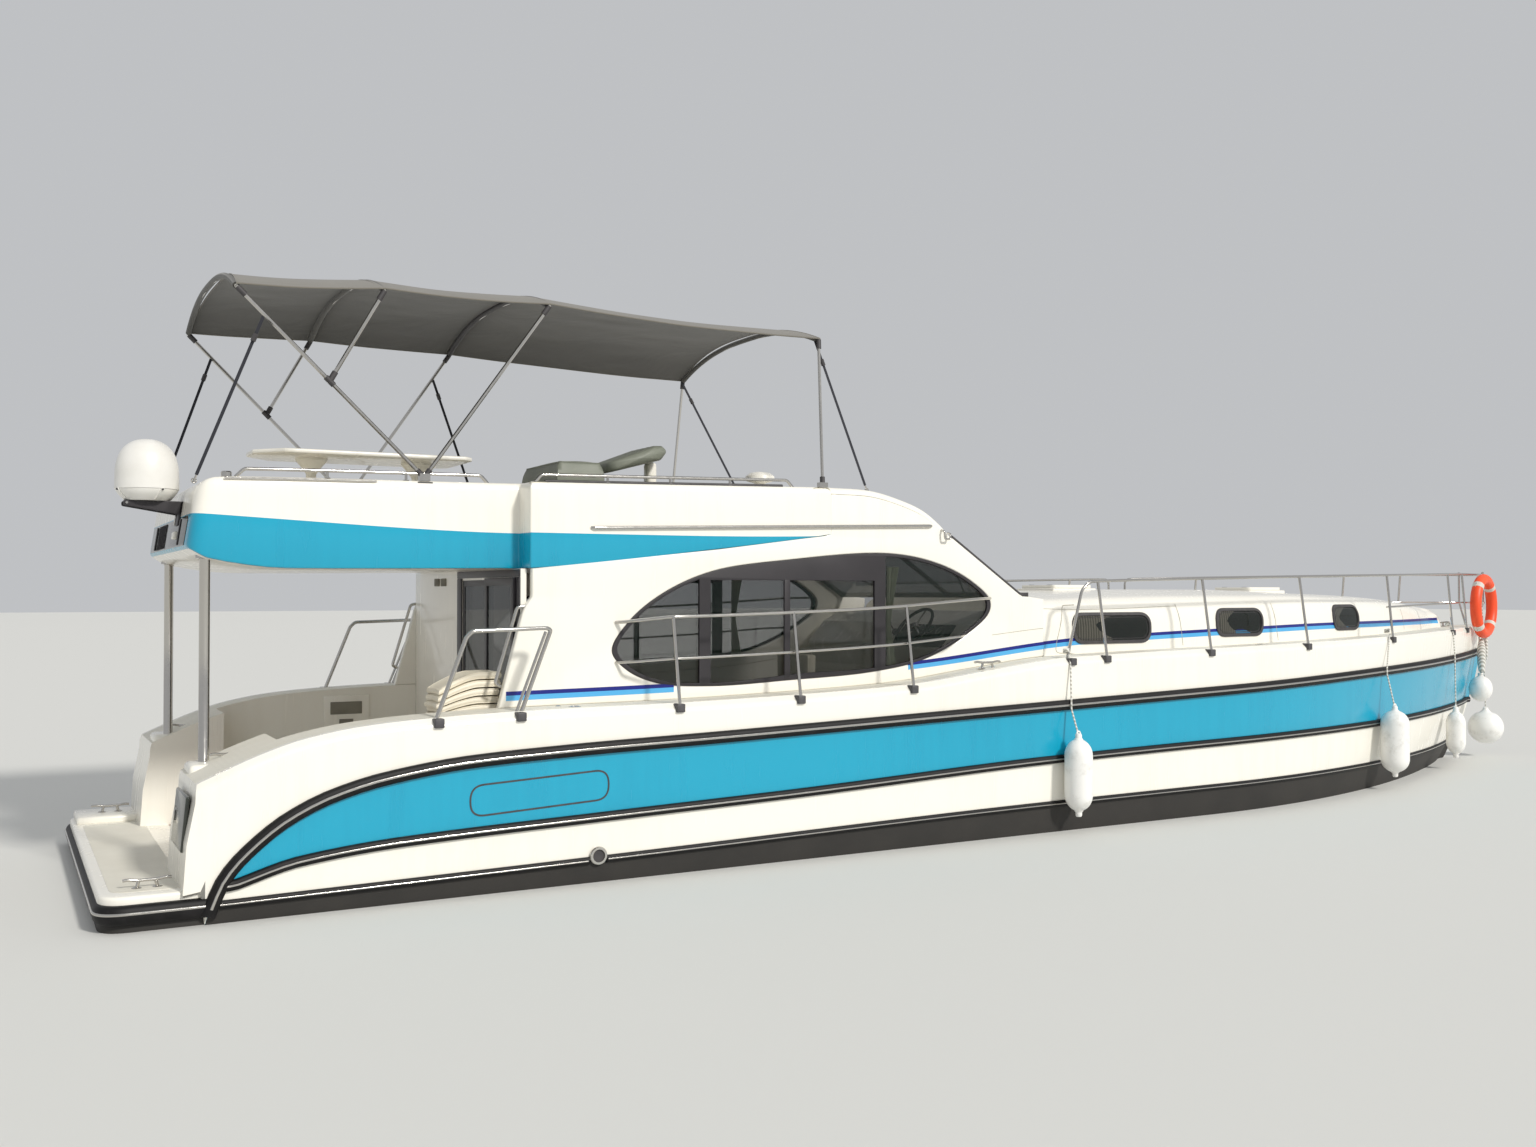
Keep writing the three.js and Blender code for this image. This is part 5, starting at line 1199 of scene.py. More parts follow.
def on_aft_face(shape, proud):
    """Lays a shape drawn as (y, z) with its depth along x onto the flybridge's sloping aft face."""
    points, faces, finish = shape
    laid = [Vector((FLY_AFT + (p[2] - AFT_FOOT) * AFT_RAKE + p[0] - proud, p[1], p[2])) for p in points]
    return laid, faces, finish


panel_edge = rounded_line([(-0.99, 2.19), (0.99, 2.19), (1.0, 2.375), (-1.0, 2.375)], 0.03)
make("flybridge_aft_panel", [
    on_aft_face(plate([panel_edge], "yz", -0.004, 0.006, 0.002), 0.0),
    on_aft_face(rounded_box((-0.008, -0.7, 2.2), (0.0, -0.66, 2.365), 0.003, 1), 0.004),
    on_aft_face(rounded_box((-0.008, 0.66, 2.2), (0.0, 0.7, 2.365), 0.003, 1), 0.004),
    *(on_aft_face(rounded_box((-0.006, 0.1 + 0.08 * k, 2.2), (0.0, 0.11 + 0.08 * k, 2.365), 0.002, 1), 0.004)
      for k in range(6)),
], [smoked_panel, powder_coat])
make("stern_light", [on_aft_face(rounded_box((-0.03, -0.60, 2.24), (0.0, -0.51, 2.29), 0.01), 0.002)],
     [white_gelcoat])

# The dome of the satellite aerial: two halves of white ABS, vacuum formed, screwed together at a seam,
# on a folded bracket of black painted aluminium.
dome_plastic = finished("vacuum_formed_white_abs", "#f3f2ee", ("#f6f5f2", "#dedbd2"),
                        ("Noise", {"Scale": 5.0, "Detail": 6.0}), roughness=0.32, ior=1.54)
DOME_PLACE = (-7.112, -0.5, 2.484)
dome_rise = through([(0.19, 0.15), (0.188, 0.2), (0.18, 0.25), (0.158, 0.31), (0.118, 0.358), (0.064, 0.387),
                     (0.001, 0.396)], steps=5)
dome_base = [(0.001, 0.0), (0.13, 0.0), (0.137, 0.006), (0.165, 0.034), (0.184, 0.062), (0.185, 0.07), (0.191, 0.074)]
dome_shapes = [turned(dome_base + [(0.191, 0.1)] + dome_rise, DOME_PLACE, sides=64)]
for turn in (0.4, 1.97, 3.54, 5.11):
    out = Vector((math.cos(turn), math.sin(turn), 0))
    across = Vector((-out.y, out.x, 0))
    foot = Vector(DOME_PLACE)
    lug = []
    for reach, height, width in ((0.128, 0.002, 0.022), (0.15, 0.012, 0.02), (0.178, 0.048, 0.014),
                                 (0.192, 0.074, 0.01)):
        middle = foot + out * reach + Vector((0, 0, height))
        lug.append([middle + across * width + out * 0.004, middle - across * width + out * 0.004,
                    middle - across * width - out * 0.02, middle + across * width - out * 0.02])
    dome_shapes.append(lofted(lug))
    dome_shapes.append(tube([foot + out * 0.18 + Vector((0, 0, 0.066)), foot + out * 0.199 + Vector((0, 0, 0.066))],
                            0.006, 1, sides=8))
make("aerial_dome_shell", dome_shapes, [dome_plastic, powder_coat], replaces=["aerial_dome"])
cheek = [(-7.255, 2.452, 0.014), (-7.255, 2.483, 0.014), (-6.902, 2.483), (-6.912, 2.396)]
make("aerial_bracket_plates", [
    plate([rounded_line(cheek, 0.006)], "xz", -0.58, -0.572, 0.001),
    plate([rounded_line(cheek, 0.006)], "xz", -0.428, -0.42, 0.001),
    rounded_box((-7.25, -0.575, 2.475), (-6.905, -0.425, 2.483), 0.002),
    on_aft_face(rounded_box((-0.012, -0.58, 2.33), (0.0, -0.42, 2.478), 0.003), 0.002),
    tube([(-7.235, -0.583, 2.467), (-7.235, -0.417, 2.467)], 0.008, 1, sides=10),
    on_aft_face(rounded_box((-0.02, -0.45, 2.335), (-0.01, -0.43, 2.47), 0.003, 1), 0.002),
], [powder_coat, stainless], replaces=["aerial_bracket"])


# The steering wheels: a foam rim covered in black vinyl on three stainless spokes and a turned hub.
def frame_of(normal, side):
    """Three axes as the columns of a matrix: side, up and normal."""
    normal, side = Vector(normal).normalized(), Vector(side).normalized()
    return Matrix((side, normal.cross(side), normal)).transposed()


def placed(shape, axes, centre):
    points, faces, finish = shape
    return [axes @ Vector(p) + Vector(centre) for p in points], faces, finish


def ring_of(major, minor, finish=0, start=0.0, end=2 * math.pi, steps=72, sides=12, flat=1.0):
    """A ring about the z axis, or an arc of one. flat squashes its section along the axis."""
    whole = abs(end - start - 2 * math.pi) < 1e-6
    rings = []
    for angle in np.linspace(start, end, steps, endpoint=not whole):
        ring = []
        for turn in round_angles(sides):
            reach = major + minor * math.cos(turn)
            ring.append(Vector((reach * math.cos(angle), reach * math.sin(angle), minor * flat * math.sin(turn))))
        rings.append(ring)
    return lofted(rings, finish, closed=whole)


# The vinyl's grain is 1 mm on the real rim. It is drawn at 3 mm so that it shows.
rim_vinyl = finished("stitched_black_vinyl", "#18171a", None, ("Noise", {"Scale": 12.0}), gloss=(0.35, 0.65),
                     relief=("Voronoi", {"Scale": 330.0}, 0.4, 0.001), roughness=0.5, ior=1.5)
for wheel_node, hinge_name, radius, stand_off in (("helm_wheel", "helm_wheel_turn", 0.19, 0.12),
                                                  ("fly_wheel", "fly_wheel_turn", 0.17, 0.11)):
    hinge = next(j for j in frame["joints"] if j["name"] == hinge_name)
    axes = frame_of(hinge["axis"], (0, 1, 0))
    shapes = [ring_of(radius, 0.0135, 0),
              turned([(0.001, -0.02), (0.026, -0.02), (0.032, -0.012), (0.032, 0.02), (0.022, 0.04),
                      (0.022, stand_off - 0.02), (0.031, stand_off - 0.012), (0.031, stand_off - 0.0005),
                      (0.001, stand_off - 0.0005)], (0, 0, 0), 1)]
    for k in range(3):
        angle = math.pi / 2 + 2 * math.pi * k / 3
        tip = Vector((math.cos(angle), math.sin(angle), 0))
        spoke = [tip * 0.02 + Vector((0, 0, 0.006)), tip * radius * 0.6 + Vector((0, 0, 0.004)), tip * radius]
        shapes.append(tube(spoke, 0.0075, 1, sides=10, bend=0.05))
    make(f"{wheel_node}_dressed", [placed(s, axes, hinge["pos_m"]) for s in shapes], [rim_vinyl, stainless],
         body=wheel_node, replaces=[wheel_node])


# The consoles: white glass fibre boxes with a black instrument panel. The lower one runs across the
# saloon under the windscreen, with a rounded brow.
def on_face(shapes, foot, head, y):
    """Lays shapes drawn on the z = 0 plane onto a console's sloping face, which runs from foot to head."""
    along = Vector((head[0] - foot[0], 0, head[1] - foot[1])).normalized()
    out = Vector((-along.z, 0, along.x))
    axes = Matrix((Vector((0, -1, 0)), along, out)).transposed()
    centre = Vector(((foot[0] + head[0]) / 2, y, (foot[1] + head[1]) / 2))
    return [placed(s, axes, centre) for s in shapes]


# The dials are printed black under clear plastic, with small pale marks and no lettering.
gauge_face = finished("printed_gauge_face", "#101114", ("#c9ccd0", "#0e0f12"), ("Voronoi", {"Scale": 55.0}),
                      spread={"From Min": 0.1, "From Max": 0.16}, roughness=0.12, ior=1.5, coat_weight=1.0)


def instruments(reach, height, gauges):
    """A panel with round gauges, drawn on the z = 0 plane."""
    panel = plate([rounded_line([(-reach, -height), (reach, -height), (reach, height), (-reach, height)], 0.012)], "xy",
                  -0.002, 0.006, 0.002, 1)
    shapes = [panel]
    for x, y, radius in gauges:
        shapes.append(turned([(0.001, 0.0), (radius, 0.0), (radius, 0.011), (radius - 0.004, 0.013),
                              (radius - 0.006, 0.009)], (x, y, 0), 2, sides=28))
        shapes.append(turned([(0.001, 0.008), (radius - 0.005, 0.008), (radius - 0.005, 0.0095), (0.001, 0.0095)],
                             (x, y, 0), 3, sides=28))
    return shapes


def lever(x, y):
    return [turned([(0.001, 0.0), (0.03, 0.0), (0.03, 0.02), (0.02, 0.03), (0.001, 0.03)], (x, y, 0), 1),
            tube([(x, y, 0.02), (x, y + 0.015, 0.1)], 0.006, 2, sides=10),
            turned([(0.001, 0.095), (0.014, 0.097), (0.018, 0.115), (0.012, 0.13), (0.001, 0.132)],
                   (x, y + 0.018, 0), 1, sides=18)]


FLY_FACE = ((-3.06, 2.38), (-2.91, 2.56))
fly_desk = [(-3.05, FLY_FLOOR, 0), (-3.06, 2.38, 0.02), (-2.91, 2.56, 0.03), (-2.8, 2.69, 0.03), (-2.6, 2.69, 0.02),
            (-2.6, FLY_FLOOR, 0)]
fly_gauges = [(-0.12, 0.0, 0.042), (0.0, 0.0, 0.042), (0.12, 0.0, 0.042), (0.22, 0.02, 0.022), (0.22, -0.03, 0.022)]
mushroom = [(0.001, -0.02), (0.07, -0.02), (0.075, 0.0), (0.05, 0.02), (0.045, 0.07), (0.105, 0.085), (0.118, 0.098),
            (0.112, 0.125), (0.08, 0.15), (0.001, 0.163)]
make("fly_console_dressed", [
    plate([rounded_line(fly_desk, 0.02)], "xz", -1.05, -0.25, 0.02),
    turned(mushroom, (-2.715, -0.65, 2.69), 0),
    *on_face(instruments(0.3, 0.06, fly_gauges), (-2.91, 2.56), (-2.8, 2.69), -0.65),
    *on_face(lever(-0.3, 0.0), *FLY_FACE, -0.65),
], [white_gelcoat, seal_rubber, stainless, gauge_face], replaces=["fly_console"])
HELM_FACE = ((-1.2, 1.44), (-1.02, 1.64))
helm_desk = [(-1.13, 0.201, 0), (-1.13, 1.25, 0.03), (-1.2, 1.44, 0.05), (-1.02, 1.64, 0.06), (-0.79, 1.76, 0.02),
             (-0.79, 0.201, 0)]
helm_gauges = [(-0.2, 0.055, 0.04), (-0.08, 0.07, 0.048), (0.06, 0.07, 0.048), (0.19, 0.055, 0.04), (0.28, 0.0, 0.022)]
make("helm_console_dressed", [
    plate([rounded_line(helm_desk, 0.03)], "xz", -1.15, 1.15, 0.02),
    *on_face(instruments(0.36, 0.12, helm_gauges), *HELM_FACE, -0.6),
    *on_face(lever(-0.42, 0.02), *HELM_FACE, -0.6),
], [white_gelcoat, seal_rubber, stainless, gauge_face], replaces=["helm_console"])


# Upholstery. Each cushion is foam in a sewn cover: crowned faces, sides that pull in between the
# corners, and a piped seam round both of its edges.
def stuffed(low, high, crown, seed, pull=0.014, wrinkle=0.004, cuts=13, piping=0.0045):
    """A cushion between its lowest and highest corner. seed moves its creases, pull draws its sides in."""
    low, high = Vector(low), Vector(high)
    half, middle = (high - low) / 2, (high + low) / 2
    thin = min(range(3), key=lambda i: half[i])
    a, b = (i for i in range(3) if i != thin)

    def moved(u, v, w):
        fat = max((1 - abs(u) ** 3.5) * (1 - abs(v) ** 3.5), 0) ** 0.45
        corner = 1 - 0.035 * abs(u * v) ** 5
        p = Vector((0, 0, 0))
        swell = 0.25 * (half[thin] - crown) * (1 - w * w)
        for axis, s, other in ((a, u, v), (b, v, u)):
            drawn_in = half[axis] - pull * (1 - other * other) * abs(s) ** 2 - 0.006
            p[axis] = (s * drawn_in + math.copysign(swell, s) * abs(s) ** 8) * corner
        place = middle + p
        crease = noise.noise(Vector((place[a] * 7 + seed, place[b] * 7, w + seed)))
        tug = noise.noise(Vector((place[a] * 19 + seed, place[b] * 19, 3.0 + seed)))
        p[thin] = w * (half[thin] - crown + crown * fat + wrinkle * crease * fat
                       + 0.4 * wrinkle * tug * (1 - fat) - 0.004)
        return middle + p

    block = bmesh.new()
    bmesh.ops.create_cube(block, size=2)
    bmesh.ops.subdivide_edges(block, edges=block.edges[:], cuts=cuts, use_grid_fill=True)
    for v in block.verts:
        v.co = moved(v.co[a], v.co[b], v.co[thin])
    block.verts.index_update()
    shapes = [([v.co.copy() for v in block.verts], [tuple(v.index for v in f.verts) for f in block.faces], 0)]
    block.free()
    for w in (-1, 1):
        steps = np.linspace(-1, 1, 16, endpoint=False)
        track = ([moved(s, -1, w) for s in steps] + [moved(1, s, w) for s in steps]
                 + [moved(-s, 1, w) for s in steps] + [moved(-1, -s, w) for s in steps])
        rings = []
        for i, p in enumerate(track):
            along = (track[(i + 1) % len(track)] - track[i - 1]).normalized()
            up = Vector((0, 0, 0))
            up[thin] = 1
            out = along.cross(up).normalized()
            rings.append([p + out * piping * math.cos(t) + up * piping * math.sin(t) for t in round_angles(8)])
        shapes.append(lofted(rings, 0, closed=True))
    return shapes


def upholstery(name, colour, worn, scale, depth, **settings):
    """Woven or grained cover cloth. The pattern's real pitch is under 1 mm, so it is drawn coarser."""
    return finished(name, colour, (colour, worn), ("Noise", {"Scale": 7.0, "Detail": 7.0}),
                    relief=("Voronoi", {"Scale": scale}, depth, 0.002), **settings)


cream_vinyl = upholstery("grained_cream_vinyl", "#f6f0e0", "#e6dcc4", 210.0, 0.25, roughness=0.48, ior=1.5)
sage_vinyl = upholstery("grained_grey_green_vinyl", "#6f7468", "#8a8d80", 210.0, 0.3, roughness=0.5, ior=1.5)
beige_weave = upholstery("woven_beige_sofa_cloth", "#b9a87f", "#9a8a66", 160.0, 0.6, roughness=0.9, ior=1.45,
                         sheen_weight=0.35)


def cushions(name, rows, material, hidden=(), laid=None, crown=0.018):
    """One padded piece for each row of lowest and highest corner. laid moves a point as the piece lies."""
    for k, (low, high) in enumerate(rows):
        piece = make(f"{name}_{k + 1}", stuffed(low, high, crown, seed=k * 3.7), [material],
                     replaces=hidden if k == 0 else (), sharp=80)
        if laid:
            for v in piece.data.vertices:
                v.co = laid(v.co)


# The saloon: an L of lockers in white with a beige sofa on it, a wooden cabinet and the helm seat.
# Cherry veneer under clear varnish, its grain drawn out along the board.
cabinet_wood, tree, shader = new_material("varnished_cherry_veneer", "#6d3f22", roughness=0.3, ior=1.5,
                                          coat_weight=0.3)
place = node(tree, "ShaderNodeTexCoord")
stretch = node(tree, "ShaderNodeMapping", {"Scale": (2.0, 2.0, 24.0)}, {"Vector": (place, "Object")})
grain = node(tree, "ShaderNodeTexNoise", {"Scale": 3.0, "Detail": 8.0, "Distortion": 0.6},
             {"Vector": (stretch, "Vector")})
mixed = node(tree, "ShaderNodeMix", {"data_type": "RGBA", 6: linear("#7a4a28"), 7: linear("#4a2813")},
             {0: (grain, "Fac")})
tree.links.new(mixed.outputs[2], shader.inputs["Base Color"])
cabinet_parts = [rounded_box((-3.5, -1.28, SOLE), (-2.5, -0.77, 0.98), 0.006),
                 rounded_box((-3.5, -1.28, 0.982), (-2.5, -0.76, 1.01), 0.008, 1)]
for k in range(2):
    knob_x = -3.05 + k * 0.14
    cabinet_parts.append(rounded_box((-3.47 + k * 0.49, -0.772, 0.28), (-3.02 + k * 0.49, -0.762, 0.94), 0.005))
    cabinet_parts.append(tube([(knob_x, -0.765, 0.66), (knob_x, -0.765, 0.74)], 0.006, 2, sides=8))
make("saloon_cabinet_dressed", cabinet_parts, [cabinet_wood, white_gelcoat, stainless], replaces=["saloon_cabinet"])
make("sofa_lockers", [rounded_box((-3.3, 0.52, SOLE), (-1.9, 1.27, 0.5), 0.015),
                      rounded_box((-3.3, 1.2, 0.45), (-1.9, 1.27, 1.0), 0.015)], [cabinet_wood])
sofa_rows = [((-3.29 + 0.462 * k, 0.5, 0.5), (-2.84 + 0.462 * k, 1.1, 0.64)) for k in range(3)]
sofa_rows += [((-3.29 + 0.462 * k, 1.09, 0.62), (-2.84 + 0.462 * k, 1.24, 1.06)) for k in range(3)]
cushions("sofa_cushion", sofa_rows, beige_weave, hidden=["saloon_sofa"])
make("helm_seat_stand", [
    turned([(0.001, SOLE), (0.17, SOLE), (0.17, 0.215), (0.06, 0.24), (0.045, 0.3), (0.045, 0.7), (0.09, 0.74),
            (0.09, 0.76), (0.001, 0.76)], (-2.1, -0.6, 0)),
], [stainless])
cushions("helm_seat_cushion", [((-2.33, -0.86, 0.75), (-1.85, -0.34, 0.87)),
                               ((-2.41, -0.85, 0.84), (-2.3, -0.35, 1.42))], cream_vinyl, hidden=["helm_seat"])

# Narrow curtains of pale cotton hang beside the window posts, gathered by a band at half height.
curtain_pale = upholstery("pale_cotton_curtain", "#dfe3d2", "#c9cdb9", 260.0, 0.3, roughness=0.9, ior=1.45,
                          sheen_weight=0.3)
ROWS, COLUMNS, PLEATS = 28, 40, 7
for side, sign in (("stb", -1), ("port", 1)):
    skin = []
    for z in np.linspace(1.31, 2.1, ROWS):
        width = 0.035 + 0.085 * abs((z - 1.66) / 0.44) ** 1.1
        skin += [Vector((-1.945 + width * s, sign * (1.275 + 0.014 * math.sin(s * PLEATS * 2 * math.pi)), z))
                 for s in np.linspace(0, 1, COLUMNS)]
    faces = [(r * COLUMNS + k, r * COLUMNS + k + 1, (r + 1) * COLUMNS + k + 1, (r + 1) * COLUMNS + k)
             for r in range(ROWS - 1) for k in range(COLUMNS - 1)]
    curtain = make(f"saloon_curtain_{side}", [(skin, faces, 0)], [curtain_pale], sharp=80)

# The flybridge's seats: white lockers moulded with its floor, and cushions in grained vinyl.
make("fly_seat_lockers", [
    rounded_box((-6.61, 0.53, FLY_FLOOR), (-4.7, 1.06, 2.41), 0.025),
    rounded_box((-6.61, -1.06, FLY_FLOOR), (-6.2, 0.56, 2.41), 0.025),
    rounded_box((-4.5, -1.0, FLY_FLOOR), (-3.6, -0.3, 2.575), 0.03),
    rounded_box((-3.7, -0.7, 2.56), (-3.62, -0.6, 2.88), 0.03),
], [white_gelcoat])
fly_rows_seats = [((-6.17 + 0.49 * k, 0.52, 2.405), (-5.69 + 0.49 * k, 1.06, 2.5)) for k in range(3)]
fly_rows_seats += [((-6.61, -1.05 + 0.53 * k, 2.405), (-6.19, -0.53 + 0.53 * k, 2.5)) for k in range(4)]
cushions("fly_sofa_cushion", fly_rows_seats, cream_vinyl, hidden=["fly_sofa"])
cushions("fly_helm_cushion", [((-4.52, -1.01, 2.57), (-4.2, -0.29, 2.84)),
                              ((-4.17, -0.98, 2.565), (-3.72, -0.32, 2.66))], sage_vinyl, hidden=["fly_helm_seat"])
roll = [(-4.09, 2.765, 0.03), (-3.66, 2.88, 0.05), (-3.605, 2.95, 0.04), (-3.65, 2.988, 0.03), (-3.72, 2.985, 0.05),
        (-4.1, 2.84, 0.035)]
bolster_rings = []
roll_line = rounded_line(roll, 0.04, 6)
roll_centre = Vector((-3.86, 2.88))
for y in np.linspace(-0.94, -0.36, 25):
    reach = (y + 0.65) / 0.29
    shrink = max(1 - abs(reach) ** 9, 0.02) ** 0.5 * (1 - 0.03 * math.sin(y * 34) ** 2)
    bolster_rings.append([Vector((roll_centre.x + (x - roll_centre.x) * shrink, y,
                                  roll_centre.y + (z - roll_centre.y) * shrink)) for x, z in roll_line])
bolster = make("fly_helm_backrest", [lofted(bolster_rings)], [sage_vinyl], sharp=80)

# The flybridge table: a laminated white top with rounded edges on two turned pedestals.
table_line = rounded_line([(-6.42, -0.13), (-6.24, -0.36), (-4.98, -0.36), (-4.92, -0.3), (-4.92, 0.3), (-4.98, 0.36),
                           (-6.24, 0.36), (-6.42, 0.13)], 0.04, 6)
pedestal = [(0.001, 2.1205), (0.17, 2.1205), (0.17, 2.132), (0.08, 2.15), (0.035, 2.18), (0.035, 2.74), (0.07, 2.79),
            (0.11, 2.835), (0.11, 2.853), (0.001, 2.853)]
make("fly_table_dressed", [plate([table_line], "xy", 2.853, 2.885, 0.012),
                           turned(pedestal, (-6.0, 0, 0), 1), turned(pedestal, (-5.25, 0, 0), 1)],
     [white_gelcoat, white_gelcoat], replaces=["fly_table"])

# The loose seat cushions of the cockpit lie stacked on the starboard locker. Their free ends droop.
def drooped(p):
    share = max((-5.15 - p.x) / 0.3, 0.0) ** 1.5
    return Vector((p.x, p.y, LOCKER_TOP + (p.z - LOCKER_TOP) * (1 - 0.3 * share)))


LOCKER_TOP = 0.941
stack_rows = []
for k in range(8):
    shift, side = 0.012 * math.sin(k * 2.1), 0.01 * math.cos(k * 1.7)
    low = LOCKER_TOP + 0.054 * k
    stack_rows.append(((-5.44 + shift, -1.218 + side, low), (-5.0 + shift, -0.912 + side, low + 0.058)))
cushions("stacked_cushion", stack_rows, cream_vinyl, hidden=["cushion_stack"], laid=drooped, crown=0.007)

# The sun canopy: one sheet of woven acrylic, sewn with a sleeve over each bow and a hem all round. It
# is stretched fore and aft and sags a little between the bows.
CANOPY_HALF, CROWN = 1.2, 0.19
BOWS = [(-6.68, 3.835, 0.045), (-5.78, 3.88, 0.025), (-4.66, 3.88, 0.01), (-2.5, 3.83, 0.0)]


def bay_at(x):
    """The bows aft and fore of x, and how far x is on the way between them."""
    i = max(k for k in range(3) if BOWS[k][0] <= x or k == 0)
    aft, fore = BOWS[i], BOWS[i + 1]
    return aft, fore, min(max((x - aft[0]) / (fore[0] - aft[0]), 0), 1)


def cloth_height(x, t, sagging=True):
    """Height of the cloth's underside at x and at t, which runs from -1 at starboard to 1 at port."""
    aft, fore, share = bay_at(x)
    height, lean = (aft[k] * (1 - share) + fore[k] * share for k in (1, 2))
    sag = fold = 0
    if sagging:
        sag = 0.016 * (fore[0] - aft[0]) * math.sin(math.pi * share) * (1 - 0.35 * t * t)
        fold = 0.005 * noise.noise(Vector((x * 1.6, t * 6.5, 0.3))) * math.sin(math.pi * share)
    return height + lean * t + CROWN * (1 - abs(t) ** 2.5) - sag + fold


def cloth_half(x):
    aft, fore, share = bay_at(x)
    return CANOPY_HALF - 0.02 * (fore[0] - aft[0]) * math.sin(math.pi * share)


def on_bow(row, t):
    """A place on the middle line of a bow's tube, under the cloth."""
    return Vector((row[0], t * (CANOPY_HALF - 0.018), cloth_height(row[0], t, False) - 0.011))


def canvas(name, colour, faded, fold_depth):
    """Woven acrylic: dull, with a plain weave. The threads are 0.6 mm apart and are drawn at 6 mm."""
    material, tree, shader = new_material(name, colour, roughness=0.88, ior=1.46, sheen_weight=0.3)
    place = node(tree, "ShaderNodeTexCoord")
    warp = node(tree, "ShaderNodeTexWave", {"bands_direction": "X", "Scale": 52.0, "Distortion": 0.4},
                {"Vector": (place, "Object")})
    weft = node(tree, "ShaderNodeTexWave", {"bands_direction": "Y", "Scale": 52.0, "Distortion": 0.4},
                {"Vector": (place, "Object")})
    weave = node(tree, "ShaderNodeMath", {"operation": "MULTIPLY"}, {0: (warp, "Fac"), 1: (weft, "Fac")})
    folds = node(tree, "ShaderNodeTexNoise", {"Scale": 2.2, "Detail": 5.0, "Distortion": 0.8},
                 {"Vector": (place, "Object")})
    mixed = node(tree, "ShaderNodeMix", {"data_type": "RGBA", 6: linear(colour), 7: linear(faded)},
                 {0: (folds, "Fac")})
    tree.links.new(mixed.outputs[2], shader.inputs["Base Color"])
    coarse = node(tree, "ShaderNodeBump", {"Strength": fold_depth, "Distance": 0.05}, {"Height": (folds, "Fac")})
    fine = node(tree, "ShaderNodeBump", {"Strength": 0.2, "Distance": 0.001},
                {"Height": (weave, "Value"), "Normal": (coarse, "Normal")})
    tree.links.new(fine.outputs["Normal"], shader.inputs["Normal"])
    return material


# The sheet's underside takes a darker copy of the same canvas as painted shade, and so do the sleeves over all bows but
# the third.
canvas_top = canvas("woven_acrylic_canvas", "#7f7b72", "#6f6b63", 0.12)
canvas_shaded_underside = canvas("woven_acrylic_canvas_painted_shade_underside", "#53514c", "#434240", 0.2)
NX, NT = 121, 49
along_x = np.linspace(BOWS[0][0], BOWS[3][0], NX)
cloth_points, cloth_faces, cloth_finish = [], [], []
for lift in (0.0, 0.004):
    for x in along_x:
        for t in np.linspace(-1, 1, NT):
            pull = 0.05 * (1 - t * t)
            place_x = x + pull * min(max((-6.2 - x) / 0.48, 0), 1) - pull * min(max((x + 3.1) / 0.6, 0), 1)
            cloth_points.append(Vector((place_x, t * cloth_half(x), cloth_height(x, t) + lift)))
for layer in (0, 1):
    start = layer * NX * NT
    for i in range(NX - 1):
        for k in range(NT - 1):
            cloth_faces.append((start + i * NT + k, start + i * NT + k + 1, start + (i + 1) * NT + k + 1,
                                start + (i + 1) * NT + k))
            cloth_finish.append(1 - layer)
edge_track = ([i * NT for i in range(NX)] + [(NX - 1) * NT + k for k in range(1, NT)]
              + [i * NT + NT - 1 for i in range(NX - 2, -1, -1)] + list(range(NT - 2, 0, -1)))
upper = NX * NT
for a, b in zip(edge_track, edge_track[1:] + edge_track[:1]):
    cloth_faces.append((a, b, b + upper, a + upper))
    cloth_finish.append(0)
hem_line = [cloth_points[i] + Vector((0, 0, 0.002)) for i in edge_track]
hem_rings = []
for i, p in enumerate(hem_line):
    tangent = (hem_line[(i + 1) % len(hem_line)] - hem_line[i - 1]).normalized()
    out = tangent.cross(Vector((0, 0, 1))).normalized()
    hem_rings.append([p + out * 0.005 * math.cos(a) + Vector((0, 0, 0.006 * math.sin(a)))
                      for a in round_angles(8)])
canopy_shapes = [(cloth_points, cloth_faces, cloth_finish), lofted(hem_rings, 0, closed=True)]
for row in BOWS:
    sleeve = [on_bow(row, t) for t in np.linspace(-0.985, 0.985, 40)]
    canopy_shapes.append(tube(sleeve, 0.02, 2 if row == BOWS[2] else 1, sides=12))
    if row in BOWS[1:3]:
        canopy_shapes += [tube([p + Vector((aside, 0, 0.0155)) for p in sleeve], 0.002, 0, sides=5)
                          for aside in (-0.03, 0.03)]
canopy = make("canopy_cloth", canopy_shapes, [canvas_top, canvas_shaded_underside, seal_rubber], replaces=["canopy"],
              sharp=60)
widest = [(t * 1.19, cloth_height(BOWS[2][0], t)) for t in np.linspace(-1, 1, 40)]

# The canopy's frame is bent stainless tube. Nylon jaws join the struts to the bows, and webbing straps
# with buckles hold the frame down to eyes on the coaming.
for bare in ("canopy_frame", "canopy_front_frame"):
    refinished(bare, stainless)
# The ribs of the webbing are 1 mm apart. They are drawn at 5 mm so that they show.
webbing = finished("black_polyester_webbing", "#14151b", ("#0f1016", "#2b2d38"),
                   ("Wave", {"bands_direction": "Z", "Scale": 63.0}), roughness=0.75, ior=1.5, sheen_weight=0.2)


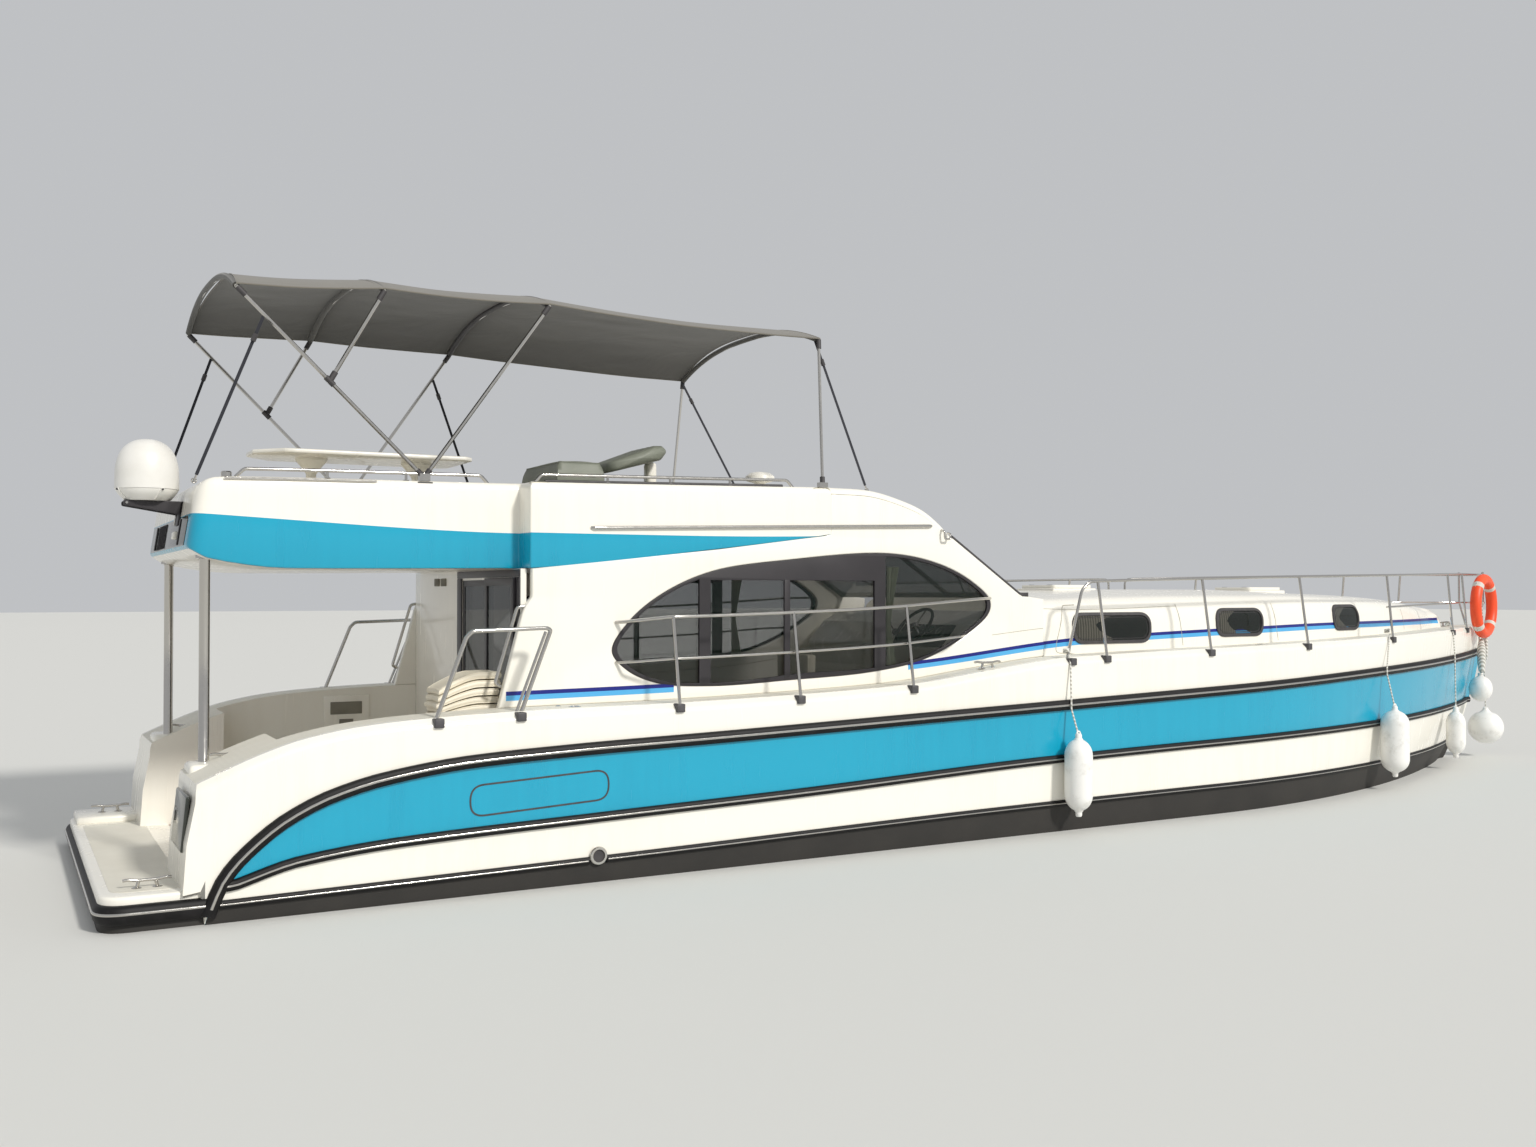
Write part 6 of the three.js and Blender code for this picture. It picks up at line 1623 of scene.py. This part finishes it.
fittings, straps = [], []
for side in (-1, 1):
    foot, fore_foot = Vector((-5.5, side * 1.12, 2.655)), Vector((-2.55, side * 1.32, 2.7))
    head = on_bow(BOWS[0], side)
    branch = foot.lerp(head, 0.52)
    for a, b, places in ((foot, head, (0.02, 0.52, 0.975)), (foot, on_bow(BOWS[2], side), (0.02, 0.975)),
                         (branch, on_bow(BOWS[1], side), (0.05, 0.95)),
                         (fore_foot, on_bow(BOWS[3], side), (0.03, 0.975))):
        for share in places:
            way = (b - a).normalized()
            middle = a.lerp(b, share)
            fittings.append(tube([middle - way * 0.035, middle + way * 0.035], 0.019, sides=12))
    for block_foot in (foot, fore_foot):
        fittings.append(rounded_box(block_foot - Vector((0.05, 0.03, 0.042)),
                                    block_foot + Vector((0.05, 0.03, -0.03)), 0.004))
    strut_mid = foot.lerp(head, 0.86)
    straps.append((strut_mid, Vector((-6.9, side * 1.02, 2.575))))
    front_foot = Vector((-2.07, side * 1.2, 2.683)) if side < 0 else Vector((-1.8, 1.18, 2.615))
    straps.append((on_bow(BOWS[3], side * 0.985) + Vector((-0.02, 0, -0.01)), front_foot))
# One more strap hangs from the strut to the third bow, on the port side, where the loop ended.
straps.append((foot.lerp(on_bow(BOWS[2], 1), 0.83), Vector((-4.4, 1.3, 2.655))))
strap_shapes = []
for top, foot in straps:
    way = (foot - top).normalized()
    flat = way.cross(Vector((0, 1, 0))).normalized()
    thin = way.cross(flat)
    rings = []
    length = (foot - top).length
    for share in np.linspace(0, 1, 24):
        p = top.lerp(foot, share * (1 - 0.05 / length))
        rings.append([p + flat * 0.01 + thin * 0.0015, p - flat * 0.01 + thin * 0.0015,
                      p - flat * 0.01 - thin * 0.0015, p + flat * 0.01 - thin * 0.0015])
    strap_shapes.append(lofted(rings))
    eye_place = foot - way * 0.05
    strap_shapes.append(tube([eye_place, foot], 0.006, 1, sides=8))
    strap_shapes.append(placed(ring_of(0.014, 0.004, 1, steps=24, sides=8), frame_of(thin, flat), foot - way * 0.012))
    buckle = top.lerp(foot, 0.14)
    strap_shapes.append(tube([buckle - way * 0.025, buckle + way * 0.025], 0.016, 2, sides=8))
make("canopy_frame_jaws", fittings, [seal_rubber])
make("canopy_straps", strap_shapes, [webbing, stainless, seal_rubber])

# The rails: bent stainless tube, welded to stanchions that stand in blocks of grey nylon at the deck's
# edge. The port bow rail has a gate, where its bars turn down into two stanchions.
nylon = finished("moulded_grey_nylon", "#3a393c", ("#302f33", "#5c5a5b"),
                 ("Noise", {"Scale": 25.0, "Detail": 6.0}), roughness=0.5, ior=1.53)


def rail_y(x):
    """The line of the starboard stanchions, a little inside the deck's edge."""
    return 0.05 - side_at(x, deck_height(x) - 0.02)


def over_deck(marks):
    """Points of a bar from (x, height over the deck) marks, on the line of the stanchions."""
    return [(x, rail_y(x), deck_height(x) + up) for x, up in marks]


def stanchion(x, height, lean):
    """A stanchion of the starboard rail and its nylon block at the deck's edge."""
    slope = math.atan2(rail_y(x + 0.05) - rail_y(x - 0.05), 0.1)
    foot = Vector((x, -side_at(x, deck_height(x) - 0.05) - 0.002, deck_height(x) - 0.03))
    block = placed(rounded_box((-0.031, -0.02, -0.03), (0.031, 0.05, 0.028), 0.007, 1), Matrix.Rotation(slope, 3, "Z"),
                   foot)
    if not height:
        return [block]
    return [block, tube([foot, foot + Vector((0, 0.012, 0.06)), (x - lean, rail_y(x), deck_height(x) + height)], 0.012)]


side_rail_shapes = [
    tube([(-4.24, -1.362, 1.695), (-4.15, -1.5, 1.708)] + over_deck([(x, eased([(-3.925, 0.585), (-1.995, 0.59)], x))
         for x in np.linspace(-3.925, -1.995, 12)]) + [(-1.25, -1.52, 1.85), (-1.0, -1.362, 1.855)], 0.012, bend=0.09),
    tube([(-4.24, -1.362, 1.42), (-4.15, -1.5, 1.43)] + over_deck([(x, eased([(-3.918, 0.3), (-1.99, 0.31)], x))
         for x in np.linspace(-3.918, -1.99, 12)]) + [(-1.42, -1.52, 1.56), (-1.26, -1.362, 1.565)], 0.01, bend=0.09),
]
for x in (-3.91, -2.96, -1.98):
    side_rail_shapes += stanchion(x, 0.59, 0.015)
PULPIT = [(7.0, -0.25), (7.25, -0.15), (7.37, -0.06), (7.385, 0.0)]
bar_up, bar_foot = 0.605, [(-0.418, 0.0), (-0.26, 0.54), (-0.18, 0.6), (-0.09, 0.605)]
fore_bar = over_deck([(6.18, 0.604), (6.5, 0.603)]) + [(x, y, 2.115) for x, y in PULPIT]
bow_shapes = [
    tube(over_deck([(x, eased([(4.05, 0.29), (5.0, 0.29), (6.5, 0.28)], x)) for x in np.linspace(4.05, 6.5, 16)])
         + [(x, y, 1.79) for x, y in PULPIT], 0.01, bend=0.09),
    tube([(7.25, -0.06, 1.5), (7.25, -0.15, 1.79), (7.25, -0.15, 2.115)], 0.012, bend=0.05),
    turned([(0.001, 0.0), (0.012, 0.0), (0.016, 0.012), (0.012, 0.026), (0.001, 0.03)], (7.25, -0.15, 2.12), sides=14),
] + stanchion(-0.43, 0, 0)
for x in (-0.06, 1.13, 2.45, 4.05, 5.85, 6.5):
    bow_shapes += stanchion(x, 0.605, 0.03 if x < 4 else 0.0)
whole_bar = tube(over_deck(bar_foot + [(x, bar_up) for x in np.linspace(0.1, 5.85, 36)]) + fore_bar, 0.012, bend=0.09)
gate_bars = [
    tube(over_deck(bar_foot + [(x, bar_up) for x in np.linspace(0.1, 2.8, 18)] + [(2.93, 0.6), (2.93, 0.0)]),
         0.012, bend=0.09),
    tube(over_deck([(3.14, 0.0), (3.14, 0.6)] + [(x, bar_up) for x in np.linspace(3.28, 5.85, 17)]) + fore_bar,
         0.012, bend=0.09),
]
gate_blocks = stanchion(2.93, 0, 0) + stanchion(3.14, 0, 0)
hoop_shapes = [
    tube([(-5.56, -1.63, 1.11), (-5.365, -1.61, 1.615), (-5.325, -1.61, 1.655), (-4.83, -1.61, 1.67), (-4.8, -1.6, 1.655),
          (-5.01, -1.62, 1.12)], 0.014, bend=0.05),
    tube([(-4.835, -1.6, 1.645), (-5.045, -1.62, 1.12)], 0.01),
]
for x in (-5.56, -5.03):
    hoop_shapes += stanchion(x, 0, 0)
make("side_rail_stb_tubes", side_rail_shapes, [stainless, nylon], replaces=["side_rail_stb"])
make("side_rail_port_tubes", [mirror(s) for s in side_rail_shapes], [stainless, nylon], replaces=["side_rail_port"])
make("bow_rail_stb_tubes", [whole_bar] + bow_shapes, [stainless, nylon], replaces=["bow_rail_stb"])
make("bow_rail_port_tubes", [mirror(s) for s in gate_bars + gate_blocks + bow_shapes], [stainless, nylon],
     replaces=["bow_rail_port"])
make("boarding_hoop_stb_tubes", hoop_shapes, [stainless, nylon], replaces=["boarding_hoop_stb"])
make("boarding_hoop_port_tubes", [mirror(s) for s in hoop_shapes], [stainless, nylon], replaces=["boarding_hoop_port"])

# Fenders: blow-moulded white vinyl, scuffed grey where they rub, each on a twisted white line. Two round
# ones hang beside the stem.
fender_vinyl = finished("blow_moulded_white_vinyl", "#f4f3ee", ("#f5f4f0", "#b9b5ab"),
                        ("Noise", {"Scale": 9.0, "Detail": 9.0, "Roughness": 0.65}),
                        spread={"From Min": 0.52, "From Max": 0.78, "To Max": 0.6}, gloss=(0.25, 0.6),
                        roughness=0.35, ior=1.53)
# The strands of the rope turn once in 20 mm. They shade it and stand out from it.
strands = ("Wave", {"bands_direction": "DIAGONAL", "Scale": 16.0})
white_rope = finished("twisted_white_polyester_rope", "#e9e8e2", ("#f1f0ea", "#aba89c"), strands,
                      relief=(*strands, 0.6, 0.003), roughness=0.8, ior=1.5, sheen_weight=0.3)

# Columns: place, radius, lower end, length of the body, and the foot of the rail that holds the line.
FENDERS = {"fender_mid": (-0.49, 0.11, 0.135, 0.61, -0.43), "fender_bow": (3.81, 0.13, 0.13, 0.64, 4.05),
           "fender_fore": (5.79, 0.097, 0.125, 0.5, 5.85)}
for name, (x, radius, low, length, foot_x) in FENDERS.items():
    rail_z = eased(LOWER_RAIL, x)
    slant = math.hypot(1, (side_at(x - 0.05, rail_z) - side_at(x + 0.05, rail_z)) / 0.1)
    y = -(side_at(x, rail_z) + (0.032 + radius - 0.009) * slant)
    half = [(0.001, 0.0), (0.02, 0.001), (0.026, 0.012), (0.026, 0.034), (0.034, 0.044)]
    half += [(radius * math.sin(a), 0.044 + 0.13 * (1 - math.cos(a))) for a in np.linspace(0.35, 1.5708, 9)]
    top = [(r, length + 0.045 - h) for r, h in reversed(half)]
    body = turned(half + top, (x, y, low), 0, sides=36)
    over = eased(UPPER_RAIL, x)
    edge = (x + foot_x) / 2
    line = [(x, y, low + length + 0.03), (x, -(side_at(x, over) + 0.052 * slant), over - 0.03),
            (x, -(side_at(x, over) + 0.052 * slant), over + 0.03),
            (edge, -(side_at(edge, deck_height(edge) - 0.05) + 0.009 * slant), deck_height(edge) - 0.03),
            (foot_x, rail_y(foot_x) - 0.03, deck_height(foot_x) + 0.022)]
    eye_ring = placed(ring_of(0.017, 0.006, 0, steps=24, sides=8), frame_of((0, 1, 0), (1, 0, 0)),
                      (x, y, low + length + 0.045))
    knot = [placed(ring_of(0.021, 0.007, 1, steps=24, sides=8), frame_of((0.1 * k, 0.2, 1), (1, 0, 0)),
                   (foot_x, rail_y(foot_x), deck_height(foot_x) + 0.045 + 0.011 * k)) for k in range(3)]
    make(f"{name}_dressed", [body, eye_ring, tube(line, 0.007, 1, sides=10, bend=0.04), *knot],
         [fender_vinyl, white_rope], replaces=[name])
for name, (x, y, z), radius, tall, rail_at, coil in (
    ("ball_fender_low", (7.21, -0.2, 0.34), 0.19, 1.0, (7.21, -0.166), (1.12, 1.5, 0.02)),
    ("ball_fender_high", (7.0, -0.28, 0.8), 0.124, 1.2, (7.0, -0.25), (0.98, 1.38, 0.045)),
):
    rounds = [(max(radius * math.sin(a), 0.001), -radius * tall * math.cos(a)) for a in np.linspace(0, 2.55, 22)]
    neck = [(radius * 0.32, radius * tall * 0.92), (radius * 0.2, radius * tall * 1.05), (0.03, radius * tall * 1.1),
            (0.028, radius * tall * 1.2), (0.001, radius * tall * 1.22)]
    line = [(x, y, z + radius * tall * 1.15), (*rail_at, 1.79)]
    coil_low, coil_high, coil_half = coil
    coil_tall = coil_high - coil_low
    bundle = turned([(0.001, 0.0), (coil_half * 0.7, 0.02), (coil_half, coil_tall * 0.3), (coil_half, coil_tall * 0.7),
                     (coil_half * 0.6, coil_tall - 0.02), (0.001, coil_tall)], (x, y - 0.012, coil_low), 1, sides=16)
    knot = [placed(ring_of(0.018, 0.007, 1, steps=20, sides=8), frame_of((1, 0.1 * k, 0), (0, 1, 0)),
                   (rail_at[0] + 0.012 * (k - 1), rail_at[1], 1.79)) for k in range(3)]
    ball = turned(rounds + neck, (x, y, z), 0, sides=40)
    make(f"{name}_dressed", [ball, tube(line, 0.007, 1, sides=10), bundle, *knot],
         [fender_vinyl, white_rope], replaces=[name])

# The lifebuoy: an orange moulded shell with four pale reflecting bands and a grab line round it.
buoy_orange = finished("moulded_orange_polyethylene", "#f5420f", ("#f23c0a", "#ff6433"),
                       ("Noise", {"Scale": 4.0, "Detail": 5.0}),
                       relief=("Voronoi", {"Scale": 130.0}, 0.2, 0.001), roughness=0.45, ior=1.5)
band_tape = tape("reflecting_band_tape", "#e4e2da", "#c8c5ba")
turn = math.radians(18)
buoy_axes = frame_of((-math.sin(turn), math.cos(turn), 0), (math.cos(turn), math.sin(turn), 0))
buoy_place = (7.0, -0.326, 1.75)
buoy_shapes = [placed(ring_of(0.31, 0.0598, 0, steps=96, sides=20), buoy_axes, buoy_place)]
for k in range(4):
    middle = math.pi / 4 + k * math.pi / 2
    buoy_shapes.append(placed(ring_of(0.31, 0.0612, 1, middle - 0.09, middle + 0.09, 8, 20), buoy_axes, buoy_place))
    loop = []
    for s in np.linspace(0, 1, 13):
        angle = middle + s * math.pi / 2
        reach = 0.3705 - 0.03 * math.sin(math.pi * s)
        loop.append(Vector((reach * math.cos(angle), reach * math.sin(angle), 0.03 * math.sin(math.pi * s))))
    buoy_shapes.append(placed(tube(loop, 0.006, 2, sides=8), buoy_axes, buoy_place))
make("lifebuoy_dressed", buoy_shapes, [buoy_orange, band_tape, white_rope], replaces=["lifebuoy"])


# Stainless fittings on the deck: cleats with two horns, fillers, the stem band and the exhaust's outlet.
def cleat(centre, turn=0.0):
    axes = Matrix.Rotation(turn, 3, "Z")
    horn = [(-0.13, 0, 0.05), (-0.1, 0, 0.054), (-0.05, 0, 0.046), (0.05, 0, 0.046), (0.1, 0, 0.054), (0.13, 0, 0.05)]
    parts = [tube(horn, 0.009, sides=12, bend=0.08)]
    for x in (-0.045, 0.045):
        parts.append(tube([(x * 1.25, 0, 0.0), (x, 0, 0.046)], 0.01, sides=12))
        parts.append(turned([(0.001, 0.0), (0.028, 0.0), (0.028, 0.005), (0.016, 0.01), (0.001, 0.01)],
                            (x * 1.25, 0, 0), sides=20))
    return [placed(s, axes, centre) for s in parts]


deck_fittings = []
for x, y, z, turn in ((-1.14, -1.5, deck_height(-1.14), 0.03), (-1.14, 1.5, deck_height(-1.14), -0.03),
                      (6.65, 0.0, deck_height(6.65), 1.571), (-7.18, 1.4, 0.25, 0.0), (-7.18, -1.42, 0.2, 0.0),
                      (-6.68, -1.06, 0.859, 0.3), (-6.68, 1.06, 0.859, -0.3)):
    deck_fittings += cleat((x, y, z - 0.001), turn)
for x, y, radius in ((-4.68, -1.42, 0.02), (-4.6, -1.52, 0.042), (-4.6, 1.52, 0.042), (2.0, -1.45, 0.042)):
    deck_fittings.append(turned([(0.001, 0.0), (radius, 0.0), (radius, 0.004), (radius * 0.7, 0.006),
                                 (radius * 0.68, 0.003), (0.001, 0.003)], (x, y, deck_height(x) - 0.001), sides=28))
stem_rows = []
for z in np.linspace(0.7, 1.185, 14):
    nose_x = stem_at(lambda x: z)
    stem_rows.append([Vector((nose_x + out, y, z)) for out, y in
                      ((-0.01, -0.03), (0.004, -0.022), (0.008, 0), (0.004, 0.022), (-0.01, 0.03))])
deck_fittings.append(lofted(stem_rows))
make("deck_fittings", deck_fittings, [stainless])
exhaust = [turned([(0.058, 0.012), (0.06, -0.002), (0.056, -0.008), (0.042, -0.008), (0.04, 0.012)],
                  (-4.5, -1.692, 0.178), 0, "y", 32),
           turned([(0.001, 0.004), (0.041, 0.004), (0.041, 0.006), (0.001, 0.006)], (-4.5, -1.692, 0.178), 1, "y", 32)]
make("exhaust_outlet", exhaust, [stainless, seal_rubber])
panel_turn = Matrix.Rotation(math.radians(5.5), 3, "Y")
make("transom_locker_door", [
    placed(rounded_box((-0.012, -0.24, -0.16), (0.012, 0.24, 0.16), 0.008), panel_turn, (-6.992, -1.3, 0.56)),
    placed(rounded_box((-0.018, 0.17, -0.03), (-0.01, 0.2, 0.03), 0.004, 1), panel_turn, (-6.992, -1.3, 0.56)),
], [smoked_panel, stainless])

# The windscreen's two wipers: black painted arms on spindles in the foot of the frame.
wiper_shapes = []
for y, tip in ((-0.62, -0.95), (0.62, 0.95)):
    foot = Vector((-0.695, y, 1.9))
    head = Vector((-1.08, tip, 2.168))
    wiper_shapes += [tube([foot, foot + Vector((-0.01, 0, 0.03)), head], 0.007, sides=8, bend=0.01),
                     turned([(0.001, -0.01), (0.022, -0.01), (0.02, 0.012), (0.001, 0.014)], foot, sides=16),
                     tube([head + Vector((0.2, -0.06 * (1 if y > 0 else -1), -0.14)), head + Vector((-0.14, 0.0, 0.093))],
                          0.006, sides=8)]
make("windscreen_wipers", wiper_shapes, [seal_rubber])

# Under water: a cast bronze propeller and a steel rudder blade under antifouling. The engine is a block
# in grey enamel inside the hull.
bronze = finished("cast_bronze", "#b08d57", ("#b9935a", "#6d6a4a"), ("Noise", {"Scale": 16.0, "Detail": 7.0}),
                  roughness=0.35, metallic=1.0)
enamel = finished("grey_engine_enamel", "#7c8286", ("#858b8f", "#4b4d4d"), ("Noise", {"Scale": 8.0, "Detail": 6.0}),
                  roughness=0.4, ior=1.5)
for carried, finish in (("propeller", bronze), ("rudder", antifouling), ("engine_block", enamel)):
    refinished(carried, finish)
